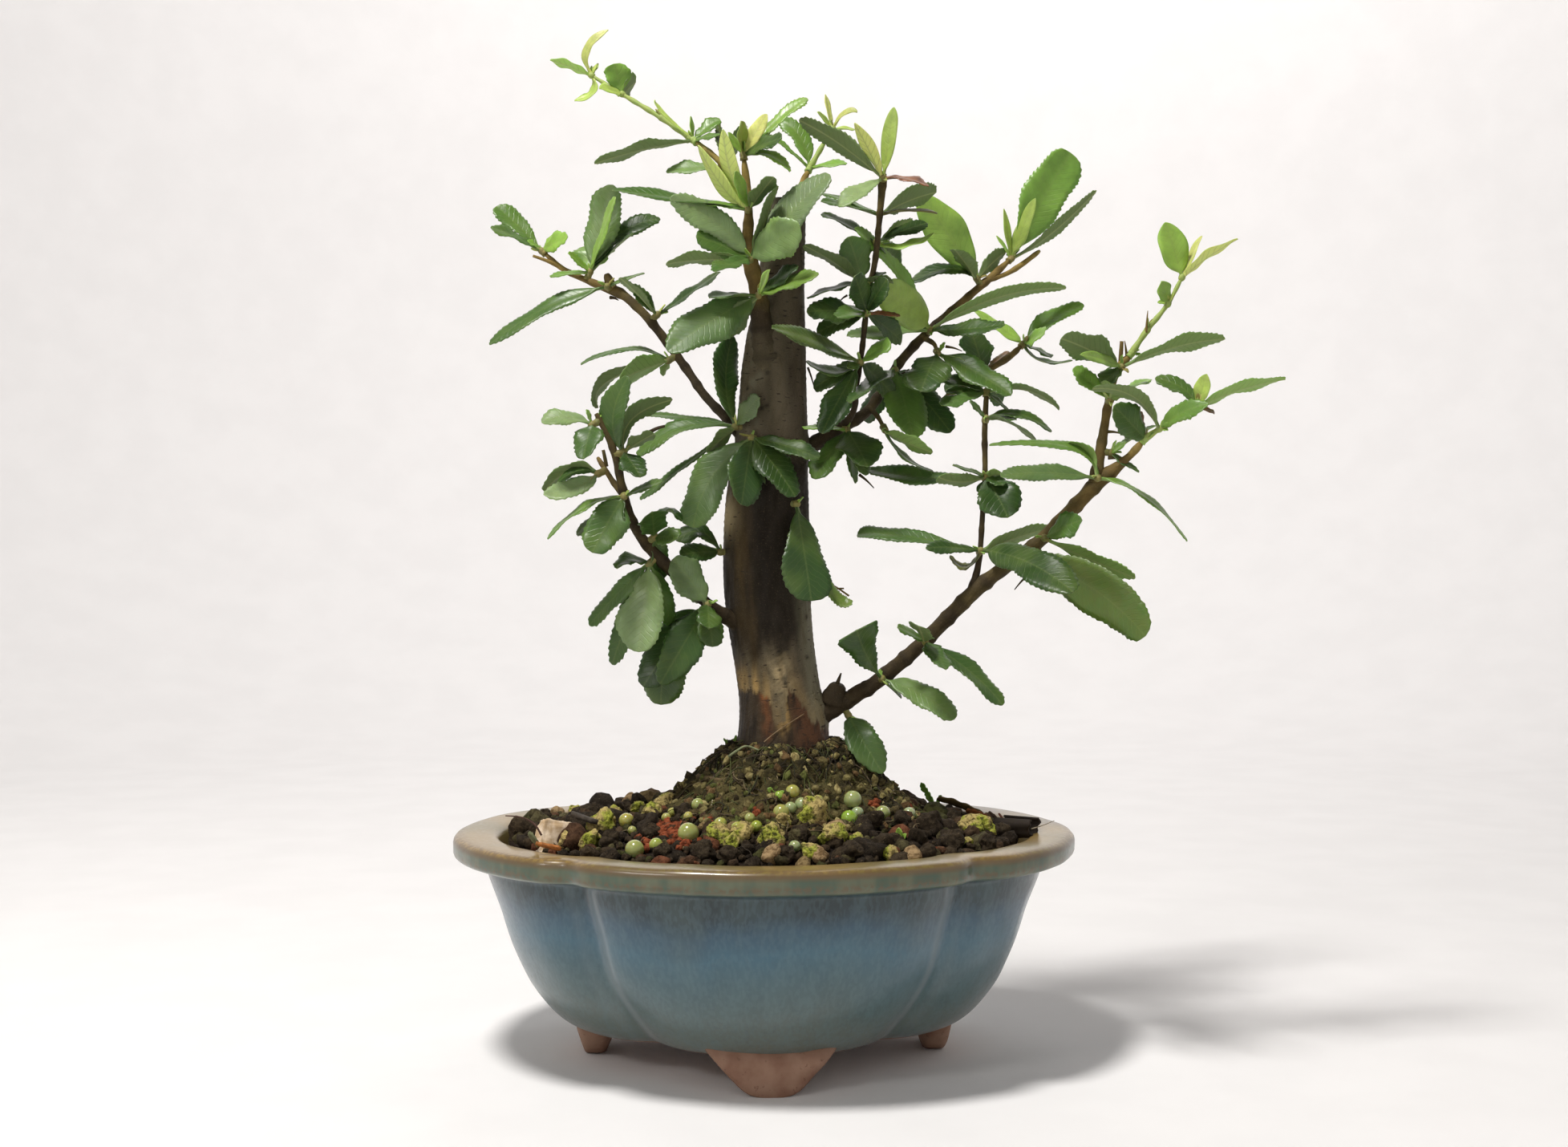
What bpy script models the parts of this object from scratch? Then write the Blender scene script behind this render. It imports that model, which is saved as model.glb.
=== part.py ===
# Pyracantha bonsai in a lobed, glazed pot on four feet.
# Units are metres, +Z is up, and the front of the pot faces -Y.
# Every reading in the tables below is in millimetres: across, up and away as seen from a viewer
# who stands in front of the tree at eye height. place() turns a reading into a point in space.

import math

import bmesh
import bpy
from mathutils import Matrix, Vector

MM = 0.001
TOUCH_GAP = 0.3

# The viewer whose readings the tables hold, and the turn of the pot against that view
EYE_ACROSS = 4.7
EYE_AWAY = 460.0
EYE_UP = 120.5
POT_TURN = math.radians(2.75)

# Pot: a quatrefoil of four arcs that meet in creases
POT_HALF_WIDTH = 75.0
POT_HALF_DEPTH = 63.5
LIP_CREASE = (45.8, 48.4)
WALL_CREASE = (44.8, 44.4)
RIM_UP = 53.3
LIP_WIDTH = 10.7
LIP_HEIGHT = 5.0
WALL = 5.0
FLOOR_UP = 13.6
SIDE_LOBE_STEPS = 9
FRONT_LOBE_STEPS = 8
HOLE_RADIUS = 6.0
HOLE_OFFSET = 20.0

# Outer wall: share of the rim's outline at each height
WALL_SHARES = [
    (8.6, 0.52), (8.9, 0.587), (10.0, 0.648), (14.0, 0.712), (19.0, 0.76),
    (27.0, 0.81), (35.0, 0.845), (43.0, 0.887), (46.4, 0.905),
]
# Inner wall: share of the rim's outline at each height, before the wall is taken off
INNER_SHARES = [(20.0, 0.765), (27.0, 0.81), (35.0, 0.845), (43.0, 0.887)]
INNER_FOOT_SHARES = [(13.6, 0.56), (15.0, 0.70)]

# Foot: half width against height, then the radial faces at its root and at its tip
FOOT_SHAPE = [
    (0.0, 3.4), (0.5, 4.1), (1.6, 5.0), (3.5, 6.6), (5.5, 8.6), (7.5, 11.3), (9.6, 14.3), (11.5, 15.0),
]
FRONT_FOOT = {"rootIn": 33.0, "rootOut": 40.5, "tipIn": 39.0, "tipOut": 43.5}
SIDE_FOOT = {"rootIn": 35.0, "rootOut": 46.0, "tipIn": 38.5, "tipOut": 43.5}

# Drainage: mesh squares over the holes, then a gravel layer under the soil
SCREEN_BAR = 2.0
SCREEN_OPENING = 4.0
SCREEN_OPENINGS = 3
SCREEN_THICKNESS = 0.8
GRAVEL_LOW = 15.0
GRAVEL_HIGH = 20.0

# Soil: height at the rim, then height against share of the rim's outline
SOIL_LOW = 20.3
SOIL_SHOULDER_UP = 47.0
SOIL_RIM_UP = 51.2
SOIL_CROWN = [(0.72, 53.8), (0.56, 56.2), (0.42, 58.8), (0.26, 60.6)]

# Root mound: radius against height round the foot of the trunk
MOUND_ACROSS = 6.0
MOUND_SHAPE = [(46.0, 31.0), (60.0, 28.5), (62.5, 26.0), (65.0, 22.0), (68.0, 18.6), (71.0, 15.2)]
MOUND_TOP_RADIUS = 9.0
MOUND_TOP_UP = 72.8
MOUND_SIDES = 20

TRUNK_SIDES = 14
BRANCH_SIDES = 6
TWIG_RADIUS_LIMIT = 1.05

SPUR_RADIUS = 0.95
SPUR_TURN = 0.4
PETIOLE_HALF = 0.4
LEAF_THICKNESS = 0.6
LEAF_LEAN = 1.6

# Seat of a spur on its branch: across, up, away
FRONT = (0.0, 0.0, -1.0)
BACK = (0.0, 0.0, 1.0)
LEFT = (-1.0, 0.0, 0.0)
RIGHT = (1.0, 0.0, 0.0)
ABOVE = (0.0, 1.0, 0.0)
BELOW = (0.0, -1.0, 0.0)

# Wood: points (across, up, away, radius) along each stem, root end first
BRANCHES = {
    "trunk": [
        (4.0, 38.0, 0.0, 9.0), (4.3, 46.0, 0.0, 13.0), (4.7, 58.0, 0.0, 14.5), (4.7, 66.0, 0.0, 12.6),
        (4.4, 76.0, 0.0, 10.8), (3.5, 86.0, 0.0, 9.9), (1.9, 100.0, 0.0, 10.0), (0.4, 115.0, 0.0, 10.5),
        (0.5, 131.0, 0.0, 10.2), (1.6, 148.0, 0.0, 9.0), (2.4, 165.0, 0.0, 7.8), (3.8, 182.0, 0.0, 6.2),
        (5.0, 197.0, 0.0, 5.2), (5.4, 206.0, 0.0, 4.6),
    ],
    "leader": [
        (1.0, 166.0, -4.0, 3.0), (-0.6, 175.0, -6.5, 2.3), (-2.0, 183.0, -8.5, 1.7),
        (-3.0, 190.0, -9.6, 1.35),
        (-4.0, 196.0, -10.2, 1.2), (-3.9, 204.0, -10.4, 1.0), (-4.5, 211.0, -10.2, 0.8),
        (-5.0, 215.8, -10.0, 0.65),
    ],
    "crownLeft": [
        (-4.0, 205.0, -10.4, 0.7), (-8.0, 212.0, -9.6, 0.75), (-12.0, 216.5, -7.6, 0.7),
        (-16.5, 220.0, -5.0, 0.65),
    ],
    "centre": [
        (6.6, 199.0, 1.0, 1.6), (7.2, 206.0, 2.6, 1.1), (8.8, 209.6, 4.0, 0.8),
        (10.5, 213.0, 6.0, 0.65),
    ],
    "rightUpper": [
        (4.0, 143.5, 0.0, 3.4), (10.0, 145.6, 1.0, 2.5), (14.5, 148.6, 2.0, 2.1),
        (20.0, 151.8, 4.0, 1.8),
        (24.6, 154.6, 6.0, 1.6), (28.4, 159.6, 9.0, 1.45), (32.6, 166.4, 12.0, 1.35),
        (38.6, 173.1, 15.0, 1.2),
        (44.8, 178.8, 18.0, 0.9), (52.9, 185.6, 22.0, 0.95), (59.2, 191.3, 26.0, 0.75),
    ],
    "rightTwin": [
        (54.0, 186.6, 22.4, 0.6), (58.6, 188.2, 25.0, 0.6), (62.6, 190.6, 27.0, 0.7),
        (66.8, 193.8, 29.0, 0.5),
    ],
    "inner": [
        (19.0, 151.2, 3.4, 1.2), (21.6, 155.0, -0.5, 1.1), (22.4, 161.3, -3.0, 1.1),
        (23.7, 170.0, -5.0, 1.1),
        (25.2, 183.7, -6.0, 1.05), (26.8, 191.1, -6.0, 1.0), (28.0, 203.0, -6.0, 0.95),
        (28.8, 212.5, -6.0, 1.15),
    ],
    "rear": [
        (29.5, 161.4, 9.6, 0.8), (35.5, 157.6, 16.0, 0.8), (42.0, 157.0, 22.0, 0.8),
        (47.0, 160.2, 25.0, 0.8),
        (55.3, 165.4, 28.0, 0.8), (59.6, 168.2, 31.0, 0.85), (62.2, 170.6, 33.0, 0.6),
    ],
    "rightDrop": [
        (25.6, 155.6, 6.2, 0.7), (27.6, 153.4, 3.5, 0.55), (28.8, 151.2, 1.0, 0.5),
    ],
    "rightFork": [
        (38.4, 172.8, 14.8, 0.7), (41.0, 171.4, 10.5, 0.55), (41.8, 169.6, 7.5, 0.5),
    ],
    "lowRight": [
        (5.0, 81.5, 0.0, 4.6), (13.5, 83.0, -0.4, 4.4), (18.0, 84.6, -0.8, 3.3),
        (23.0, 86.4, -1.5, 2.2),
        (28.6, 90.1, -3.0, 1.8), (38.4, 98.5, -6.0, 1.75), (51.0, 111.0, -9.0, 1.8),
        (59.8, 118.0, -11.0, 1.65),
        (67.6, 123.9, -13.0, 1.6), (76.4, 132.7, -15.0, 1.7), (81.2, 137.6, -16.0, 1.7),
        (87.4, 142.6, -17.0, 1.35),
    ],
    "burl": [(16.6, 84.0, -0.6, 2.6), (17.9, 88.6, -1.6, 1.7)],
    "lowTip": [
        (83.6, 139.8, -16.6, 0.9), (88.6, 143.9, -18.0, 0.85), (91.6, 147.2, -19.0, 0.8),
    ],
    "twig": [
        (50.4, 110.6, -9.0, 1.3), (52.2, 119.0, -7.5, 0.95), (53.0, 129.8, -5.5, 0.95),
        (53.6, 139.5, -3.5, 0.9),
        (53.5, 149.3, -1.5, 0.95), (53.9, 158.4, 0.5, 0.8),
    ],
    "riser": [
        (80.4, 137.4, -15.9, 1.4), (81.3, 143.0, -16.0, 1.25), (82.3, 149.3, -15.5, 1.1),
        (83.6, 157.0, -15.0, 1.0),
        (85.0, 163.7, -14.5, 1.2), (88.4, 168.0, -14.0, 0.9),
    ],
    "leftUpper": [
        (-1.0, 145.6, -1.0, 2.2), (-6.2, 149.4, -1.4, 1.7), (-9.6, 153.4, 0.0, 1.5),
        (-14.6, 158.8, 2.0, 1.4),
        (-18.9, 165.0, 4.5, 1.35), (-23.9, 171.9, 7.0, 1.35), (-28.3, 177.4, 9.0, 1.25),
        (-33.3, 182.3, 11.0, 1.2),
        (-37.2, 184.5, 12.5, 1.4), (-42.0, 186.2, 13.5, 0.9), (-48.8, 189.3, 14.5, 0.75),
        (-53.2, 193.0, 15.5, 0.6),
    ],
    "leftKnob": [(-37.0, 184.4, 12.5, 1.1), (-38.4, 188.2, 12.8, 0.85)],
    "drop": [
        (-3.0, 101.6, -2.0, 3.2), (-9.5, 105.0, -6.0, 2.2), (-13.5, 107.8, -8.5, 1.75),
        (-19.2, 112.6, -12.0, 1.6),
        (-24.2, 117.7, -14.0, 1.7), (-29.2, 123.1, -16.0, 1.5), (-32.7, 129.2, -18.0, 1.3),
        (-34.6, 136.1, -19.5, 1.0),
        (-36.1, 143.1, -20.5, 0.85), (-38.2, 149.1, -21.0, 0.8), (-41.0, 154.3, -21.0, 0.65),
    ],
    "dropTwig": [(-34.4, 134.6, -19.3, 0.7), (-36.6, 137.3, -18.0, 0.65),
        (-38.7, 140.6, -16.0, 0.6), (-40.6, 143.6, -14.0, 0.5)],
}

# Leaf sprays: name, branch, knots, seat on the branch.
# A knot is (across, up) for one spur. A new shoot has several knots with their own depth, and a soft
# stem runs through them. A leaf is (tip across, tip up, tip away from its knot, width as seen, turn in
# degrees, youth from 0 to 1), and two more numbers bend its midrib through a point.
SPRAYS = {
    "shoot_crown_left": ("crownLeft", "tip", [
        ((-17.0, 220.6, -4.7), [
            (-41.5, 215.3, -5, 2.8, 115, 0.3, -29.0, 218.8), (-11.0, 226.0, 2, 2.5, 50, 0.4),
            (-11.0, 222.0, -3, 1.0, 70, 0.4)]),
        ((-25.0, 226.0, -1.0), []),
        ((-34.6, 231.8, 2.5), [
            (-36.5, 239.2, -1, 6.0, 25, 0.6), (-40.0, 233.4, -4, 2.0, 62, 0.9),
            (-31.5, 234.8, 3, 3.0, 125, 0.3)]),
        ((-42.0, 236.3, 5.0), [
            (-38.0, 247.5, 0, 1.8, 50, 1.0, -43.2, 242.6), (-52.0, 240.3, -1, 2.0, 115, 0.8),
            (-46.2, 230.4, -1, 1.6, 60, 0.9, -41.8, 232.4)]),
    ]),
    "spray_crown_bend": ("crownLeft", BACK, [((-10.4, 214.8), [
        (-24.0, 213.3, 0, 2.3, 60, 0.5), (-11.3, 225.3, 6, 2.0, 40, 0.2),
        (-4.6, 224.0, 4, 3.0, 130, 0.2)])]),
    "spray_leader_upper": ("leader", FRONT, [((-4.0, 203.4), [
        (-16.0, 219.5, -1, 3.0, 130, 0.5, -10.0, 209.5), (-10.0, 223.3, -3, 3.7, 150, 0.6, -8.0, 212.5),
        (-7.0, 213.0, -5, 2.5, 40, 0.3), (-37.0, 208.8, -4, 2.0, 75, 0.3, -18.0, 206.2),
        (-14.5, 205.2, -2, 1.2, 70, 0.5), (2.0, 212.0, -3, 4.0, 130, 0.2)])]),
    "spray_leader_top": ("leader", "tip", [((-5.0, 216.0), [
        (-5.5, 225.3, -2, 2.5, 60, 0.8), (0.5, 227.0, -1, 3.5, 30, 0.8),
        (-8.8, 222.6, -1, 1.8, 50, 0.8),
        (4.0, 221.3, -4, 2.8, 60, 0.1), (10.3, 231.0, 2, 2.3, 50, 0.7, 3.6, 226.0),
        (6.3, 213.2, -3, 1.8, 60, 0.7, 1.4, 217.2)])]),
    "spray_leader_middle": ("leader", FRONT, [((-3.2, 191.6), [
        (15.7, 212.5, -5, 8.5, 35, 0.1), (8.5, 199.5, -9, 8.0, 150, 0.1),
        (-16.5, 197.5, -4, 6.0, 40, 0.1),
        (-23.0, 206.5, -9, 6.5, 140, 0.2, -11.5, 200.5), (-24.0, 191.0, -6, 4.0, 120, 0.2),
        (-12.0, 189.0, -9, 3.5, 60, 0.3), (3.0, 209.7, -2, 2.2, 110, 0.1)])]),
    "spray_leader_low": ("leader", FRONT, [((-1.9, 183.0), [
        (-23.5, 169.6, -7, 9.0, 20, 0.35), (-13.5, 182.7, -4, 1.0, 80, 0.3),
        (-10.0, 173.0, -2, 5.0, 140, 0.0),
        (13.0, 188.3, -5, 3.0, 60, 0.2), (1.0, 189.2, -6, 1.5, 50, 0.8),
        (8.0, 190.4, -2, 2.5, 60, 0.0)])]),
    "shoot_centre": ("centre", "tip", [
        ((11.2, 214.4, 6.6), [
            (3.0, 226.0, 3, 4.0, 30, 0.4, 8.4, 221.8), (1.5, 222.0, -2, 0.8, 70, 0.5, 6.5, 218.0),
            (19.7, 215.0, -3, 1.2, 75, 0.6)]),
        ((16.4, 223.4, 9.0), [
            (14.8, 231.8, 1, 1.2, 50, 1.0), (13.0, 227.6, -2, 1.0, 50, 0.9),
            (22.5, 227.6, -2, 1.2, 60, 1.0, 19.4, 227.4), (22.0, 223.4, 2, 0.8, 70, 0.9)]),
    ]),
    "spray_inner_top": ("inner", FRONT, [((28.6, 211.0), [
        (8.5, 225.7, 2, 4.5, 140, 0.2, 18.5, 219.8), (22.0, 225.0, -3, 3.0, 130, 0.4),
        (31.3, 228.7, -1, 3.5, 30, 0.9), (18.0, 204.8, -5, 3.3, 50, 0.6),
        (40.0, 209.9, -3, 1.5, 80, 0.1, 34.0, 211.6)])]),
    "spray_inner_upper": ("inner", BACK, [((27.9, 203.0), [
        (41.5, 208.2, 2, 6.2, 130, 0.2), (42.0, 203.2, -3, 0.8, 83, 0.2, 34.5, 203.8),
        (13.3, 208.2, 1, 1.0, 80, 0.3), (13.7, 206.0, -3, 1.0, 80, 0.2)])]),
    "spray_inner_middle": ("inner", BACK, [((27.0, 196.0), [
        (14.0, 203.2, 3, 1.7, 75, 0.1), (39.5, 200.8, 3, 2.6, 60, 0.0), (36.0, 200.6, 7, 2.6, 125, 0.4),
        (41.0, 198.4, -1, 1.8, 75, 0.8, 34.0, 195.2)])]),
    "spray_inner_low": ("inner", LEFT, [((25.4, 186.0), [
        (20.5, 197.2, -2, 7.0, 25, 0.6), (9.7, 195.5, -5, 4.0, 120, 0.1),
        (10.3, 182.6, -3, 1.4, 78, 0.0)])]),
    "spray_inner_lower": ("inner", FRONT, [((24.6, 178.6), [
        (22.0, 187.6, -6, 5.0, 30, 0.0), (29.6, 187.0, -3, 4.2, 40, 0.0),
        (10.3, 179.2, -3, 5.6, 40, 0.0),
        (17.8, 178.0, -6, 3.2, 60, 0.3), (33.0, 178.2, 1, 1.0, 60, 0.0)])]),
    "spray_inner_base": ("inner", FRONT, [((23.3, 167.0), [
        (30.6, 171.6, -2, 3.0, 50, 0.6), (5.5, 173.4, -9, 4.0, 60, 0.2),
        (2.0, 175.4, -12, 4.0, 60, 0.1),
        (10.3, 167.4, 0, 3.0, 70, 0.2, 17.0, 164.6), (14.0, 149.6, -5, 5.6, 30, 0.0, 17.6, 157.0)])]),
    "spray_right_base": ("rightUpper", (0.0, -0.5, -0.87), [((18.6, 151.0), [
        (12.2, 138.6, -5, 6.2, 45, 0.3), (25.0, 141.8, -7, 8.2, 25, 0.0),
        (24.8, 139.4, -3, 4.4, 40, 0.1),
        (22.3, 137.4, -1, 1.8, 60, 0.2), (9.6, 151.0, -6, 1.2, 70, 0.6)])]),
    "spray_right_hanging": ("rightDrop", "tip", [((28.8, 151.2), [
        (41.0, 145.2, -3, 3.0, 120, 0.5, 34.0, 147.8), (41.0, 140.4, -1, 1.0, 75, 0.2, 34.0, 144.0)])]),
    "spray_right_shade": ("rightUpper", FRONT, [((31.2, 164.0), [
        (36.3, 148.4, -8, 8.2, 30, 0.4), (45.4, 150.0, -4, 7.6, 40, 0.0),
        (20.6, 157.4, -16, 5.2, 60, 0.1)])]),
    "spray_right_fork": ("rightFork", "tip", [((41.8, 169.4), [
        (38.0, 160.0, -8, 9.2, 20, 0.0), (59.9, 158.9, -8, 6.2, 40, 0.2),
        (53.0, 161.4, -1, 3.6, 120, 0.4)])]),
    "spray_right_node": ("rightUpper", FRONT, [((39.4, 174.0), [
        (28.5, 184.6, -5, 8.2, 30, 0.6), (73.3, 185.2, -5, 4.4, 125, 0.3, 56.0, 182.6),
        (58.2, 176.2, -7, 3.4, 50, 0.1, 49.0, 175.0), (20.0, 173.6, -4, 3.0, 60, 0.5, 30.0, 174.2),
        (18.4, 180.8, 3, 1.9, 75, 0.1, 28.0, 178.2), (22.0, 199.4, -26, 3.3, 60, 0.6, 32.6, 188.4)])]),
    "spray_right_upper": ("rightUpper", ABOVE, [((52.6, 185.4), [
        (38.0, 206.6, -3, 8.7, 30, 0.5), (35.0, 186.2, -4, 4.0, 60, 0.0, 45.0, 189.6),
        (46.3, 194.3, -7, 3.5, 130, 0.3), (58.4, 193.8, 4, 3.3, 140, 0.2)])]),
    "spray_right_tip": ("rightUpper", "tip", [((59.2, 191.3), [
        (74.4, 217.6, 2, 10.0, 25, 0.5), (61.6, 197.4, 5, 3.0, 30, 0.0),
        (58.2, 204.0, -2, 1.6, 50, 0.9),
        (80.4, 208.5, 7, 2.4, 130, 0.3, 70.0, 198.6), (65.6, 206.6, -3, 3.5, 40, 0.9)])]),
    "spray_rear_tip": ("rear", "tip", [((62.2, 170.8), [
        (77.6, 180.8, 2, 4.0, 45, 0.6, 69.5, 177.4), (67.8, 173.8, -6, 3.0, 50, 0.6),
        (50.2, 180.0, 3, 2.8, 55, 0.8, 57.4, 175.2), (69.8, 168.2, -3, 0.9, 80, 0.2),
        (74.8, 167.4, 0, 0.8, 80, 0.2, 67.6, 167.2)])]),
    "spray_rear_middle": ("rear", BACK, [((54.0, 164.6), [
        (50.2, 174.4, 2, 7.0, 30, 0.0), (59.2, 169.6, 3, 1.4, 60, 0.1)])]),
    "spray_twig_top": ("twig", "tip", [((53.9, 158.4), [
        (43.0, 156.6, -3, 2.5, 60, 0.3, 48.0, 158.0), (59.2, 155.2, -2, 0.9, 70, 0.2),
        (71.8, 155.4, 1, 1.5, 110, 0.3, 64.0, 160.2), (42.6, 163.5, 5, 2.5, 60, 0.2),
        (44.0, 159.6, 2, 1.8, 60, 0.3)])]),
    "spray_twig_upper": ("twig", FRONT, [((53.6, 152.6), [
        (69.9, 150.0, -1, 1.9, 65, 0.1, 61.5, 154.4), (66.3, 148.2, -4, 1.4, 100, 0.1, 59.0, 152.6),
        (50.0, 157.4, -2, 1.2, 60, 0.3)])]),
    "spray_twig_middle": ("twig", FRONT, [((53.6, 138.6), [
        (59.2, 129.4, -5, 8.4, 20, 0.0), (58.0, 137.0, -3, 2.3, 50, 0.1),
        (57.8, 140.0, -2, 1.8, 120, 0.4),
        (45.8, 142.0, -3, 0.8, 75, 0.0, 50.6, 140.4), (24.8, 141.2, 9, 4.5, 50, 0.3, 38.5, 138.9),
        (42.3, 139.2, -4, 2.8, 130, 0.3, 47.6, 138.0)])]),
    "spray_twig_low": ("twig", FRONT, [((52.4, 120.6), [
        (39.3, 121.8, -4, 2.5, 50, 0.0), (22.4, 125.2, 3, 3.4, 55, 0.3, 33.0, 124.8),
        (92.6, 100.2, -15, 10.4, 35, 0.3, 75.0, 114.6), (69.4, 126.8, 2, 3.3, 120, 0.4, 60.4, 124.2),
        (45.3, 120.0, 2, 1.3, 65, 0.2, 49.0, 117.2)])]),
    "spray_low_knob": ("lowRight", FRONT, [((68.4, 124.0), [
        (77.0, 128.6, -4, 5.2, 35, 0.3), (90.3, 114.5, -3, 3.1, 130, 0.5, 80.0, 118.8)])]),
    "spray_low_inner": ("lowRight", FRONT, [((29.0, 90.3), [
        (22.6, 101.4, -7, 8.8, 20, 0.1), (46.4, 80.2, -4, 6.4, 40, 0.4, 38.6, 85.8)])]),
    "spray_low_middle": ("lowRight", FRONT, [((39.4, 99.2), [
        (58.2, 83.6, -4, 5.2, 50, 0.1, 49.6, 92.0), (44.2, 92.2, -7, 3.6, 40, 0.2),
        (32.4, 102.5, -2, 1.9, 60, 0.3), (37.6, 102.8, -7, 4.0, 130, 0.3)])]),
    "spray_low_base": ("lowRight", BELOW, [((18.4, 84.4), [(28.8, 66.8, -5, 6.9, 25, 0.2, 23.4, 75.6)])]),
    "spray_low_junction": ("riser", FRONT, [((80.5, 138.6), [
        (57.4, 139.3, -3, 5.0, 50, 0.3, 68.6, 140.0), (54.6, 146.8, 1, 1.6, 65, 0.4, 74.6, 146.2),
        (73.0, 146.7, 2, 1.6, 110, 0.5, 78.4, 145.4), (103.0, 123.4, -3, 1.1, 75, 0.5, 92.0, 134.8)])]),
    "spray_riser_low": ("riser", RIGHT, [((81.7, 145.2), [
        (87.6, 147.2, -3, 1.3, 60, 0.5), (95.0, 151.6, 4, 1.0, 70, 0.5)])]),
    "spray_riser_middle": ("riser", FRONT, [((83.6, 157.2), [
        (84.8, 161.4, -3, 4.6, 150, 0.4), (93.6, 162.8, 6, 1.2, 70, 0.6),
        (75.0, 165.4, 1, 3.4, 40, 0.6)])]),
    "spray_riser_upper": ("riser", FRONT, [((86.0, 165.4), [
        (72.0, 173.0, -4, 7.0, 140, 0.2), (77.0, 168.8, -8, 2.4, 40, 0.8),
        (82.0, 161.6, -1, 4.0, 50, 0.0),
        (111.8, 172.8, 2, 3.0, 125, 0.4, 99.0, 170.6)])]),
    "shoot_riser_tip": ("riser", "tip", [
        ((88.9, 168.8, -14.0), []),
        ((93.0, 174.6, -13.5), []),
        ((98.0, 181.0, -13.0), [(96.6, 186.4, -2, 3.3, 40, 0.8)]),
        ((101.4, 187.4, -12.5), [
            (97.4, 200.8, -1, 6.8, 25, 0.8), (106.0, 197.6, 1, 1.6, 60, 1.0),
            (114.8, 197.0, -2, 2.2, 110, 1.0, 107.0, 192.2)]),
    ]),
    "shoot_low_tip": ("lowTip", "tip", [
        ((92.1, 147.9, -19.2), [(85.0, 156.2, -4, 6.0, 30, 0.2, 89.6, 151.4)]),
        ((96.0, 150.6, -20.2), [
            (79.7, 160.7, -8, 3.8, 120, 0.3, 90.0, 158.6),
            (107.8, 156.9, -5, 3.6, 40, 0.5, 101.0, 154.4)]),
        ((101.0, 153.2, -21.4), []),
        ((105.2, 156.0, -22.4), [
            (94.9, 163.0, 2, 3.2, 45, 0.3, 101.6, 160.6), (107.4, 163.9, -2, 3.4, 25, 0.9),
            (126.5, 162.9, 2, 2.6, 115, 0.6, 115.0, 160.2)]),
    ]),
    "spray_left_tip": ("leftUpper", "tip", [((-53.2, 193.0), [
        (-65.2, 204.7, 2, 4.5, 40, 0.4), (-66.5, 199.7, -3, 1.8, 70, 0.3),
        (-48.0, 197.4, -3, 3.2, 40, 0.7)])]),
    "spray_left_fan": ("leftUpper", ABOVE, [((-43.2, 187.0), [
        (-37.0, 210.0, 1, 7.5, 25, 0.4), (-41.0, 195.4, -9, 8.0, 20, 0.4),
        (-25.3, 201.7, 4, 5.0, 50, 0.1, -35.5, 197.8),
        (-47.6, 193.4, -3, 1.6, 50, 0.7), (-52.0, 187.6, -4, 1.0, 70, 0.6)])]),
    "spray_left_knob": ("leftUpper", FRONT, [((-37.6, 184.6), [
        (-67.0, 171.2, -4, 4.0, 55, 0.3, -52.5, 180.4), (-29.2, 188.6, 1, 0.8, 75, 0.3)])]),
    "spray_left_spur": ("leftUpper", ABOVE, [((-27.6, 176.8), [
        (-11.0, 189.0, 3, 1.8, 70, 0.0, -18.6, 183.4), (-32.0, 185.3, -3, 3.0, 40, 0.1),
        (-35.0, 187.6, -7, 1.8, 120, 0.2)])]),
    "spray_left_node": ("leftUpper", LEFT, [((-21.4, 168.4), [
        (-35.6, 162.6, -6, 6.6, 130, 0.5), (-44.8, 166.4, -3, 1.0, 75, 0.3, -33.0, 170.2),
        (-40.7, 155.6, 1, 2.5, 115, 0.2, -38.4, 162.4), (-25.0, 163.6, 1, 1.6, 120, 0.5)])]),
    "spray_trunk_left": ("trunk", (-0.86, 0.0, -0.52), [((1.6, 150.4), [
        (-1.5, 158.2, -4, 4.0, 40, 0.1), (-14.3, 145.0, -1, 2.7, 120, 0.3),
        (-30.0, 154.2, 4, 1.4, 65, 0.3),
        (-31.0, 144.2, -2, 3.0, 60, 0.3, -20.0, 151.0), (-7.6, 173.4, 5, 6.2, 40, 0.0, -9.4, 162.0),
        (-30.5, 133.6, 3, 1.5, 60, 0.2, -20.6, 141.0)])]),
    "spray_trunk_front": ("trunk", (-0.45, 0.0, -0.89), [((1.5, 147.6), [
        (-17.6, 126.6, -1, 8.5, 30, 0.3, -13.0, 138.8), (-5.4, 132.4, -6, 8.2, 30, 0.0),
        (7.6, 134.4, -4, 7.0, 30, 0.0), (13.2, 143.6, -5, 3.8, 50, 0.0)])]),
    "spray_trunk_right": ("trunk", (0.62, 0.0, -0.78), [((0.6, 132.6), [
        (11.4, 108.8, -5, 10.4, 25, 0.1), (21.2, 109.0, -1, 2.5, 50, 0.5, 15.6, 112.6)])]),
    "spray_trunk_low": ("trunk", (-0.95, 0.0, -0.31), [((0.3, 120.6), [
        (-21.8, 123.7, -1, 4.4, 50, 0.0, -15.5, 125.6), (-20.5, 120.0, -4, 4.6, 40, 0.0)])]),
    "spray_drop_tip": ("drop", LEFT, [((-40.0, 152.6), [
        (-54.3, 152.4, -2, 3.0, 55, 0.5, -48.0, 153.6),
        (-44.2, 143.4, -5, 5.8, 30, 0.2, -43.0, 148.6)])]),
    "spray_drop_upper": ("drop", RIGHT, [((-36.2, 144.4), [
        (-22.5, 158.0, 3, 3.4, 130, 0.1, -32.6, 153.0), (-27.0, 149.8, -1, 2.6, 120, 0.1),
        (-33.3, 163.4, -3, 5.8, 40, 0.2, -37.0, 153.0), (-30.2, 139.2, -5, 4.8, 30, 0.0)])]),
    "spray_drop_twig": ("dropTwig", LEFT, [((-38.6, 140.6), [
        (-54.0, 135.8, 3, 2.4, 115, 0.3, -46.6, 141.2), (-50.8, 137.6, 0, 1.8, 60, 0.1, -45.0, 140.6),
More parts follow.
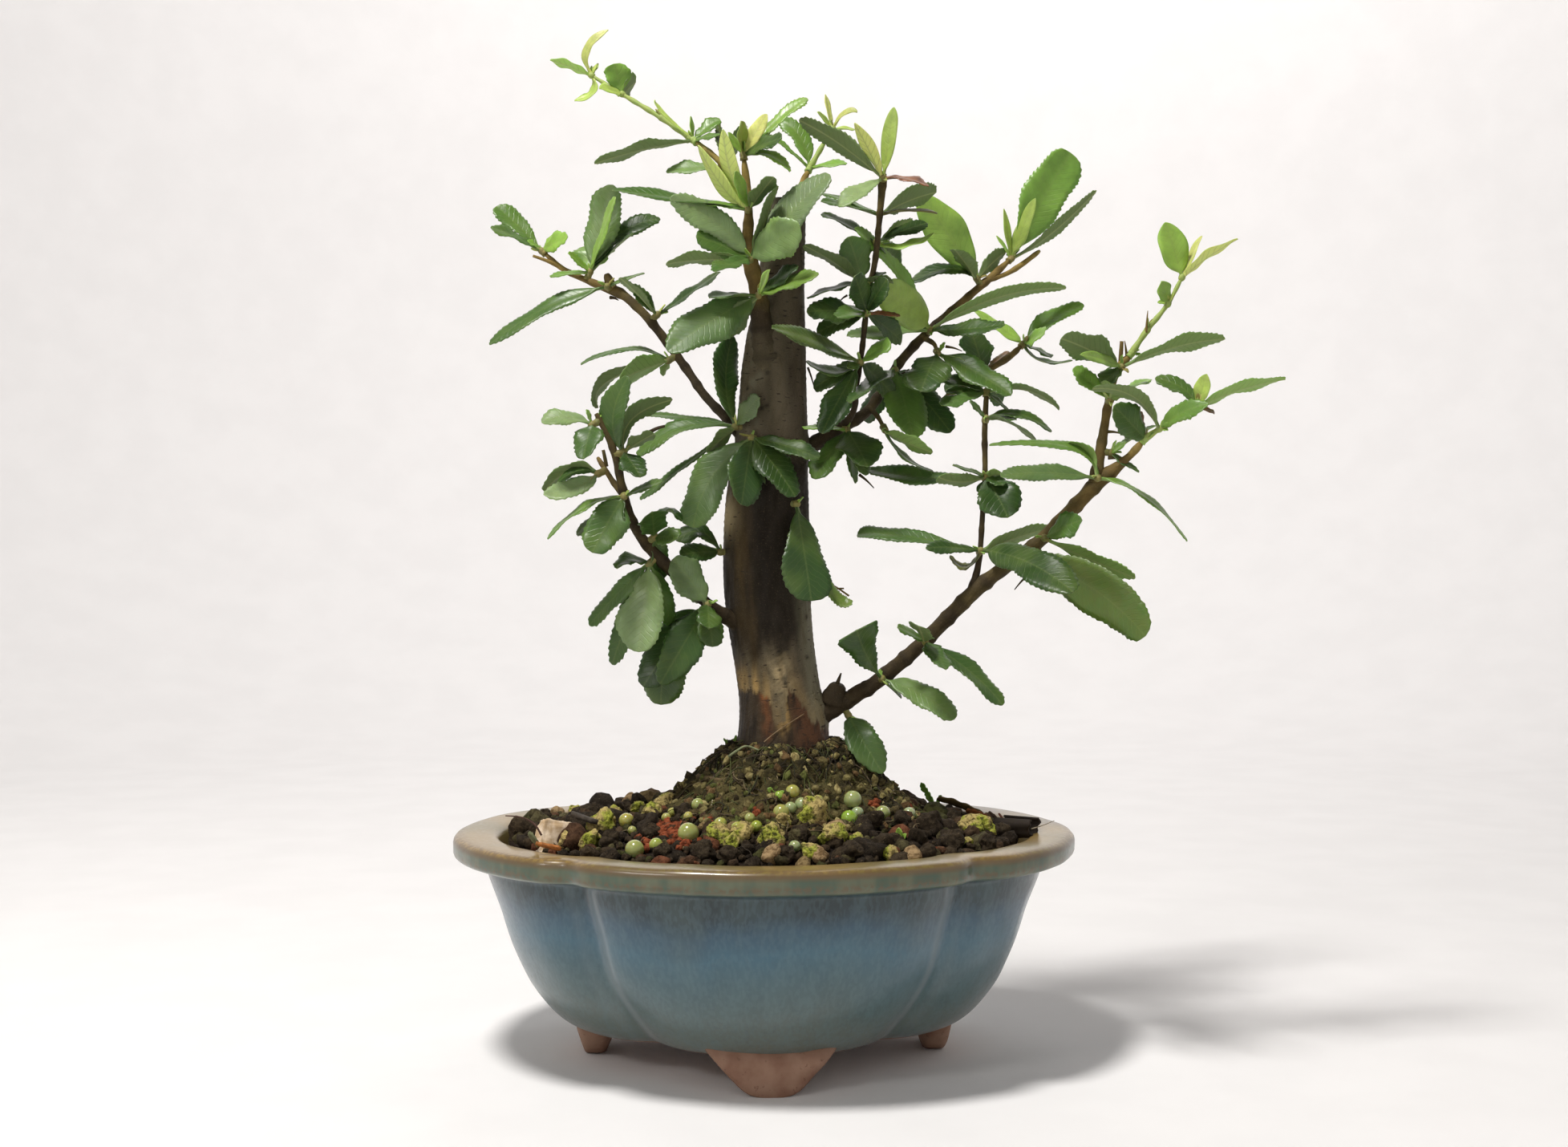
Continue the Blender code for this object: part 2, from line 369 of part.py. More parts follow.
        (-53.8, 134.8, -4, 4.2, 45, 0.6, -46.0, 136.4)])]),
    "spray_drop_middle": ("drop", FRONT, [((-34.2, 134.6), [
        (-42.0, 120.6, -4, 8.5, 30, 0.3), (-53.0, 123.9, -1, 1.2, 75, 0.4, -44.0, 131.8),
        (-46.0, 125.0, 2, 2.6, 60, 0.0), (-25.0, 138.0, -2, 1.6, 65, 0.2)])]),
    "spray_drop_round": ("drop", RIGHT, [((-29.0, 122.6), [
        (-27.2, 130.0, -5, 6.4, 20, 0.1), (-21.2, 124.2, -3, 4.0, 40, 0.2),
        (-19.8, 128.4, 4, 1.2, 75, 0.1, -24.4, 130.6)])]),
    "spray_drop_hanging": ("drop", BELOW, [((-26.2, 119.8), [
        (-42.8, 102.8, 1, 4.0, 45, 0.3), (-37.3, 93.2, 3, 5.2, 35, 0.2),
        (-30.8, 96.4, -4, 9.4, 25, 0.4),
        (-23.0, 102.6, 2, 4.0, 40, 0.4, -24.4, 109.4),
        (-36.2, 116.8, -3, 2.4, 60, 0.1, -33.0, 119.0)])]),
    "spray_drop_base": ("drop", FRONT, [((-14.6, 108.8), [
        (-22.2, 119.0, -2, 7.6, 35, 0.3), (-12.6, 97.6, -2, 5.6, 30, 0.1),
        (-25.4, 88.6, -5, 6.6, 40, 0.4, -18.4, 100.4),
        (-25.4, 83.4, 1, 10.4, 25, 0.1, -22.6, 97.0)])]),
}


def place(across, up, away):
    """Point in space of a reading: it lies on the viewer's line of sight at that depth."""
    reach = (EYE_AWAY + away) / EYE_AWAY
    x = EYE_ACROSS + (across - EYE_ACROSS) * reach
    z = EYE_UP + (up - EYE_UP) * reach
    turnedX = x * math.cos(POT_TURN) + away * math.sin(POT_TURN)
    turnedY = -x * math.sin(POT_TURN) + away * math.cos(POT_TURN)
    return Vector((turnedX, turnedY, z)) * MM


def heading(across, up, away):
    """Unit direction of a reading, without the line of sight."""
    x = across * math.cos(POT_TURN) + away * math.sin(POT_TURN)
    y = -across * math.sin(POT_TURN) + away * math.cos(POT_TURN)
    return Vector((x, y, up)).normalized()


def makeMaterial(name, color, roughness, metallic=0.0):
    material = bpy.data.materials.new(name)
    material.use_nodes = True
    shader = material.node_tree.nodes["Principled BSDF"]
    shader.inputs["Base Color"].default_value = (*color, 1.0)
    shader.inputs["Roughness"].default_value = roughness
    shader.inputs["Metallic"].default_value = metallic
    material.diffuse_color = (*color, 1.0)
    return material


def makeObject(name, form, material):
    """Turn a bmesh into an object with outward faces."""
    bmesh.ops.recalc_face_normals(form, faces=form.faces)
    mesh = bpy.data.meshes.new(name)
    form.to_mesh(mesh)
    form.free()
    mesh.materials.append(material)
    item = bpy.data.objects.new(name, mesh)
    bpy.context.scene.collection.objects.link(item)
    return item


def combine(base, tools, operation):
    """Apply one Boolean for each tool to the base, then remove the tools."""
    for tool in tools:
        tool.hide_render = True
        tool.display_type = "WIRE"
        modifier = base.modifiers.new(operation, "BOOLEAN")
        modifier.operation = operation
        modifier.solver = "EXACT"
        modifier.object = tool
    graph = bpy.context.evaluated_depsgraph_get()
    graph.update()
    joined = bpy.data.meshes.new_from_object(base.evaluated_get(graph))
    base.modifiers.clear()
    base.data = joined
    for tool in tools:
        bpy.data.objects.remove(tool, do_unlink=True)
    return base


def smooth(item, angle=40.0):
    item.data.shade_smooth()
    item.data.set_sharp_from_angle(angle=math.radians(angle))


def sharpenCreases(item, angle):
    """Keep the inward folds between the lobes crisp."""
    form = bmesh.new()
    form.from_mesh(item.data)
    for edge in form.edges:
        if not edge.is_convex and edge.calc_face_angle() > math.radians(angle):
            edge.smooth = False
    form.to_mesh(item.data)
    form.free()


def loft(rings, closeStart=True, closeEnd=True):
    """Join rings of equal length with triangles and close the ends with one face each."""
    form = bmesh.new()
    rows = [[form.verts.new(point) for point in ring] for ring in rings]
    count = len(rows[0])
    for low, high in zip(rows, rows[1:]):
        for index in range(count):
            after = (index + 1) % count
            form.faces.new((low[index], low[after], high[after]))
            form.faces.new((low[index], high[after], high[index]))
    if closeStart:
        form.faces.new(list(reversed(rows[0])))
    if closeEnd:
        form.faces.new(rows[-1])
    return form


def lobeCircles(share, inset, crease):
    """Centre and radius of the side and front arcs of the outline, scaled and moved inwards."""
    squares = crease[0] ** 2 + crease[1] ** 2
    sideCentre = (POT_HALF_WIDTH ** 2 - squares) / (2 * (POT_HALF_WIDTH - crease[0]))
    frontCentre = (POT_HALF_DEPTH ** 2 - squares) / (2 * (POT_HALF_DEPTH - crease[1]))
    sideRadius = (POT_HALF_WIDTH - sideCentre) * share - inset
    frontRadius = (POT_HALF_DEPTH - frontCentre) * share - inset
    return sideCentre * share, sideRadius, frontCentre * share, frontRadius


def creasePoint(sideCentre, sideRadius, frontCentre, frontRadius):
    """Crossing of a side arc and a front arc in the first quadrant."""
    gap = math.hypot(sideCentre, frontCentre)
    along = (sideRadius ** 2 - frontRadius ** 2 + gap ** 2) / (2 * gap)
    off = math.sqrt(sideRadius ** 2 - along ** 2)
    stepX = -sideCentre / gap
    stepY = frontCentre / gap
    candidates = []
    for sign in (-1.0, 1.0):
        x = sideCentre + along * stepX - sign * off * stepY
        y = along * stepY + sign * off * stepX
        candidates.append((x, y))
    return max(candidates, key=lambda point: point[0] + point[1])


def lobedRing(share, inset, up, crease):
    """One level of the quatrefoil: four arcs, each without its last point."""
    sideCentre, sideRadius, frontCentre, frontRadius = lobeCircles(share, inset, crease)
    x, y = creasePoint(sideCentre, sideRadius, frontCentre, frontRadius)
    sideSweep = math.atan2(y, x - sideCentre)
    frontStart = math.atan2(y - frontCentre, x)
    right = []
    for step in range(SIDE_LOBE_STEPS):
        angle = sideSweep * (2 * step / SIDE_LOBE_STEPS - 1)
        right.append((sideCentre + sideRadius * math.cos(angle), sideRadius * math.sin(angle)))
    back = []
    for step in range(FRONT_LOBE_STEPS):
        angle = frontStart + (math.pi - 2 * frontStart) * step / FRONT_LOBE_STEPS
        back.append((frontRadius * math.cos(angle), frontCentre + frontRadius * math.sin(angle)))
    half = right + back
    other = [(-px, -py) for px, py in half]
    return [Vector((px, py, up)) * MM for px, py in half + other]


def between(table, value):
    """Straight-line reading of a table of (key, value) pairs."""
    for (lowKey, lowValue), (highKey, highValue) in zip(table, table[1:]):
        if value <= highKey:
            return lowValue + (highValue - lowValue) * (value - lowKey) / (highKey - lowKey)
    return table[-1][1]


def innerWallRing(up, clearance):
    """Level of the pot's inner wall, moved inwards by a clearance."""
    top = INNER_SHARES[-1]
    if up <= top[0]:
        share = between(INNER_FOOT_SHARES + INNER_SHARES, up)
        return lobedRing(share, WALL + clearance, up, WALL_CREASE)
    lipStart = RIM_UP - 0.7
    part = (up - top[0]) / (lipStart - top[0])
    below = lobedRing(top[1], WALL + clearance, top[0], WALL_CREASE)
    above = lobedRing(1.0, LIP_WIDTH + 0.3 + clearance, lipStart, LIP_CREASE)
    return [low.lerp(high, part) for low, high in zip(below, above)]


def makePot(material):
    """One fired piece: bowl with a flat lip, two drainage holes and four feet."""
    lipBase = RIM_UP - LIP_HEIGHT
    rings = [lobedRing(share, 0.0, up, WALL_CREASE) for up, share in WALL_SHARES]
    rings.append(lobedRing(0.985, 0.0, lipBase - 0.5, LIP_CREASE))
    rings.append(lobedRing(1.0, 0.0, lipBase + 0.7, LIP_CREASE))
    rings.append(lobedRing(1.0, 0.0, RIM_UP - 1.0, LIP_CREASE))
    rings.append(lobedRing(1.0, 1.0, RIM_UP, LIP_CREASE))
    rings.append(lobedRing(1.0, LIP_WIDTH - 0.5, RIM_UP, LIP_CREASE))
    rings.append(innerWallRing(RIM_UP - 0.7, 0.0))
    rings.append(innerWallRing(SOIL_RIM_UP, 0.0))
    rings.append(innerWallRing(SOIL_SHOULDER_UP, 0.0))
    for up, _ in reversed(INNER_SHARES):
        rings.append(innerWallRing(up, 0.0))
    for up, _ in reversed(INNER_FOOT_SHARES):
        rings.append(innerWallRing(up, 0.0))
    pot = makeObject("pot", loft(rings), material)
    holes = [makeHole(side * HOLE_OFFSET, material) for side in (-1.0, 1.0)]
    combine(pot, holes, "DIFFERENCE")
    feet = []
    for quarter in range(4):
        sizes = SIDE_FOOT if quarter % 2 else FRONT_FOOT
        feet.append(makeFoot(quarter * math.pi / 2, sizes, material))
    combine(pot, feet, "UNION")
    smooth(pot, 30.0)
    sharpenCreases(pot, 8.0)
    return pot


def makeHole(across, material):
    sides = 16
    rings = []
    for up in (FLOOR_UP - 10.0, FLOOR_UP + 5.0):
        ring = []
        for step in range(sides):
            angle = 2 * math.pi * step / sides
            x = across + HOLE_RADIUS * math.cos(angle)
            y = HOLE_RADIUS * math.sin(angle)
            ring.append(Vector((x, y, up)) * MM)
        rings.append(ring)
    return makeObject("hole", loft(rings), material)


def makeFoot(angle, sizes, material):
    """A bracket foot: it narrows in a curve to a small flat tip, turned to its side of the pot."""
    topUp = FOOT_SHAPE[-1][0]
    rings = []
    for up, half in FOOT_SHAPE:
        part = up / topUp
        inner = sizes["tipIn"] + (sizes["rootIn"] - sizes["tipIn"]) * part
        outer = sizes["tipOut"] + (sizes["rootOut"] - sizes["tipOut"]) * part
        corners = [(-half, -outer), (half, -outer), (half, -inner), (-half, -inner)]
        ring = []
        for x, y in corners:
            turnedX = x * math.cos(angle) - y * math.sin(angle)
            turnedY = x * math.sin(angle) + y * math.cos(angle)
            ring.append(Vector((turnedX, turnedY, up)) * MM)
        rings.append(ring)
    return makeObject("foot", loft(rings), material)


def makeScreen(name, across, material):
    """A square of mesh: a grid of cells without the openings, given its thickness."""
    cells = 2 * SCREEN_OPENINGS + 1
    edges = [0.0]
    for cell in range(cells):
        edges.append(edges[-1] + (SCREEN_OPENING if cell % 2 else SCREEN_BAR))
    middle = edges[-1] / 2
    low = FLOOR_UP + TOUCH_GAP
    form = bmesh.new()
    layers = []
    for up in (low, low + SCREEN_THICKNESS):
        layers.append([[form.verts.new(Vector((across + x - middle, y - middle, up)) * MM)
                        for y in edges] for x in edges])
    solid = [[not (i % 2 and j % 2) for j in range(cells)] for i in range(cells)]
    for i in range(cells):
        for j in range(cells):
            if solid[i][j]:
                addCell(form, layers, solid, i, j)
    unused = [vertex for vertex in form.verts if not vertex.link_faces]
    bmesh.ops.delete(form, geom=unused, context="VERTS")
    return makeObject(name, form, material)


def addCell(form, layers, solid, i, j):
    """Top, bottom and open sides of one solid cell of the mesh square."""
    bottom, top = layers
    corners = [(i, j), (i + 1, j), (i + 1, j + 1), (i, j + 1)]
    form.faces.new([top[a][b] for a, b in corners])
    form.faces.new([bottom[a][b] for a, b in reversed(corners)])
    count = len(solid)
    beyond = [(i, j - 1), (i + 1, j), (i, j + 1), (i - 1, j)]
    for side, (a, b) in enumerate(beyond):
        if 0 <= a < count and 0 <= b < count and solid[a][b]:
            continue
        start = corners[side]
        end = corners[(side + 1) % 4]
        form.faces.new((bottom[start[0]][start[1]], bottom[end[0]][end[1]],
                        top[end[0]][end[1]], top[start[0]][start[1]]))


def makeGravel(material):
    rings = [innerWallRing(up, TOUCH_GAP) for up in (GRAVEL_LOW, GRAVEL_HIGH)]
    return makeObject("drainage_gravel", loft(rings), material)


def soilForm(lift):
    """The soil's solid; a lift raises its top surface only."""
    levels = [SOIL_LOW] + [up for up, _ in INNER_SHARES[1:]] + [SOIL_SHOULDER_UP]
    rings = [innerWallRing(up, TOUCH_GAP) for up in levels[:-1]]
    rings.append(innerWallRing(levels[-1], 2 * TOUCH_GAP))
    edge = innerWallRing(SOIL_RIM_UP, 2 * TOUCH_GAP)
    rings.append([point + Vector((0, 0, lift * MM)) for point in edge])
    for share, up in SOIL_CROWN:
        rings.append(lobedRing(share, 0.0, up + lift, LIP_CREASE))
    return loft(rings)


def makeSoil(stumpRoom, material):
    soil = makeObject("soil", soilForm(0.0), material)
    combine(soil, [stumpRoom], "DIFFERENCE")
    smooth(soil, 50.0)
    return soil


def makeMound(stumpRoom, material):
    """Moss and fine roots heaped round the foot of the trunk, lying on the soil."""
    rings = []
    middle = place(MOUND_ACROSS, 0.0, 0.0)
    for up, radius in MOUND_SHAPE + [(MOUND_TOP_UP, MOUND_TOP_RADIUS)]:
        ring = []
        for step in range(MOUND_SIDES):
            angle = 2 * math.pi * step / MOUND_SIDES
            swell = 0.09 * math.sin(2 * angle + 0.6) + 0.05 * math.sin(5 * angle + 1.0 + up * 0.05)
            reach = radius * (1.0 + swell)
            x = middle.x / MM + reach * math.cos(angle)
            y = reach * math.sin(angle)
            ring.append(Vector((x, y, up)) * MM)
        rings.append(ring)
    mound = makeObject("root_mound", loft(rings), material)
    ground = makeObject("ground", soilForm(TOUCH_GAP), material)
    combine(mound, [ground, stumpRoom], "DIFFERENCE")
    smooth(mound, 50.0)
    return mound


def curvePoints(points, step):
    """Smooth curve through points with radii, sampled about every step."""
    padded = [points[0]] + points + [points[-1]]
    result = []
    for index in range(len(points) - 1):
        before, start, end, after = padded[index:index + 4]
        length = (end[0] - start[0]).length
        count = max(1, round(length / (step * MM)))
        for part in range(count):
            t = part / count
            spot = 0.5 * (
                2 * start[0] + (end[0] - before[0]) * t
                + (2 * before[0] - 5 * start[0] + 4 * end[0] - after[0]) * t * t
                + (3 * start[0] - before[0] - 3 * end[0] + after[0]) * t ** 3)
            result.append((spot, start[1] + (end[1] - start[1]) * t))
    result.append(points[-1])
    return result


def tubeForm(points, sides):
    """Tapered round tube along points with radii, with flat ends."""
    rings = []
    sideways = None
    for index, (spot, radius) in enumerate(points):
        before = points[max(index - 1, 0)][0]
        after = points[min(index + 1, len(points) - 1)][0]
        along = (after - before).normalized()
        if sideways is None:
            helper = Vector((0, 1, 0)) if abs(along.y) < 0.9 else Vector((1, 0, 0))
            sideways = helper
        sideways = (sideways - along * sideways.dot(along)).normalized()
        upright = along.cross(sideways)
        ring = []
        for step in range(sides):
            angle = 2 * math.pi * step / sides
            ring.append(spot + (sideways * math.cos(angle) + upright * math.sin(angle)) * radius)
        rings.append(ring)
    return loft(rings)


def stemPoints(name, extra=0.0):
    """Sampled centreline of a branch, with radii grown by an allowance."""
    points = [(place(a, u, d), (r + extra) * MM) for a, u, d, r in BRANCHES[name]]
    return curvePoints(points, 12.0 if name == "trunk" else 7.0)


def makeWood(material):
    """Trunk, branches and twigs in one grown piece."""
    trunk = makeObject("trunk_and_branches", tubeForm(stemPoints("trunk"), TRUNK_SIDES), material)
    limbs = []
    for name, points in BRANCHES.items():
        if name == "trunk":
            continue
        thick = max(point[3] for point in points) > TWIG_RADIUS_LIMIT
        sides = BRANCH_SIDES + 2 if thick else BRANCH_SIDES
        limbs.append(makeObject(name, tubeForm(stemPoints(name), sides), material))
    combine(trunk, limbs, "UNION")
    smooth(trunk, 60.0)
    return trunk


def nearestOnBranch(name, across, up):
    """Centre, direction and radius of the branch where a reading lies."""
    points = [(place(a, u, d), r) for a, u, d, r in BRANCHES[name]]
    table = BRANCHES[name]
    best = None
    for index in range(len(table) - 1):
        start = Vector(table[index][:2])
        end = Vector(table[index + 1][:2])
        run = end - start
        t = max(0.0, min(1.0, (Vector((across, up)) - start).dot(run) / run.length_squared))
        miss = (start + run * t - Vector((across, up))).length
        if best is None or miss < best[0]:
            spot = points[index][0].lerp(points[index + 1][0], t)
            along = (points[index + 1][0] - points[index][0]).normalized()
            radius = points[index][1] + (points[index + 1][1] - points[index][1]) * t
            best = (miss, spot, along, radius)
    return best[1], best[2], best[3]


def knotCentres(spray):
    """Centre of each knot of a spray, the first one clear of the wood by the touch gap."""
    branch, seat, knots = spray
    first = knots[0][0]
    spot, along, radius = nearestOnBranch(branch, first[0], first[1])
    if seat == "tip":
        reach = (TOUCH_GAP + SPUR_RADIUS) * MM
        centres = [spot + along * reach]
    else:
        outward = heading(*seat)
        outward = (outward - along * outward.dot(along)).normalized()
        centres = [spot + outward * (radius + TOUCH_GAP + SPUR_RADIUS) * MM]
    for knot, _ in knots[1:]:
        centres.append(place(*knot))
    return centres


def depthOf(point):
    """Depth reading of a point in space."""
    return (point.x * math.sin(POT_TURN) + point.y * math.cos(POT_TURN)) / MM


def leafWidth(seenWidth, turn):
    """Real width of a blade that is seen at a turn, held near the width of a broad leaf."""
    return min(seenWidth / max(abs(math.cos(math.radians(turn))), 0.2), max(5.0, seenWidth))


def midribBend(start, tip, leaf):
    """Point that bends the midrib: through the leaf's own middle reading, or slightly upwards."""
    middle = (start + tip) / 2
    if len(leaf) > 6:
        via = place(leaf[6], leaf[7], depthOf(start) + leaf[2] * LEAF_LEAN / 2)
        return via * 2 - middle
    return middle + Vector((0, 0, 0.06 * (tip - start).length))


def leafForm(centre, leaf):
    """Closed thin leaf: flat above and keeled below along a bent midrib, pointed at the tip."""
    tipAcross, tipUp, tipAway, seenWidth, turn, _ = leaf[:6]
    tip = place(tipAcross, tipUp, depthOf(centre) + tipAway * LEAF_LEAN)
    start = centre + (tip - centre).normalized() * 0.2 * MM
    bend = midribBend(start, tip, leaf)
    eye = place(EYE_ACROSS, EYE_UP, -EYE_AWAY)
    angle = math.radians(turn)
    width = leafWidth(seenWidth, turn)
    lean = 1.0 if tipAcross * MM >= start.x else -1.0
    stations = [(0.0, PETIOLE_HALF), (0.2, 0.45), (0.6, width / 2), (0.87, width * 0.36)]
    rings = []
    for t, half in stations:
        spot = start * (1 - t) ** 2 + bend * 2 * t * (1 - t) + tip * t * t
        along = ((bend - start) * (1 - t) + (tip - bend) * t).normalized()
        toEye = (eye - spot).normalized()
        flat = along.cross(toEye).normalized()
        facing = flat.cross(along).normalized()
        side = flat * math.cos(angle) + facing * math.sin(angle) * lean
        normal = side.cross(along).normalized()
        rings.append([spot + side * half * MM, spot - side * half * MM, spot - normal * LEAF_THICKNESS * MM])
    form = loft(rings, closeEnd=False)
    form.verts.ensure_lookup_table()
    last = [form.verts[index] for index in range(len(form.verts) - 3, len(form.verts))]
    point = form.verts.new(tip)
    for index in range(3):
        form.faces.new((last[index], last[(index + 1) % 3], point))
    bmesh.ops.triangulate(form, faces=form.faces)
    return form


def makeSpray(name, spray, material):
    """Spur or soft stem with its leaves in one grown piece."""
    knots = spray[2]
    centres = knotCentres(spray)
    form = bmesh.new()
    bmesh.ops.create_icosphere(form, subdivisions=1, radius=SPUR_RADIUS * MM)
    bmesh.ops.rotate(form, verts=form.verts, matrix=Matrix.Rotation(SPUR_TURN, 3, (0.3, 0.5, 0.8)))
    bmesh.ops.translate(form, verts=form.verts, vec=centres[0])
    base = makeObject(name, form, material)
    tools = []
    if len(centres) > 1:
        taper = [(0.75 - 0.3 * index / (len(centres) - 1)) * MM for index in range(len(centres))]
        beyond = centres[-1] + (centres[-1] - centres[-2]).normalized() * 0.8 * MM
        stem = list(zip(centres[:-1] + [beyond], taper))
        tools.append(makeObject("stem", tubeForm(stem, BRANCH_SIDES), material))
    for centre, (_, leaves) in zip(centres, knots):
        for leaf in leaves:
            tools.append(makeObject("leaf", leafForm(centre, leaf), material))
    combine(base, tools, "UNION")
    smooth(base, 30.0)
    return base


def centreOnOrigin(items):
    """Root empty that puts the middle of the box over the origin and the feet at zero."""
    low = Vector((1.0, 1.0, 1.0))
    high = Vector((-1.0, -1.0, -1.0))
    for item in items:
        for vertex in item.data.vertices:
            low = Vector(map(min, low, vertex.co))
            high = Vector(map(max, high, vertex.co))
    root = bpy.data.objects.new("root", None)
    bpy.context.scene.collection.objects.link(root)
    root.location = (-(low.x + high.x) / 2, -(low.y + high.y) / 2, -low.z)
    for item in items:
        item.parent = root
    return root


def build():
    for item in list(bpy.data.objects):
        bpy.data.objects.remove(item, do_unlink=True)
    glaze = makeMaterial("pot_glaze", (0.075, 0.16, 0.19), 0.3)
    netting = makeMaterial("screen_plastic", (0.05, 0.05, 0.045), 0.6)
    gravel = makeMaterial("gravel_stone", (0.23, 0.19, 0.15), 0.9)
    earth = makeMaterial("soil_grains", (0.06, 0.045, 0.032), 0.95)
    moss = makeMaterial("moss_and_roots", (0.055, 0.06, 0.025), 0.95)
    bark = makeMaterial("bark", (0.13, 0.095, 0.065), 0.8)
    leaf = makeMaterial("leaf_mature", (0.1, 0.2, 0.05), 0.4)
    young = makeMaterial("leaf_young", (0.3, 0.4, 0.1), 0.45)
    items = [makePot(glaze)]
    items.append(makeScreen("drainage_screen_left", -HOLE_OFFSET, netting))
    items.append(makeScreen("drainage_screen_right", HOLE_OFFSET, netting))
    items.append(makeGravel(gravel))
    buried = stemPoints("trunk", TOUCH_GAP)
    buried[0] = (buried[0][0] - Vector((0, 0, TOUCH_GAP * MM)), buried[0][1])
    items.append(makeSoil(makeObject("stump_room", tubeForm(buried, TRUNK_SIDES), earth), earth))
    items.append(makeMound(makeObject("stump_room", tubeForm(buried, TRUNK_SIDES), moss), moss))
    items.append(makeWood(bark))
    for name, spray in SPRAYS.items():
        items.append(makeSpray(name, spray, young if name.startswith("shoot") else leaf))
    centreOnOrigin(items)
    for item in items:
        print(item.name, len(item.data.polygons))


build()
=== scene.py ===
import math

import bpy
import numpy as np
from mathutils import Matrix, Vector


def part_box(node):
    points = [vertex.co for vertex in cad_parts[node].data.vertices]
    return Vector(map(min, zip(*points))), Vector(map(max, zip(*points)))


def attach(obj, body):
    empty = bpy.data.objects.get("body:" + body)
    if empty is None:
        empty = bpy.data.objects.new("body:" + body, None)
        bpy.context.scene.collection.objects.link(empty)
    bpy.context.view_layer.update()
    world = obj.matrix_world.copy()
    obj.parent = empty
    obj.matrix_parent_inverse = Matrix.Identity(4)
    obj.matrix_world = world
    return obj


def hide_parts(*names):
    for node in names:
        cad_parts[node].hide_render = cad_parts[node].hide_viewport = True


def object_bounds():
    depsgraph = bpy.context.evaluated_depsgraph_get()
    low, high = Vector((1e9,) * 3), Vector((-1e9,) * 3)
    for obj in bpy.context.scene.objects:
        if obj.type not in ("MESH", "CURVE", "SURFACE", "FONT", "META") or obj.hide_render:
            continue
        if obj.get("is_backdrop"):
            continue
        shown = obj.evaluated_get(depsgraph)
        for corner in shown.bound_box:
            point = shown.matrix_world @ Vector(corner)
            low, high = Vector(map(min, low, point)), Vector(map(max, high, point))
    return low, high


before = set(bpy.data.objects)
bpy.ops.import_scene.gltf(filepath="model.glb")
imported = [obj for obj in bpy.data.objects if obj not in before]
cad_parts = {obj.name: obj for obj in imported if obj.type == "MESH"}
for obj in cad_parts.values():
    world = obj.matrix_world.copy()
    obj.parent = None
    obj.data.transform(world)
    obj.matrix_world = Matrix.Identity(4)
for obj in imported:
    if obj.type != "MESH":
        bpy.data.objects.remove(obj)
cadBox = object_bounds()

# Pyracantha bonsai in its lobed pot. Lengths are in millimetres until makePiece() turns them into metres.
# A reading is (across, up, away) as the viewer in front of the tree sees it, and place() finds its spot.
toMetres = 0.001
potLow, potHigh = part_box("pot")
potCentre = np.array([(potLow.x + potHigh.x) / 2, (potLow.y + potHigh.y) / 2, 0.0]) * 1000
viewer = {"across": 4.7, "away": 460.0, "up": 120.5, "turn": math.radians(2.75)}


def unit(vectors):
    # Each vector divided by its own length
    return vectors / np.maximum(np.linalg.norm(vectors, axis=-1, keepdims=True), 1e-12)


def turned(across, away, up):
    # The viewer's directions in the object's own frame: (x cos + y sin, y cos - x sin, z)
    c, s = math.cos(viewer["turn"]), math.sin(viewer["turn"])
    return np.stack([across * c + away * s, -across * s + away * c, up], -1)


def place(readings):
    # k = (eye's distance + away) / eye's distance carries a reading along its line of sight,
    # and the turn of the pot against that view brings it into the object's own frame
    readings = np.asarray(readings, float)
    across, up, away = readings[..., 0], readings[..., 1], readings[..., 2]
    k = (viewer["away"] + away) / viewer["away"]
    x = viewer["across"] + (across - viewer["across"]) * k
    z = viewer["up"] + (up - viewer["up"]) * k
    return turned(x, away, z) + potCentre


def depthOf(points):
    # Away reading of a point: the turn undone
    points = points - potCentre
    return points[..., 0] * math.sin(viewer["turn"]) + points[..., 1] * math.cos(viewer["turn"])


def towards(reading):
    # Direction of a reading without the line of sight, of length one
    across, up, away = reading
    return unit(turned(across, away, up))


eye = place((viewer["across"], viewer["up"], -viewer["away"]))


def ripple(points, size, seed, waves=10):
    # Smooth unevenness from about -1 to 1: the mean of sine waves in random directions,
    # each from 0.6 to 1.6 sizes long
    draw = np.random.default_rng(seed)
    ways = unit(draw.normal(size=(waves, 3))) / (size * draw.uniform(0.6, 1.6, waves))[:, None]
    phases = draw.uniform(0, 2 * math.pi, waves)
    return np.sin(points @ ways.T * 2 * math.pi + phases).mean(-1) * 2.0


def ease(low, high, values):
    # Smooth step: 0 below low, 1 above high, 3t^2 - 2t^3 between
    t = np.clip((values - low) / (high - low), 0, 1)
    return t * t * (3 - 2 * t)


def smoothPath(points, step):
    # Catmull-Rom curve through the points, read again at even steps of its own length.
    # Columns after the third, such as a radius, are carried along
    points = np.asarray(points, float)
    padded = np.vstack([points[:1], points, points[-1:]])
    spots = np.linspace(0, len(points) - 1, len(points) * 12)
    index = np.minimum(spots.astype(int), len(points) - 2)
    t = (spots - index)[:, None]
    a, b, c, d = (padded[index + k] for k in range(4))
    curve = 0.5 * (2 * b + (c - a) * t + (2 * a - 5 * b + 4 * c - d) * t ** 2 + (3 * b - a - 3 * c + d) * t ** 3)
    lengths = np.concatenate([[0], np.cumsum(np.linalg.norm(np.diff(curve[:, :3], axis=0), axis=1))])
    even = np.linspace(0, lengths[-1], max(3, int(round(lengths[-1] / step)) + 1))
    return np.stack([np.interp(even, lengths, column) for column in curve.T], 1)


# ---- meshes

def gridQuads(rows, columns, around=False):
    # Corners of the faces of a grid of points; around joins the last column to the first
    numbers = np.arange(rows * columns).reshape(rows, columns)
    after = np.roll(numbers, -1, axis=1) if around else numbers[:, 1:]
    here = numbers if around else numbers[:, :-1]
    return np.stack([here[:-1], after[:-1], after[1:], here[1:]], -1).reshape(-1, 4)


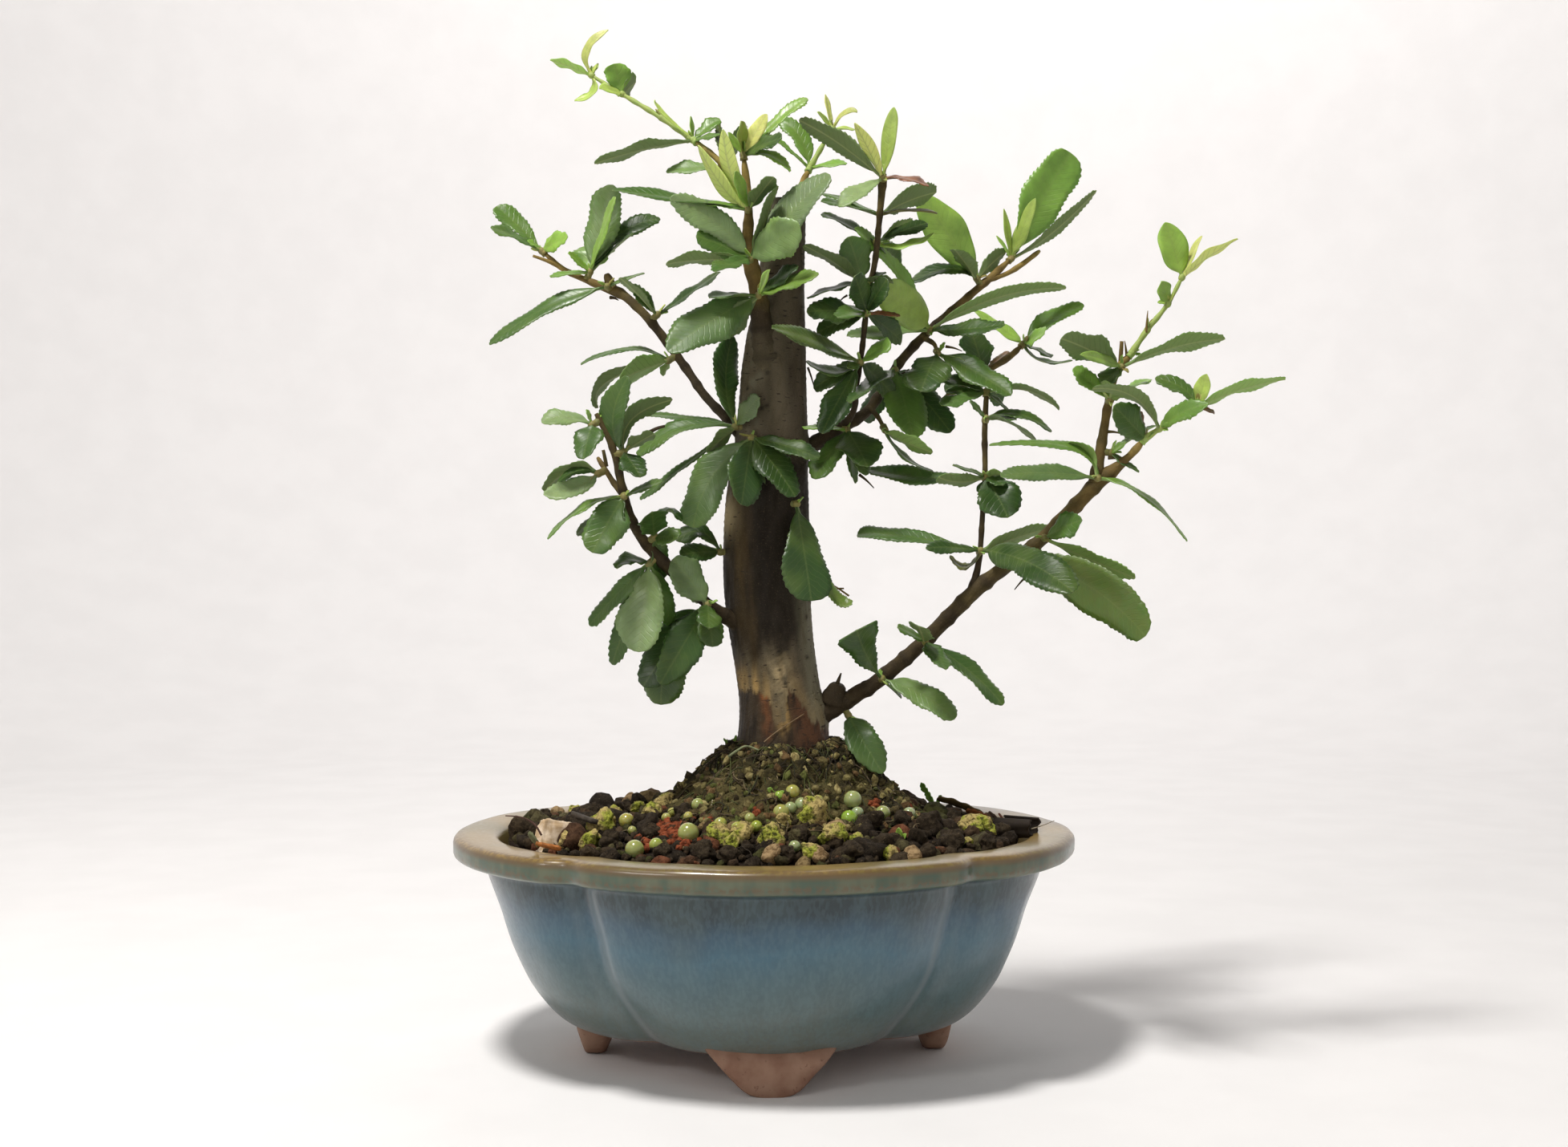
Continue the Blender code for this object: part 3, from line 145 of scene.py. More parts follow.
def tube(path, radii, sides, bulge=0.0, **looks):
    # Circle of each station's radius, square to the path: spot + (side cos a + over sin a) * radius.
    # Each end closes on a pole
    along = unit(np.gradient(path, axis=0))
    helper = np.eye(3)[np.argmin(np.abs(along).mean(0))]
    side = unit(helper - along * (along @ helper)[:, None])
    over = np.cross(along, side)
    angles = np.linspace(0, 2 * math.pi, sides, endpoint=False)
    ring = side[:, None] * np.cos(angles)[:, None] + over[:, None] * np.sin(angles)[:, None]
    reach = np.asarray(radii)[:, None] * (1 + np.asarray(bulge)) * np.ones(sides)
    rows = path[:, None] + ring * reach[..., None]
    return closedRings(rows, path[0], path[-1], **looks), rows


def closedRings(rows, first, last, **looks):
    # Rings joined by quads, with a fan of triangles to a pole at each end
    count, sides = rows.shape[:2]
    ends = count * sides
    turn = np.arange(sides)
    after = (turn + 1) % sides
    start = np.stack([np.full(sides, ends), after, turn], 1)
    finish = np.stack([np.full(sides, ends + 1), ends - sides + turn, ends - sides + after], 1)
    part = {"verts": np.vstack([rows.reshape(-1, 3), first, last]),
            "quads": gridQuads(count, sides, around=True), "tris": np.vstack([start, finish])}
    for name, values in looks.items():
        values = np.broadcast_to(np.asarray(values, float), (3,)) if np.ndim(values) < 2 else values
        if values.ndim == 1:
            part[name] = np.tile(values, (ends + 2, 1))
        else:
            part[name] = np.vstack([values, values[:1], values[-1:]])
    return part


def joined(parts):
    # Several parts as one: their points stacked and their faces' numbers moved up
    offsets = np.cumsum([0] + [len(part["verts"]) for part in parts[:-1]])
    whole = {"verts": np.vstack([part["verts"] for part in parts])}
    for kind in ("quads", "tris"):
        found = [part[kind] + offset for part, offset in zip(parts, offsets) if len(part.get(kind, ()))]
        whole[kind] = np.vstack(found) if found else np.zeros((0, 4 if kind == "quads" else 3), int)
    names = sorted({name for part in parts for name in part} - {"verts", "quads", "tris"})
    for name in names:
        whole[name] = np.vstack([part.get(name, np.zeros((len(part["verts"]), 3))) for part in parts])
    return whole


def makePiece(name, parts, material, nodes, sharp=None):
    # One object of the parts, in metres, that rides on the root and stands for the nodes
    whole = joined(parts) if isinstance(parts, list) else parts
    mesh = bpy.data.meshes.new(name)
    mesh.from_pydata((whole["verts"] * toMetres).tolist(), [], whole["quads"].tolist() + whole["tris"].tolist())
    mesh.update()
    mesh.shade_smooth()
    if sharp is not None:
        mesh.set_sharp_from_angle(angle=math.radians(sharp))
    for key in sorted(set(whole) - {"verts", "quads", "tris"}):
        attribute = mesh.attributes.new(key, "FLOAT_VECTOR", "POINT")
        attribute.data.foreach_set("vector", whole[key].astype(np.float32).ravel())
    mesh.materials.append(material)
    piece = bpy.data.objects.new(name, mesh)
    bpy.context.scene.collection.objects.link(piece)
    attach(piece, "root")
    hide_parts(*nodes)
    return piece


# ---- materials

def colour(red, green, blue):
    # A colour as a screen shows it, from 0 to 255, made linear
    values = np.array([red, green, blue]) / 255
    linear = np.where(values > 0.04045, ((values + 0.055) / 1.055) ** 2.4, values / 12.92)
    return (*linear.tolist(), 1.0)


def newMaterial(name, roughness, **sockets):
    # A material with its shader; sockets are named with _ for a space
    material = bpy.data.materials.new(name)
    material.use_nodes = True
    tree = material.node_tree
    shader = tree.nodes["Principled BSDF"]
    shader.inputs["Roughness"].default_value = roughness
    for key, value in sockets.items():
        shader.inputs[key.replace("_", " ")].default_value = value
    return material, tree, shader


def addNode(tree, kind, inputs=(), **settings):
    # A node of the tree: an input is linked where another node gives it, and set where it is a value
    made = tree.nodes.new("ShaderNode" + kind)
    for key, value in settings.items():
        setattr(made, key, value)
    for key, value in dict(inputs).items():
        if isinstance(value, bpy.types.NodeSocket):
            tree.links.new(value, made.inputs[key])
        else:
            made.inputs[key].default_value = value
    return made


def objectPlace(tree):
    # The spot on the object, in metres
    return addNode(tree, "TexCoord").outputs["Object"]


def heightOf(tree, vector):
    # The spot's height above the floor, in metres
    return addNode(tree, "SeparateXYZ", {0: vector}).outputs["Z"]


def attributeParts(tree, name):
    # An attribute of the mesh, whole and then each of its three parts
    found = addNode(tree, "Attribute", attribute_name=name).outputs["Vector"]
    return (found, *addNode(tree, "SeparateXYZ", {0: found}).outputs)


def stretched(tree, vector, scale):
    # The spot times a scale along each axis: a pattern runs along an axis whose scale is small
    return addNode(tree, "Mapping", {"Vector": vector, "Scale": scale}).outputs["Vector"]


def noise(tree, vector, scale, detail=3.0, rough=0.5, warp=0.0):
    # Cloudy pattern from 0 to 1, scale patches to a metre
    inputs = {"Vector": vector, "Scale": scale, "Detail": detail, "Roughness": rough, "Distortion": warp}
    return addNode(tree, "TexNoise", inputs).outputs[0]


def cells(tree, vector, scale):
    # Distance from the nearest of many scattered points, scale points to a metre
    return addNode(tree, "TexVoronoi", {"Vector": vector, "Scale": scale}).outputs["Distance"]


def spread(tree, value, low, high, start=0.0, end=1.0):
    # Smooth step from start at low to end at high
    inputs = {"Value": value, "From Min": low, "From Max": high, "To Min": start, "To Max": end}
    return addNode(tree, "MapRange", inputs, interpolation_type="SMOOTHSTEP").outputs[0]


def figure(tree, operation, first, second=0.0):
    # One sum with two values
    return addNode(tree, "Math", {0: first, 1: second}, operation=operation).outputs[0]


def times(tree, first, second):
    return figure(tree, "MULTIPLY", first, second)


def plus(tree, first, second):
    return figure(tree, "ADD", first, second)


def minus(tree, first, second):
    return figure(tree, "SUBTRACT", first, second)


def mixed(tree, factor, first, second, blend="MIX"):
    # The first colour where the factor is 0 and the second where it is 1
    inputs = {0: factor, 6: first, 7: second}
    return addNode(tree, "Mix", inputs, data_type="RGBA", blend_type=blend).outputs[2]


def coated(tree, base, *coats):
    # Shades laid over the base in turn. Each coat: pattern, the values of it between which the coat comes in,
    # the share that it reaches (or its shares at both values), and the shade
    for pattern, low, high, share, shade in coats:
        start, end = share if isinstance(share, tuple) else (0.0, share)
        base = mixed(tree, spread(tree, pattern, low, high, start, end), base, colour(*shade))
    return base


def ramp(tree, factor, stops):
    # Shades at their positions from 0 to 1, blended between
    made = addNode(tree, "ValToRGB", {0: factor})
    band = made.color_ramp
    while len(band.elements) < len(stops):
        band.elements.new(0.5)
    for element, (position, shade) in zip(band.elements, stops):
        element.position = position
        element.color = colour(*shade)
    return made.outputs["Color"]


def setBump(tree, shader, height, strength, distance):
    # Fine relief that only bends the light, distance metres deep
    made = addNode(tree, "Bump", {"Height": height, "Strength": strength, "Distance": distance})
    tree.links.new(made.outputs["Normal"], shader.inputs["Normal"])


def finish(tree, shader, base, roughness=None):
    tree.links.new(base, shader.inputs["Base Color"])
    if roughness is not None:
        tree.links.new(roughness, shader.inputs["Roughness"])


def near(tree, vector, reading, radius):
    # 1 at a reading on the front of the pot, falling to 0 at the radius
    point = place(reading) * toMetres
    away = addNode(tree, "VectorMath", {0: vector, 1: tuple(point)}, operation="DISTANCE").outputs["Value"]
    return spread(tree, away, 0.3 * radius * toMetres, radius * toMetres, 1.0, 0.0)


def plainFinish(name, shade, other, scale, roughness):
    # Two shades in a fine grain
    material, tree, shader = newMaterial(name, roughness, Specular_IOR_Level=0.3)
    grain = noise(tree, objectPlace(tree), scale, 4.0, 0.6)
    finish(tree, shader, coated(tree, colour(*shade), (grain, 0.4, 0.62, 1.0, other)))
    setBump(tree, shader, grain, 0.5, 0.0005)
    return material


# ---- the tree, as the CAD part has it

# Seat of a spur on its branch: across, up, away
front, back = (0, 0, -1), (0, 0, 1)
left, right = (-1, 0, 0), (1, 0, 0)
above, below = (0, 1, 0), (0, -1, 0)

# Wood: points (across, up, away, radius) along each stem, root end first
branches = {
    "trunk": [
        (4, 38, 0, 9), (4.3, 46, 0, 13), (4.7, 58, 0, 14.5), (4.7, 66, 0, 12.6),
        (4.4, 76, 0, 10.8), (3.5, 86, 0, 9.9), (1.9, 100, 0, 10), (0.4, 115, 0, 10.5),
        (0.5, 131, 0, 10.2), (1.6, 148, 0, 9), (2.4, 165, 0, 7.8), (3.8, 182, 0, 6.2),
        (5, 197, 0, 5.2), (5.4, 206, 0, 4.6),
    ],
    "leader": [
        (1, 166, -4, 3), (-0.6, 175, -6.5, 2.5), (-1.6, 183, -8.5, 2),
        (-2.8, 188.5, -9.4, 1.75), (-3.6, 192, -9.8, 2),
        (-4.2, 196, -10.2, 1.5), (-3.9, 203, -10.4, 1.05), (-4.5, 211, -10.2, 0.95),
        (-5, 215.8, -10, 0.65),
    ],
    "crownLeft": [
        (-4, 205, -10.4, 0.7), (-8, 212, -9.6, 0.75), (-12, 216.5, -7.6, 0.7),
        (-16.5, 220, -5, 0.65),
    ],
    "centre": [
        (6.6, 199, 1, 1.6), (7.2, 206, 2.6, 1.1), (8.8, 209.6, 4, 0.8),
        (10.5, 213, 6, 0.65),
    ],
    "rightUpper": [
        (4, 143.5, 0, 2.6), (10, 145.6, 1, 1.9), (14.5, 148.6, 2, 1.6),
        (20, 151.8, 4, 1.5),
        (24.6, 154.6, 6, 1.3), (28.4, 159.6, 9, 1.2), (32.6, 166.4, 12, 1.15),
        (38.6, 173.1, 15, 1.1),
        (44.8, 178.8, 18, 0.9), (52.9, 185.6, 22, 0.95), (59.2, 191.3, 26, 0.75),
    ],
    "rightTwin": [
        (54, 186.6, 22.4, 0.6), (58.6, 188.2, 25, 0.6), (62.6, 190.6, 27, 0.7),
        (66.8, 193.8, 29, 0.5),
    ],
    "inner": [
        (19, 151.2, 3.4, 1), (21.6, 155, -0.5, 0.75), (22.4, 161.3, -3, 0.65),
        (23.7, 170, -5, 0.65),
        (25.2, 183.7, -6, 0.7), (26.8, 191.1, -6, 0.7), (28, 203, -6, 0.75),
        (28.8, 212.5, -6, 1.1),
    ],
    "rear": [
        (29.5, 161.4, 9.6, 0.8), (35.5, 157.6, 16, 0.8), (42, 157, 22, 0.8),
        (47, 160.2, 25, 0.8),
        (55.3, 165.4, 28, 0.8), (59.6, 168.2, 31, 0.85), (62.2, 170.6, 33, 0.6),
    ],
    "rightDrop": [
        (25.6, 155.6, 6.2, 0.7), (27.6, 153.4, 3.5, 0.55), (28.8, 151.2, 1, 0.5),
    ],
    "rightFork": [
        (38.4, 172.8, 14.8, 0.7), (41, 171.4, 10.5, 0.55), (41.8, 169.6, 7.5, 0.5),
    ],
    "lowRight": [
        (5, 79.5, 0, 3), (13.5, 81.4, -0.4, 2.6), (18, 83.4, -0.8, 2.1),
        (23, 86.2, -1.5, 1.8),
        (28.6, 90.1, -3, 1.8), (38.4, 98.5, -6, 1.75), (51, 111, -9, 1.8),
        (59.8, 118, -11, 1.65),
        (67.6, 123.9, -13, 1.6), (76.4, 132.7, -15, 1.7), (81.2, 137.6, -16, 1.7),
        (87.4, 142.6, -17, 1.35),
    ],
    "burl": [(16.6, 84, -0.6, 2.6), (17.9, 88.6, -1.6, 1.7)],
    "lowTip": [
        (83.6, 139.8, -16.6, 0.9), (88.6, 143.9, -18, 0.85), (91.6, 147.2, -19, 0.8),
    ],
    "twig": [
        (50.4, 110.6, -9, 1.1), (52.2, 119, -7.5, 0.7), (53, 129.8, -5.5, 0.65),
        (53.6, 139.5, -3.5, 0.65),
        (53.5, 149.3, -1.5, 0.7), (53.9, 158.4, 0.5, 0.65),
    ],
    "riser": [
        (80.4, 137.4, -15.9, 1.4), (81.3, 143, -16, 1.25), (82.3, 149.3, -15.5, 1.1),
        (83.6, 157, -15, 1),
        (85, 163.7, -14.5, 1.1), (88.4, 168, -14, 0.9),
    ],
    "leftUpper": [
        (-1, 145.6, -1, 1.8), (-6.2, 149.4, -1.4, 1.3), (-9.6, 153.4, 0, 1.1),
        (-14.6, 158.8, 2, 1.05),
        (-18.9, 165, 4.5, 1.05), (-23.9, 171.9, 7, 1.1), (-28.3, 177.4, 9, 1.1),
        (-33.3, 182.3, 11, 1.1),
        (-37.2, 184.5, 12.5, 1.35), (-42, 186.2, 13.5, 0.85), (-48.8, 189.3, 14.5, 0.7),
        (-53.2, 193, 15.5, 0.6),
    ],
    "leftKnob": [(-37, 184.4, 12.5, 1.1), (-38.4, 188.2, 12.8, 0.85)],
    "drop": [
        (-3, 101.6, -2, 2.4), (-9.5, 105, -6, 1.7), (-13.5, 107.8, -8.5, 1.35),
        (-19.2, 112.6, -12, 1.25),
        (-24.2, 117.7, -14, 1.4), (-29.2, 123.1, -16, 1.25), (-32.7, 129.2, -18, 1.15),
        (-34.6, 136.1, -19.5, 1),
        (-36.1, 143.1, -20.5, 0.85), (-38.2, 149.1, -21, 0.8), (-41, 154.3, -21, 0.65),
    ],
    "dropTwig": [(-34.4, 134.6, -19.3, 0.7), (-36.6, 137.3, -18, 0.65),
        (-38.7, 140.6, -16, 0.6), (-40.6, 143.6, -14, 0.5)],
}

# Leaf sprays: name, branch, knots, seat on the branch.
# A knot is (across, up) for one spur. A new shoot has several knots with their own depth, and a soft
# stem runs through them. A leaf is (tip across, tip up, tip away from its knot, width as seen, turn in
# degrees, youth from 0 to 1), and two more numbers bend its midrib through a point.
# A high youth on a few leaves, such as those with tips at (28.5, 184.6) and (38.0, 206.6), is a painted glow: it makes
# them brighter in place of light shining through them
sprays = {
    "shoot_crown_left": ("crownLeft", "tip", [
        ((-17, 220.6, -4.7), [
            (-41.5, 215.3, -5, 2.8, 115, 0.3, -29, 218.8), (-11, 226, 2, 2.5, 50, 0.4),
            (-11, 222, -3, 1, 70, 0.4)]),
        ((-25, 226, -1), []),
        ((-34.6, 231.8, 2.5), [
            (-36.5, 239.2, -1, 6, 25, 0.6), (-40, 233.4, -4, 2, 62, 0.9),
            (-31.5, 234.8, 3, 3, 125, 0.3)]),
        ((-42, 236.3, 5), [
            (-38, 247.5, 0, 1.8, 50, 1, -43.2, 242.6), (-52, 240.3, -1, 2, 115, 0.8),
            (-46.2, 230.4, -1, 1.6, 60, 0.9, -41.8, 232.4)]),
    ]),
    "spray_crown_bend": ("crownLeft", back, [((-10.4, 214.8), [
        (-24, 213.3, 0, 2.3, 60, 0.5), (-11.3, 225.3, 6, 2, 40, 0.2),
        (-4.6, 224, 4, 3, 130, 0.2)])]),
    "spray_leader_upper": ("leader", front, [((-4, 203.4), [
        (-16, 219.5, -1, 3.2, 130, 0.95, -10, 209.5), (-10, 223.3, -3, 3.9, 150, 0.95, -8, 212.5),
        (-7, 213, -5, 2.5, 40, 0.75), (-37, 208.8, -4, 2, 75, 0.3, -18, 206.2),
        (-14.5, 205.2, -2, 1.2, 70, 0.5), (2, 212, -3, 4, 130, 0.2)])]),
    "spray_leader_top": ("leader", "tip", [((-5, 216), [
        (-5.5, 225.3, -2, 2.5, 60, 0.8), (0.5, 227, -1, 3.5, 30, 1),
        (-8.8, 222.6, -1, 1.8, 50, 0.8),
        (4, 221.3, -4, 2.8, 60, 0.1), (10.3, 231, 2, 2.3, 50, 0.7, 3.6, 226),
        (6.3, 213.2, -3, 1.8, 60, 0.7, 1.4, 217.2)])]),
    "spray_leader_middle": ("leader", front, [((-3.2, 191.6), [
        (15.7, 212.5, -2, 9, 48, 0.3), (8.5, 199.5, -6, 8, 15, 0.52),
        (-16.5, 197.5, -4, 6, 40, 0.3),
        (-23, 206.5, -4, 6.2, 30, 0.4, -11.5, 200.5), (-24, 191, -6, 4, 120, 0.3),
        (-12, 189, -9, 3.5, 60, 0.3), (3, 209.7, -2, 2.2, 110, 0.1)])]),
    "spray_leader_low": ("leader", front, [((-1.9, 183), [
        (-23.5, 169.6, -8, 9, 32, 0.3), (-13.5, 182.7, -4, 1, 80, 0.3),
        (-10, 173, -2, 5, 140, 0),
        (13, 188.3, -5, 3, 60, 0.5), (1, 189.2, -6, 1.5, 50, 0.8),
        (8, 190.4, -2, 2.5, 60, 0)])]),
    "shoot_centre": ("centre", "tip", [
        ((11.2, 214.4, 6.6), [
            (3, 226, 3, 4, 30, 0.4, 8.4, 221.8), (1.5, 222, -2, 0.8, 70, 0.5, 6.5, 218),
            (19.7, 215, -3, 1.2, 75, 0.6)]),
        ((16.4, 223.4, 9), [
            (14.8, 231.8, 1, 1.2, 50, 1), (13, 227.6, -2, 1, 50, 0.9),
            (22.5, 227.6, -2, 1.2, 60, 1, 19.4, 227.4), (22, 223.4, 2, 0.8, 70, 0.9)]),
    ]),
    "spray_inner_top": ("inner", front, [((28.6, 211), [
        (8.5, 225.7, 2, 4.5, 140, 0.2, 18.5, 219.8), (22, 225, -3, 3, 130, 1),
        (31.3, 228.7, -1, 3.5, 30, 0.9), (18, 204.8, -5, 3.3, 50, 0.6),
        (40, 209.9, -3, 1.5, 80, 0.1, 34, 211.6)])]),
    "spray_inner_upper": ("inner", back, [((27.9, 203), [
        (41.5, 208.2, 10, 6.2, 130, 0.2), (42, 203.2, -3, 0.8, 83, 0.2, 34.5, 203.8),
        (13.3, 208.2, 1, 1, 80, 0.3), (13.7, 206, -3, 1, 80, 0.2)])]),
    "spray_inner_middle": ("inner", back, [((27, 196), [
        (14, 203.2, 3, 1.7, 75, 0.1), (39.5, 200.8, 3, 2.6, 60, 0), (36, 200.6, 7, 2.6, 125, 0.4),
        (41, 198.4, -1, 1.8, 75, 0.8, 34, 195.2)])]),
    "spray_inner_low": ("inner", left, [((25.4, 186), [
        (20.5, 197.2, -2, 7, 25, 0.3), (9.7, 195.5, -5, 4, 120, 0.1),
        (10.3, 182.6, -3, 1.4, 78, 0)])]),
    "spray_inner_lower": ("inner", front, [((24.6, 178.6), [
        (22, 187.6, -6, 5, 30, 0), (29.6, 187, -3, 4.2, 40, 0),
        (10.3, 179.2, -3, 5.6, 40, 0),
        (17.8, 178, -6, 3.2, 60, 0.3), (33, 178.2, 1, 1, 60, 0)])]),
    "spray_inner_base": ("inner", front, [((23.3, 167), [
        (30.6, 171.6, -2, 3, 50, 0.6), (5.5, 173.4, -9, 4, 60, 0.2),
        (2, 175.4, -12, 4, 60, 0.1),
        (10.3, 167.4, 0, 3, 70, 0.2, 17, 164.6), (14, 149.6, -5, 5.6, 30, 0, 17.6, 157)])]),
    "spray_right_base": ("rightUpper", (0, -0.5, -0.87), [((18.6, 151), [
        (12.2, 138.6, -5, 6.2, 45, 0.3), (25, 141.8, -7, 8.2, 25, 0),
        (24.8, 139.4, -3, 4.4, 40, 0.1),
        (22.3, 137.4, -1, 1.8, 60, 0.2), (9.6, 151, -6, 1.2, 70, 0.6)])]),
    "spray_right_hanging": ("rightDrop", "tip", [((28.8, 151.2), [
        (41, 145.2, -3, 3, 120, 0.5, 34, 147.8), (41, 140.4, -1, 1, 75, 0.2, 34, 144)])]),
    "spray_right_shade": ("rightUpper", front, [((31.2, 164), [
        (36.3, 148.4, -8, 8.2, 30, 0.4), (45.4, 150, -4, 7.6, 40, 0),
        (20.6, 157.4, -16, 5.2, 60, 0.1)])]),
    "spray_right_fork": ("rightFork", "tip", [((41.8, 169.4), [
        (38, 160, -8, 9.2, 20, 0), (59.9, 158.9, -8, 6.2, 40, 0.2),
        (53, 161.4, -1, 3.6, 120, 0.4)])]),
    "spray_right_node": ("rightUpper", front, [((39.4, 174), [
        # The first leaf's high youth is a painted glow of light shining through it
        (28.5, 184.6, -12, 9.4, 10, 0.88), (73.3, 185.2, -5, 4.4, 125, 0.4, 56, 182.6),
        (58.2, 176.2, -7, 3.4, 50, 0.1, 49, 175), (20, 173.6, -4, 3, 60, 0.5, 30, 174.2),
        (18.4, 180.8, 3, 1.9, 75, 0.1, 28, 178.2), (22, 199.4, -13, 3.3, 60, 0.6, 32.6, 188.4)])]),
    "spray_right_upper": ("rightUpper", above, [((52.6, 185.4), [
        # The first leaf's high youth is a painted glow of light shining through it
        (38, 206.6, -3, 9.8, 18, 0.84), (35, 186.2, -4, 4, 60, 0, 45, 189.6),
        (46.3, 194.3, -7, 3.5, 130, 0.3), (58.4, 193.8, 4, 3.3, 140, 0.2)])]),
    "spray_right_tip": ("rightUpper", "tip", [((59.2, 191.3), [
        (74.4, 217.6, 0, 10.4, -12, 0.54), (61.6, 197.4, 5, 3, 30, 0),
        (58.2, 204, -2, 1.6, 50, 0.9),
        (80.4, 208.5, 7, 2.4, 130, 0.3, 70, 198.6), (65.6, 206.6, -3, 3.5, 40, 0.9)])]),
    "spray_rear_tip": ("rear", "tip", [((62.2, 170.8), [
        (77.6, 180.8, 2, 4, 45, 0.6, 69.5, 177.4), (67.8, 173.8, -6, 3, 50, 0.6),
        (50.2, 180, 3, 2.8, 55, 0.8, 57.4, 175.2), (69.8, 168.2, -3, 0.9, 80, 0.2),
        (74.8, 167.4, 0, 0.8, 80, 0.2, 67.6, 167.2)])]),
    "spray_rear_middle": ("rear", back, [((54, 164.6), [
        (50.2, 174.4, 2, 7, 30, 0), (59.2, 169.6, 3, 1.4, 60, 0.1)])]),
    "spray_twig_top": ("twig", "tip", [((53.9, 158.4), [
        (43, 156.6, -3, 2.5, 60, 0.3, 48, 158), (59.2, 155.2, -2, 0.9, 70, 0.2),
        (71.8, 155.4, 1, 1.5, 110, 0.3, 64, 160.2), (42.6, 163.5, 5, 2.5, 60, 0.2),
        (44, 159.6, 2, 1.8, 60, 0.3)])]),
    "spray_twig_upper": ("twig", front, [((53.6, 152.6), [
        (69.9, 150, -1, 1.9, 65, 0.1, 61.5, 154.4), (66.3, 148.2, -4, 1.4, 100, 0.1, 59, 152.6),
        (50, 157.4, -2, 1.2, 60, 0.3)])]),
    "spray_twig_middle": ("twig", front, [((53.6, 138.6), [
        (59.2, 129.4, -5, 8.4, 20, 0), (58, 137, -3, 2.3, 50, 0.1),
        (57.8, 140, -2, 1.8, 120, 0.4),
        (45.8, 142, -3, 0.8, 75, 0, 50.6, 140.4), (24.8, 141.2, 9, 4.5, 50, 0.3, 38.5, 138.9),
        (42.3, 139.2, -4, 2.8, 130, 0.3, 47.6, 138)])]),
    "spray_twig_low": ("twig", front, [((52.4, 120.6), [
        (39.3, 121.8, -4, 2.5, 50, 0), (22.4, 125.2, 3, 3.4, 55, 0.3, 33, 124.8),
        (92.6, 100.2, -15, 9.4, -26, 0.32, 75, 114.6), (69.4, 126.8, 2, 3.3, 120, 0.4, 60.4, 124.2),
        (45.3, 120, 2, 1.3, 65, 0.2, 49, 117.2)])]),
    "spray_low_knob": ("lowRight", front, [((68.4, 124), [
        (77, 128.6, -4, 5.2, 35, 0.3), (90.3, 114.5, -3, 3.1, 130, 0.5, 80, 118.8)])]),
    "spray_low_inner": ("lowRight", front, [((29, 90.3), [
        (22.6, 101.4, -7, 8.4, 20, 0.1, 25, 95.2), (46.4, 80.2, -4, 6.4, 40, 0.4, 38.6, 85.8)])]),
    "spray_low_middle": ("lowRight", front, [((39.4, 99.2), [
        (58.2, 83.6, -4, 5.2, 50, 0.1, 49.6, 92), (44.2, 92.2, -7, 3.6, 40, 0.2),
        (32.4, 102.5, -2, 1.9, 60, 0.3), (37.6, 102.8, -7, 4, 130, 0.3)])]),
    "spray_low_base": ("lowRight", below, [((18.4, 84.4), [(28.8, 66.8, -5, 6.9, 25, 0.2, 23.4, 75.6)])]),
    "spray_low_junction": ("riser", front, [((80.5, 138.6), [
        (57.4, 139.3, -3, 5, 50, 0.3, 68.6, 140), (54.6, 146.8, 1, 1.6, 65, 0.4, 74.6, 146.2),
        (73, 146.7, 2, 1.6, 110, 0.5, 78.4, 145.4), (103, 123.4, -3, 1.1, 75, 0.5, 92, 134.8)])]),
    "spray_riser_low": ("riser", right, [((81.7, 145.2), [
        (87.6, 147.2, -3, 1.3, 60, 0.5), (95, 151.6, 4, 1, 70, 0.5)])]),
    "spray_riser_middle": ("riser", front, [((83.6, 157.2), [
        (84.8, 161.4, -3, 4.6, 150, 0.4), (93.6, 162.8, 6, 1.2, 70, 0.6),
        (75, 165.4, 1, 3.4, 40, 0.6)])]),
    "spray_riser_upper": ("riser", front, [((86, 165.4), [
        (72, 173, -4, 7, 140, 0.2), (77, 168.8, -8, 2.4, 40, 0.8),
        (82, 161.6, -1, 4, 50, 0),
        (111.8, 172.8, 2, 3, 125, 0.4, 99, 170.6)])]),
    "shoot_riser_tip": ("riser", "tip", [
        ((88.9, 168.8, -14), []),
        ((93, 174.6, -13.5), []),
        ((98, 181, -13), [(96.6, 186.4, -2, 3.3, 40, 0.8)]),
        ((101.4, 187.4, -12.5), [
            (97.4, 200.8, -1, 6.8, 25, 0.8), (106, 197.6, 1, 1.6, 60, 1),
            (114.8, 197, -2, 2.2, 110, 1, 107, 192.2)]),
    ]),
    "shoot_low_tip": ("lowTip", "tip", [
        ((92.1, 147.9, -19.2), [(85, 156.2, -4, 6, 30, 0.2, 89.6, 151.4)]),
        ((96, 150.6, -20.2), [
            (79.7, 160.7, -8, 3.8, 120, 0.3, 90, 158.6),
            (107.8, 156.9, -5, 3.6, 40, 0.5, 101, 154.4)]),
        ((101, 153.2, -21.4), []),
        ((105.2, 156, -22.4), [
            (94.9, 163, 2, 3.2, 45, 0.3, 101.6, 160.6), (107.4, 163.9, -2, 3.4, 25, 0.9),
            (126.5, 162.9, 2, 2.6, 115, 0.6, 115, 160.2)]),
    ]),
    "spray_left_tip": ("leftUpper", "tip", [((-53.2, 193), [
        (-65.2, 204.7, 2, 4.5, 40, 0.4), (-66.5, 199.7, -3, 1.8, 70, 0.3),
        (-48, 197.4, -3, 3.2, 40, 0.7)])]),
    "spray_left_fan": ("leftUpper", above, [((-43.2, 187), [
        (-37, 210, 1, 7.5, 25, 0.4), (-41, 195.4, 2, 8.2, 25, 0.62),
        (-25.3, 201.7, 4, 5, 50, 0.1, -35.5, 197.8),
        (-47.6, 193.4, -3, 1.6, 50, 0.7), (-52, 187.6, -4, 1, 70, 0.6)])]),
    "spray_left_knob": ("leftUpper", front, [((-37.6, 184.6), [
        (-67, 171.2, -4, 4, 55, 0.3, -52.5, 180.4), (-29.2, 188.6, 1, 0.8, 75, 0.3)])]),
    "spray_left_spur": ("leftUpper", above, [((-27.6, 176.8), [
        (-11, 189, 3, 1.8, 70, 0, -18.6, 183.4), (-32, 185.3, -3, 3, 40, 0.1),
        (-35, 187.6, -7, 1.8, 120, 0.2)])]),
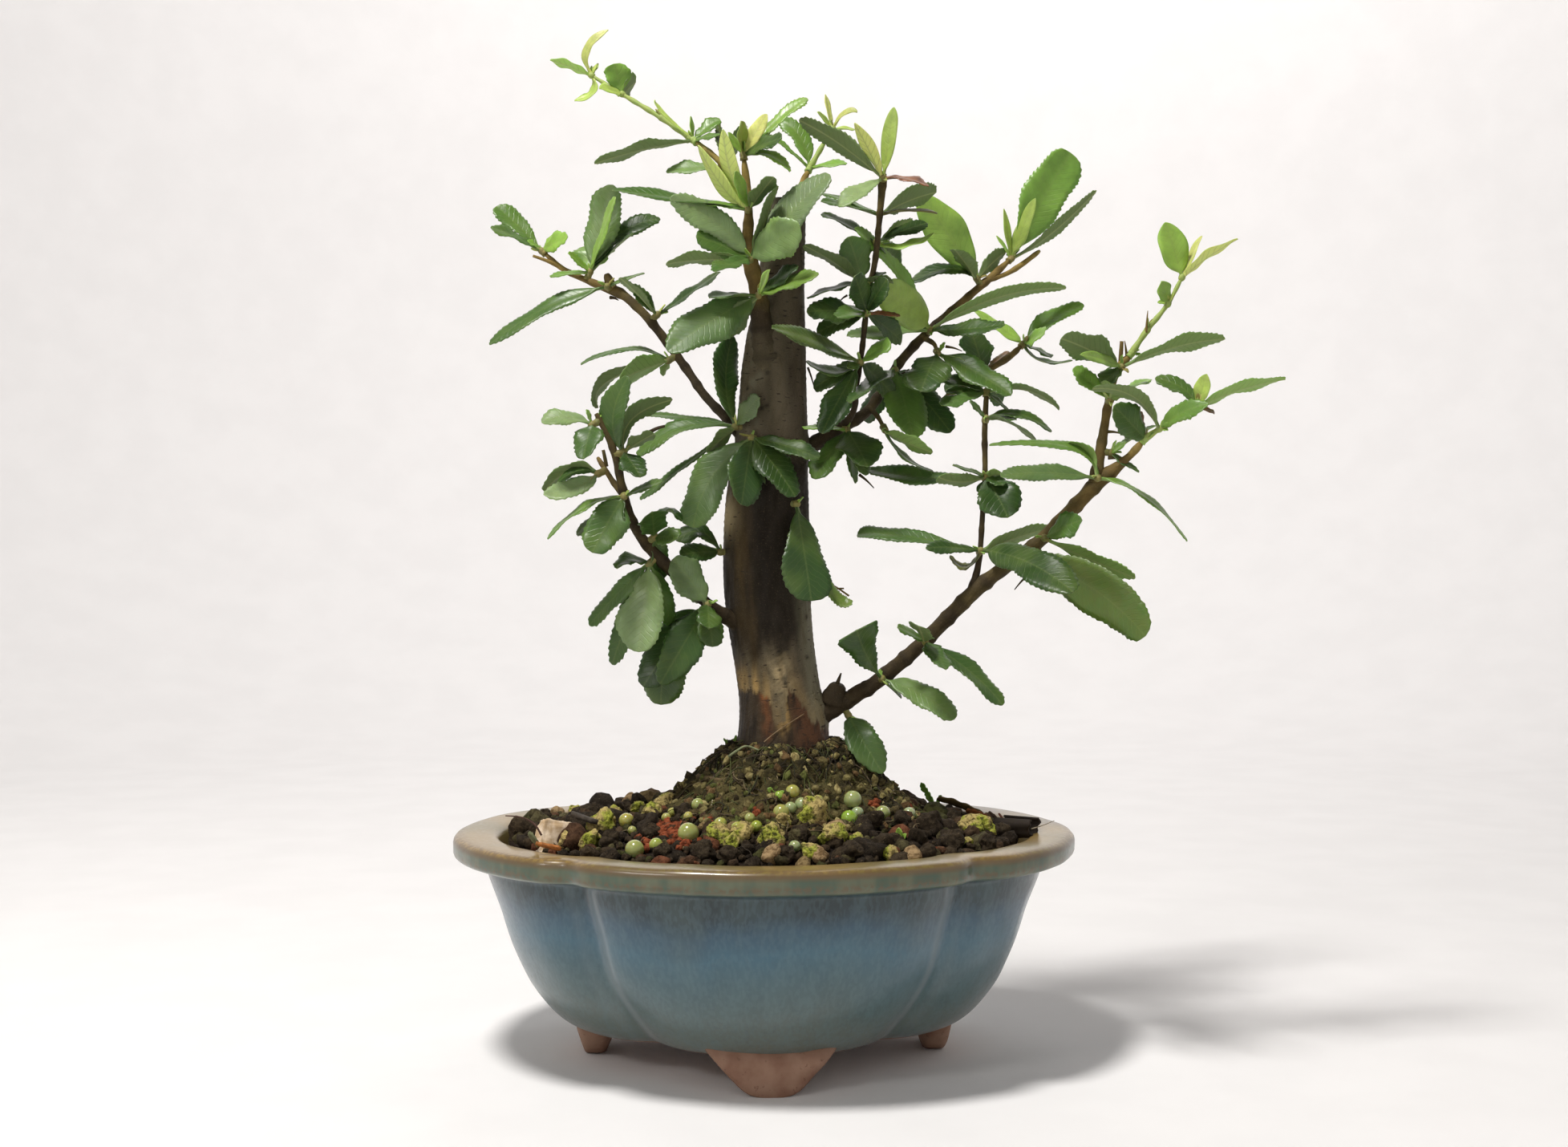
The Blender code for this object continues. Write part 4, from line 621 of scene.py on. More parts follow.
    "spray_left_node": ("leftUpper", left, [((-21.4, 168.4), [
        (-35.6, 162.6, -6, 6.6, 130, 0.5), (-44.8, 166.4, -3, 1, 75, 0.3, -33, 170.2),
        (-40.7, 155.6, 1, 2.5, 115, 0.2, -38.4, 162.4), (-25, 163.6, 1, 1.6, 120, 0.5)])]),
    "spray_trunk_left": ("trunk", (-0.86, 0, -0.52), [((1.6, 150.4), [
        (-1.5, 158.2, -4, 4, 40, 0.1), (-14.3, 145, -1, 2.7, 120, 0.3),
        (-30, 154.2, 4, 1.4, 65, 0.3),
        (-31, 144.2, -2, 3, 60, 0.3, -20, 151), (-7.6, 173.4, 5, 6.2, 40, 0, -9.4, 162),
        (-30.5, 133.6, 3, 1.5, 60, 0.2, -20.6, 141)])]),
    "spray_trunk_front": ("trunk", (-0.45, 0, -0.89), [((1.5, 147.6), [
        (-17.6, 126.6, -1, 8.5, 30, 0.3, -13, 138.8), (-5.4, 132.4, -6, 8.2, -35, 0),
        (7.6, 134.4, -4, 7, 30, 0), (13.2, 143.6, -5, 3.8, 50, 0)])]),
    "spray_trunk_right": ("trunk", (0.62, 0, -0.78), [((0.6, 132.6), [
        (11.4, 108.8, -5, 9.4, 28, 0), (21.2, 109, -1, 2.5, 50, 0.5, 15.6, 112.6)])]),
    "spray_trunk_low": ("trunk", (-0.95, 0, -0.31), [((0.3, 120.6), [
        (-21.8, 123.7, -1, 4.4, 50, 0, -15.5, 125.6), (-20.5, 120, -4, 4.6, 40, 0)])]),
    "spray_drop_tip": ("drop", left, [((-40, 152.6), [
        (-54.3, 152.4, -2, 3, 55, 0.5, -48, 153.6),
        (-44.2, 143.4, -5, 5.8, 30, 0.2, -43, 148.6)])]),
    "spray_drop_upper": ("drop", right, [((-36.2, 144.4), [
        (-22.5, 158, 3, 3.4, 130, 0.1, -32.6, 153), (-27, 149.8, -1, 2.6, 120, 0.1),
        (-33.3, 163.4, -3, 5.8, 40, 0.2, -37, 153), (-30.2, 139.2, -5, 4.8, 30, 0)])]),
    "spray_drop_twig": ("dropTwig", left, [((-38.6, 140.6), [
        (-54, 135.8, 3, 2.4, 115, 0.3, -46.6, 141.2), (-50.8, 137.6, 0, 1.8, 60, 0.1, -45, 140.6),
        (-53.8, 134.8, -4, 4.2, 45, 0.5, -46, 136.4)])]),
    "spray_drop_middle": ("drop", front, [((-34.2, 134.6), [
        (-42, 120.6, -4, 8.5, 8, 0.25), (-53, 123.9, -1, 1.2, 75, 0.4, -44, 131.8),
        (-46, 125, 2, 2.6, 60, 0), (-25, 138, -2, 1.6, 65, 0.2)])]),
    "spray_drop_round": ("drop", right, [((-29, 122.6), [
        (-27.2, 130, -5, 6.4, 20, 0.1), (-21.2, 124.2, -3, 4, 40, 0.2),
        (-19.8, 128.4, 4, 1.2, 75, 0.1, -24.4, 130.6)])]),
    "spray_drop_hanging": ("drop", below, [((-26.2, 119.8), [
        (-42.8, 102.8, 1, 4, 45, 0.3), (-37.3, 93.2, 3, 5.2, 35, 0.2),
        (-30.8, 96.4, -4, 9.4, 25, 0.4),
        (-23, 102.6, 2, 4, 40, 0.4, -24.4, 109.4),
        (-36.2, 116.8, -3, 2.4, 60, 0.1, -33, 119)])]),
    "spray_drop_base": ("drop", front, [((-14.6, 108.8), [
        (-22.2, 119, -2, 7.6, 35, 0.3), (-12.6, 97.6, -2, 5.6, 30, 0.1),
        (-25.4, 88.6, -5, 7.6, -12, 0.15, -18.4, 100.4),
        (-25.4, 83.4, 1, 10.4, 25, 0.1, -22.6, 97)])]),
}


def spansNear(table, across, up):
    # For each straight span of a stem: its run, the share of it that lies nearest to a reading, and that gap
    run = np.diff(table, axis=0)
    miss = np.array([across, up]) - table[:-1, :2]
    t = np.clip((miss * run[:, :2]).sum(1) / (run[:, :2] ** 2).sum(1), 0, 1)
    return run, t, np.linalg.norm(miss - run[:, :2] * t[:, None], axis=1)


def onBranch(name, across, up):
    # Nearest spot of a branch to a reading: its place, the branch's direction and its radius
    table = np.array(branches[name])
    run, t, gaps = spansNear(table, across, up)
    best = np.argmin(gaps)
    spots = place(table[:, :3])
    spot = spots[best] + (spots[best + 1] - spots[best]) * t[best]
    return spot, unit(spots[best + 1] - spots[best]), table[best, 3] + run[best, 3] * t[best]


# ---- wood

wood = {
    "trunkSides": 144, "trunkStep": 0.5,      # faces round the trunk, and length of one along it
    "branchSides": 12, "branchStep": 0.6, "spikeSides": 7,
    # Heights between which a shade of the trunk comes in: the dark middle, partly painted shade of the foliage, its
    # fading into the grey above, the lichen above it, the olive streaks and their end, the brown low down, and the
    # painted light on the right side
    "darkFrom": (93, 101), "darkTo": (139, 150), "lichenFrom": (140, 152), "oliveFrom": (88, 96), "oliveTo": (120, 150),
    "brownBelow": (97, 105), "paleSideBelow": (106, 118), "paleAt": 90.5, "cutFrom": (202, 206), "scarAt": 129.5,
    "rustFrom": (74, 79), "tanFrom": (75, 80), "soakedBelow": (70, 76),
    "hollows": 0.45, "ridges": 0.05,          # depth of the trunk's broad hollows and of its fine ridges
    "collar": 0.4, "collarReach": 1.5,        # swelling where a limb leaves the trunk, in limb radii
    "knotEvery": 6.5, "knotSwell": 0.16,      # leaf scars along a twig
    # Age of the bark along each stem, root end first: 1 grey, 0.6 dark brown, 0.35 orange, 0 green
    "age": {
        "leader": (1.0, 0.85, 0.45, 0.34, 0.34, 0.3, 0.2), "crownLeft": (0.3, 0.12), "centre": (0.5, 0.3, 0.2),
        "rightUpper": (0.8, 0.65, 0.62, 0.6, 0.55, 0.4, 0.3), "rightTwin": (0.35, 0.2), "inner": (0.65, 0.62, 0.5),
        "rear": (0.6, 0.5, 0.45), "rightDrop": (0.6, 0.45), "rightFork": (0.5, 0.4),
        "lowRight": (0.7, 0.64, 0.58, 0.5, 0.42),
        "burl": (0.72, 0.66), "lowTip": (0.5, 0.25), "twig": (0.64, 0.6, 0.5), "riser": (0.5, 0.42, 0.3),
        "leftUpper": (0.75, 0.65, 0.6, 0.44, 0.28), "leftKnob": (0.52, 0.45), "drop": (0.75, 0.66, 0.6, 0.5),
        "dropTwig": (0.55, 0.4),
    },
    # Height of the wet foot of the trunk against across
    "wetEdge": ((-10, 87.5), (-3, 87.0), (0.5, 86.0), (2.0, 79.0), (4.6, 80.0), (5.2, 88.5), (6.2, 87.5),
                (8.0, 84.5), (11.0, 80.0), (15.0, 78.0)),
    # Small dark pores: across, up, size
    "pores": ((10, 105, 0.55), (10, 95.5, 0.5), (12.3, 93, 0.5), (-1, 155, 0.5), (0.2, 155.6, 0.4), (7, 141, 0.7),
              (7.2, 138.8, 0.6), (5.8, 144.4, 0.5), (-4.2, 160, 0.35), (3.2, 92.5, 0.35), (4.6, 89.2, 0.35),
              (-3.6, 122, 0.4), (8.4, 119.6, 0.4), (2.2, 168, 0.4), (-2.4, 172, 0.35), (0.4, 163.5, 0.4),
              (-5.4, 96, 0.4), (6.4, 84, 0.4)),
}

# Colours of the bark: along a stem by its age from green to grey, and in patches on the trunk
ages = np.array([0.0, 0.25, 0.4, 0.5, 0.62, 0.8, 1.0])
ageShades = np.array([colour(*shade)[:3] for shade in (
    (128, 132, 66), (146, 124, 66), (112, 92, 50), (88, 76, 42), (60, 49, 31), (60, 51, 36), (88, 80, 60))])
barkShades = {name: np.array(colour(*shade)[:3]) for name, shade in {
    "grey": (102, 93, 73), "brown": (27, 20, 11), "dark": (18, 13, 8), "olive": (70, 56, 29), "tan": (168, 138, 84),
    "wet": (54, 43, 28), "soaked": (28, 21, 13), "rust": (142, 84, 42), "russet": (80, 52, 32), "pale": (188, 168, 126),
    "pink": (92, 78, 68), "lichenAndPaintedLight": (136, 132, 108)}.items()}


def byAge(age):
    # The bark's colour read between the two nearest ages
    return np.stack([np.interp(age, ages, channel) for channel in ageShades.T], -1)


def over(paint, shade, mask):
    # A shade laid over the paint where the mask is 1
    return paint + (barkShades[shade] - paint) * np.clip(mask, 0, 1)[..., None]


def hump(values, middle, half):
    # Bell curve exp(-((v - middle) / half)^2)
    return np.exp(-((values - middle) / half) ** 2)


def trunkPaint(rows, side, front, edge, pore):
    # Grey-brown above, dark brown in the middle, partly darker bark and partly painted shade of the foliage, with olive
    # streaks on the left, the right side painted lighter low down as painted light, tan over the wet foot, and inside
    # the wet foot two shades of brown with rusty patches
    z = rows[..., 2]
    tall = rows * np.array([1, 1, 0.16])

    def rises(band):
        return ease(*wood[band], z)

    loose, narrow, patchy = ripple(tall, 7.0, 210), ripple(tall, 2.2, 211), ripple(rows, 5.0, 212)
    streaky, speckled = ripple(tall, 1.2, 213), ripple(rows, 1.3, 214)
    base = np.broadcast_to(barkShades["grey"], (*z.shape, 3)).copy()
    base = over(base, "pink", 0.5 * ease(0.1, 0.9, side) * front)
    base = over(base, "brown", ease(-0.2, 1.0, loose) * 0.45)
    base = over(base, "lichenAndPaintedLight", hump(side, -0.6, 0.3) * front * rises("lichenFrom") * (0.3 + 0.5 * patchy))
    # The dark middle is partly painted shade of the foliage over the trunk
    shade = ease(*wood["darkFrom"], z + 3 * narrow + 2 * loose - 13 * ease(0.5, 0.9, side) * front)
    shade = shade * (1 - 0.74 * rises("darkTo"))
    base = over(base, "brown", 0.95 * shade)
    base = over(base, "dark", 0.6 * shade * (hump(side, -0.22, 0.2) * front + 0.5 * ease(0.2, 1.0, loose)))
    streaks = rises("oliveFrom") * (1 - rises("oliveTo")) * (0.5 + 0.45 * narrow)
    base = over(base, "olive", hump(side, -0.62, 0.26) * front * streaks)
    base = over(base, "brown", 0.42 * (1 - rises("brownBelow")) * (1 - 0.9 * hump(side, 0.12, 0.34) * front))
    # Painted light: the right side is laid paler low down, as if lit
    base = over(base, "lichenAndPaintedLight", 0.6 * ease(0.45, 0.85, side) * front * (1 - rises("paleSideBelow")))
    tan = hump(z - edge, 2.0, 3.4) * (0.55 + 0.5 * narrow) * np.where(side < -0.25, 1.0, 0.3)
    base = over(base, "tan", tan * front)
    patch = hump(side, 0.06, 0.26) * front * hump(z, wood["paleAt"], 5.0)
    base = over(base, "pale", patch * (0.5 + 0.4 * patchy + 0.35 * speckled))
    base = over(base, "dark", 0.5 * rises("cutFrom"))
    foot = np.broadcast_to(barkShades["wet"], (*z.shape, 3)).copy()
    foot = over(foot, "russet", ease(-0.1, 0.5, side + 0.25 * loose))
    rust = rises("rustFrom") * (0.6 + 0.5 * patchy + 0.5 * streaky)
    foot = over(foot, "rust", hump(side, -0.38, 0.1) * front * rust)
    tan = rises("tanFrom") * (0.8 + 0.6 * narrow + 0.3 * speckled)
    foot = over(foot, "tan", hump(side, 0.0, 0.13) * front * tan)
    foot = over(foot, "soaked", ease(0.0, 1.0, streaky + 0.5 * narrow) * 0.85)
    foot = over(foot, "soaked", 0.6 * (1 - rises("soakedBelow")))
    wet = 1 - ease(edge - 0.4, edge + 0.5, z)
    base = base + (foot - base) * wet[..., None]
    scar = hump(side, -0.93, 0.2) * front * hump(z, wood["scarAt"], 5.0)
    return over(over(base, "pale", 0.85 * scar), "soaked", 0.9 * pore), wet


def stem(name):
    # Smooth line of a stem with its radius as the last column
    table = np.array(branches[name])
    return smoothPath(np.column_stack([place(table[:, :3]), table[:, 3]]),
                      wood["trunkStep"] if name == "trunk" else wood["branchStep"])


def grainOf(radii, along, sides):
    # The place on a stem as if it were straight, so that streaks follow its grain: (r cos a, r sin a, length)
    angles = np.linspace(0, 2 * math.pi, sides, endpoint=False)
    return np.stack([np.cos(angles) * radii[:, None], np.sin(angles) * radii[:, None],
                     np.repeat(along[:, None], sides, 1)], -1).reshape(-1, 3)


def makeTrunk():
    # Tube along the trunk, pushed outwards by broad hollows, ridges that run with the grain
    # and a bell-shaped collar round the foot of each limb
    line = stem("trunk")
    path, radii = line[:, :3], line[:, 3]
    _, rows = tube(path, radii, wood["trunkSides"])
    outward = unit(rows - path[:, None])
    flat = rows * np.array([1.0, 1.0, 0.35])
    push = wood["hollows"] * ripple(flat, 13.0, 3) + wood["ridges"] * ripple(rows * np.array([1, 1, 0.13]), 2.6, 4)
    push += 0.10 * ripple(rows * np.array([1, 1, 1.6]), 1.7, 5)
    push += 1.1 * (1 - ease(64, 80, rows[..., 2])) * ripple(rows * np.array([1, 1, 0.2]), 9.0, 6)
    for name in ("leader", "centre", "rightUpper", "lowRight", "leftUpper", "drop"):
        limb = stem(name)
        gaps = np.linalg.norm(limb[:, None, :3] - path, axis=2) - radii
        leaves = limb[np.argmax(gaps.min(1) > -0.3)]
        away = np.linalg.norm(rows - leaves[:3], axis=2)
        push += wood["collar"] * leaves[3] * hump(away, 0, wood["collarReach"] * leaves[3])
    pore = np.zeros(rows.shape[:2])
    for across, up, size in wood["pores"]:
        spot = place((across, up, 0.0))
        level = np.argmin(np.abs(path[:, 2] - spot[2]))
        sideways = spot[0] - path[level, 0]
        spot[1] = path[level, 1] - math.sqrt(max(radii[level] ** 2 - sideways ** 2, 0.5))
        away = np.linalg.norm((rows - spot) * np.array([0.7, 0.7, 1.0]), axis=2)
        pore = np.maximum(pore, hump(away, 0, size))
    push += 0.22 * pore
    push *= ease(0.0, 0.02, np.linspace(1, 0, len(path)))[:, None] * 0.999 + 0.001
    rows = rows + outward * push[..., None]
    across = rows[..., 0] - potCentre[0]
    edge = np.interp(across, *np.array(wood["wetEdge"]).T) + 0.8 * ripple(rows * np.array([1, 1, 0.3]), 3.0, 8)
    edge += 0.8 * ripple(rows * np.array([1, 1, 0.3]), 1.1, 7)
    edge = np.where(rows[..., 1] > potCentre[1], 83 + 3 * ripple(rows * np.array([1, 1, 0.05]), 8.0, 9), edge)
    side = (rows[..., 0] - path[:, None, 0]) / radii[:, None]
    front = ease(0.15, -0.25, (rows[..., 1] - path[:, None, 1]) / radii[:, None])
    paint, wet = trunkPaint(rows, side, front, edge, pore)
    bark = np.stack([np.ones_like(wet), wet, pore], -1)
    return closedRings(rows, path[0], path[-1], grain=grainOf(radii, path[:, 2], wood["trunkSides"]),
                       bark=bark.reshape(-1, 3), paint=paint.reshape(-1, 3))


def makeStem(name, seed):
    # Tube along a limb with a flared foot, a swelling at each leaf scar and slight unevenness
    line = stem(name)
    path, radii = line[:, :3], line[:, 3]
    length = np.arange(len(path)) * wood["branchStep"]
    draw = np.random.default_rng(seed)
    scars = np.arange(3.0, length[-1], wood["knotEvery"])
    scars = scars + draw.uniform(-1.6, 1.6, len(scars))
    swell = hump(length[:, None], scars, 0.9).sum(1) * wood["knotSwell"]
    foot = 0.3 * np.exp(-length / (2.2 * radii[0]))
    _, rows = tube(path, radii, wood["branchSides"])
    bulge = (swell + foot)[:, None] + 0.05 * ripple(rows, 2.4, seed + 50)
    age = np.interp(np.linspace(0, 1, len(path)), np.linspace(0, 1, len(wood["age"][name])), wood["age"][name])
    grain = grainOf(radii, length, wood["branchSides"])
    age = age[:, None] + 0.06 * ripple(rows, 4.0, seed + 60)
    paint = byAge(age) * (1 + 0.16 * ripple(rows, 2.0, seed + 61))[..., None]
    paint = paint * (1 - 0.3 * np.minimum(swell, 0.2) / 0.2)[:, None, None]
    bark = np.stack([age, np.zeros_like(age), np.zeros_like(age)], -1)
    part, _ = tube(path, radii * (1 - 0.25 * ease(0.97, 1.0, np.linspace(0, 1, len(path)))), wood["branchSides"],
                   bulge, grain=grain, bark=bark.reshape(-1, 3), paint=paint.reshape(-1, 3))
    return part


# Thorns, dead stubs and dry stalks: readings of both ends, radius at the foot and at the tip, bark age
spikes = (
    (18.5, 156.5, 14.3, 158.3, 0.5, 0.1, 0.5), (23.0, 139.5, 26.6, 136.2, 0.4, 0.12, 0.6),
    (83.0, 149.9, 87.0, 149.4, 0.45, 0.12, 0.5), (83.5, 143.6, 89.0, 143.1, 0.5, 0.12, 0.55),
    (92.7, 174.0, 93.1, 179.3, 0.35, 0.1, 0.35), (-37.5, 182.5, -35.5, 181.8, 0.5, 0.1, 0.6),
    (44.0, 170.6, 48.0, 169.5, 0.4, 0.1, 0.5), (86.5, 167.0, 86.8, 171.9, 0.55, 0.45, 0.4),
    (88.0, 168.5, 87.5, 172.0, 0.35, 0.1, 0.4), (-38.5, 141.5, -39.3, 145.5, 0.5, 0.4, 0.5),
    (-49.5, 189.8, -56.3, 192.6, 0.6, 0.35, 0.3), (31.0, 162.0, 35.0, 164.7, 0.5, 0.3, 0.6),
    (10.5, 165.5, 12.0, 161.0, 0.3, 0.15, 0.6), (20.0, 183.0, 18.0, 181.3, 0.3, 0.1, 0.6),
    (64.0, 115.0, 60.8, 111.5, 0.35, 0.12, 0.6), (-28.0, 149.8, -24.3, 151.3, 0.5, 0.3, 0.62),
    (21.0, 86.2, 24.4, 88.6, 1.2, 0.6, 0.66), (16.9, 86.0, 18.6, 91.2, 0.9, 0.2, 0.66),
    (12.0, 111.0, 19.3, 111.8, 0.5, 0.2, 0.45), (20.5, 110.0, 15.0, 113.4, 0.25, 0.2, 0.4),
)


def nearestDepth(across, up):
    # Away reading of whichever stem passes closest to a reading
    best = (1e9, 0.0)
    for table in map(np.array, branches.values()):
        run, t, gaps = spansNear(table, across, up)
        gaps = gaps - table[:-1, 3]
        k = np.argmin(gaps)
        if gaps[k] < best[0]:
            best = (gaps[k], table[k, 2] + run[k, 2] * t[k])
    return best[1]


def makeSpike(spike):
    # Slender cone from its foot inside the wood to its tip
    x0, u0, x1, u1, thick, thin, age = spike
    away = nearestDepth(x0, u0)
    ends = np.array([(x0, u0, away), ((x0 + x1) / 2, (u0 + u1) / 2 + 0.2, away - 0.6), (x1, u1, away - 0.8)])
    line = smoothPath(np.column_stack([place(ends), (thick, (thick + thin) / 2, thin)]), 0.5)
    part, _ = tube(line[:, :3], line[:, 3], wood["spikeSides"], bark=(age, 0.0, 0.0), paint=byAge(age))
    part["grain"] = part["verts"].copy()
    return part


def barkFinish():
    # The painted bark with fine streaks along the grain, short cross marks and grit
    material, tree, shader = newMaterial("barkFinish", 0.7, Specular_IOR_Level=0.22)
    _, age, wet, pore = attributeParts(tree, "bark")
    paint = attributeParts(tree, "paint")[0]
    grain = attributeParts(tree, "grain")[0]
    streaks = noise(tree, stretched(tree, grain, (0.5, 0.5, 0.16)), 1.0, 3.0, 0.5)
    marks = noise(tree, stretched(tree, grain, (0.5, 0.5, 1.9)), 1.0, 1.0, 0.4)
    grit = noise(tree, grain, 3.2, 4.0, 0.65)
    darker = mixed(tree, 1.0, paint, (0.5, 0.46, 0.42, 1.0), "MULTIPLY")
    base = mixed(tree, spread(tree, streaks, 0.48, 0.70, 0.0, 0.35), paint, darker)
    marked = times(tree, spread(tree, age, 0.85, 0.98), spread(tree, marks, 0.67, 0.71, 0.0, 0.85))
    base = mixed(tree, marked, base, colour(40, 32, 24))
    base = coated(tree, base, (grit, 0.56, 0.72, 0.16, (150, 134, 104)))
    base = mixed(tree, spread(tree, grit, 0.30, 0.44, 0.5, 0.0), base, darker)
    rough = minus(tree, spread(tree, streaks, 0.3, 0.7, 0.6, 0.85), times(tree, wet, 0.15))
    finish(tree, shader, base, rough)
    relief = plus(tree, times(tree, streaks, 0.2), times(tree, grit, 0.6))
    relief = minus(tree, relief, times(tree, pore, 0.6))
    setBump(tree, shader, relief, 0.6, 0.0005)
    return material


bark = barkFinish()
woodParts = [makeTrunk()] + [makeStem(name, 20 + k) for k, name in enumerate(list(branches)[1:])]
woodParts += [makeSpike(spike) for spike in spikes]
makePiece("treeWood", woodParts, bark, ["trunk_and_branches"])
print("wood done")


# ---- leaves

leafForm = {
    "petiole": 0.09, "petioleHalf": 0.36,     # stalk as a share of the leaf, and half its thickness
    "taper": (0.54, 0.78), "round": (0.40, 0.56),  # width along the blade: s^taper (1-s)^round
    "tooth": 1.5, "toothDepth": 0.55,         # margin teeth
    "thickness": 0.24, "rib": 0.3, "groove": 0.1,
    "fold": (0.10, 0.26), "wave": 0.12, "twist": 16.0,
    "stationEvery": 0.42, "broadest": 5.5, "fuller": 1.12,
}
# Leaves of a shape of their own, by the reading of their tips: taper and round
leafShapes = {
    (22.6, 101.4): (1.1, 0.1), (38.0, 206.6): (0.5, 0.46), (28.5, 184.6): (0.46, 0.44), (74.4, 217.6): (0.72, 0.4),
    (20.5, 197.2): (0.5, 0.5), (92.6, 100.2): (0.9, 0.36), (11.4, 108.8): (0.8, 0.36), (-41.0, 195.4): (0.9, 0.36),
    (-23.5, 169.6): (0.5, 0.5), (8.5, 199.5): (0.5, 0.42), (59.2, 129.4): (0.4, 0.4),
}
# Small leaves that the CAD part leaves out: spray, knot, then leaves as in the table of sprays
extraLeaves = (
    ("spray_drop_base", 0, [(-21.5, 113.8, 4, 4.0, 120, 0.2), (-13.5, 102.2, -5, 5.0, 20, 0.1),
                            (-29.8, 88.0, -3, 7.5, 30, 0.0, -22.0, 99.0)]),
    ("shoot_crown_left", 0, [(-17.8, 226.5, 0, 0.9, 60, 0.8), (-26.4, 230.2, 0, 0.8, 60, 0.9, -24.6, 227.4)]),
    ("shoot_crown_left", 3, [(-40.5, 239.3, 1, 1.0, 60, 0.9)]),
    ("spray_inner_low", 0, [(31.3, 186.7, -2, 1.5, 110, 0.1), (29.5, 188.7, -1, 1.0, 70, 0.0)]),
    ("spray_inner_base", 0, [(20.3, 165.5, -2, 2.0, 40, 0.1)]),
    ("spray_right_node", 0, [(47.0, 174.2, -2, 1.5, 70, 0.3)]),
    ("spray_twig_upper", 0, [(61.3, 153.2, -1, 1.2, 70, 0.3)]),
    ("spray_twig_low", 0, [(75.0, 111.3, -17, 7.6, 30, 0.0, 63.5, 118.5)]),
    ("spray_inner_lower", 0, [(12.5, 174.0, 4, 4.4, 35, 0.0), (33.5, 171.8, 5, 4.6, 40, 0.0)]),
    ("spray_inner_base", 0, [(11.8, 160.5, 3, 4.8, 35, 0.0), (32.0, 158.0, 6, 5.2, 40, 0.0)]),
    ("spray_right_shade", 0, [(24.0, 152.5, 4, 5.6, 35, 0.0), (39.0, 157.5, 6, 5.4, 35, 0.1)]),
    ("spray_inner_middle", 0, [(20.0, 190.0, 4, 4.2, 40, 0.1), (33.5, 190.5, 9, 3.8, 40, 0.1)]),
    ("spray_rear_middle", 0, [(43.6, 160.0, 2, 4.4, 40, 0.0), (57.5, 156.4, 3, 4.0, 40, 0.1)]),
    ("spray_leader_middle", 0, [(-10.8, 196.5, 5, 4.6, 40, 0.1), (4.6, 204.0, 6, 4.4, 40, 0.1)]),
    ("spray_trunk_front", 0, [(3.2, 137.0, 1, 5.6, 35, 0.0), (-11.0, 139.6, 1, 5.0, 40, 0.1)]),
    ("spray_drop_round", 0, [(-24.6, 113.8, 3, 4.6, 40, 0.1)]),
    ("spray_low_inner", 0, [(33.5, 85.2, -1, 0.6, 85, 0.1)]),
    ("shoot_riser_tip", 2, [(95.5, 181.5, 0, 0.7, 60, 0.8)]),
    ("shoot_low_tip", 0, [(91.5, 154.9, -1, 0.8, 60, 0.3)]),
    ("shoot_low_tip", 3, [(109.5, 154.7, 1, 1.0, 60, 0.4)]),
    ("spray_left_tip", 0, [(-57.5, 196.5, -1, 0.9, 60, 0.6), (-50.4, 199.0, 1, 1.0, 70, 0.7)]),
    ("spray_left_fan", 0, [(-36.5, 207.0, -4, 1.5, 70, 0.7, -40.0, 197.0), (-32.0, 198.3, 0, 0.8, 80, 0.2)]),
    ("spray_drop_middle", 0, [(-36.7, 124.0, -2, 2.5, 40, 0.0)]),
    ("spray_drop_tip", 0, [(-37.5, 157.2, 0, 0.8, 60, 0.7), (-43.2, 155.4, 0, 0.8, 60, 0.7)]),
    ("spray_right_tip", 0, [(63.0, 199.5, -1, 1.0, 60, 0.9), (56.4, 197.6, 1, 0.8, 60, 0.8)]),
    ("spray_riser_low", 0, [(91.2, 140.3, -2, 1.2, 60, 0.2, 87.0, 143.0)]),
)
# Dry or brown leaves, by the reading of their tips, from 0 to 1
dryLeaves = {
    (40.0, 209.9): 1.0, (33.0, 178.2): 1.0, (59.2, 169.6): 0.8, (13.0, 188.3): 0.08, (45.3, 120.0): 0.3,
    (42.0, 203.2): 0.4, (2.0, 175.4): 0.06, (91.5, 154.9): 0.9, (109.5, 154.7): 0.9, (21.2, 109.0): 0.15,
    (-11.3, 225.3): 0.1, (-5.5, 225.3): 0.35, (92.6, 100.2): 0.12,
}
# Leaves with a painted pale grey sheen, a painted reflection of the bright surroundings, by the reading of their tips,
# from 0 to 1
sheenPaintedLeaves = {
    (15.7, 212.5): 0.6, (-23.5, 169.6): 0.25, (-23.0, 206.5): 0.6, (8.5, 199.5): 0.5, (-37.0, 210.0): 0.4,
    (-35.6, 162.6): 0.8, (-30.8, 96.4): 0.6, (-42.0, 120.6): 0.15, (-53.8, 134.8): 0.9, (-22.2, 119.0): 0.5,
    (-54.3, 152.4): 0.7, (-24.0, 191.0): 0.5, (73.3, 185.2): 0.7, (5.5, 173.4): 0.6, (53.0, 161.4): 0.7,
    (46.4, 80.2): 0.4, (8.5, 225.7): 0.7, (-24.0, 213.3): 0.4, (18.0, 204.8): 1.0, (-17.6, 126.6): 0.3,
    (20.0, 173.6): 0.5, (57.4, 139.3): 0.3, (-41.0, 195.4): 0.5, (28.8, 66.8): 0.2, (-1.5, 158.2): 0.5,
}


def bladeFaces(rows, columns):
    # Top and underside grids, and a strip round their common edge
    top = np.arange(rows * columns).reshape(rows, columns)
    low = top + rows * columns
    faces = [gridQuads(rows, columns), gridQuads(rows, columns)[:, ::-1] + rows * columns]
    faces.append(np.stack([top[:-1, 0], top[1:, 0], low[1:, 0], low[:-1, 0]], -1))
    faces.append(np.stack([top[:-1, -1], low[:-1, -1], low[1:, -1], top[1:, -1]], -1))
    faces.append(np.stack([top[0, :-1], low[0, :-1], low[0, 1:], top[0, 1:]], -1))
    faces.append(np.stack([top[-1, :-1], top[-1, 1:], low[-1, 1:], low[-1, :-1]], -1))
    return np.vstack(faces)


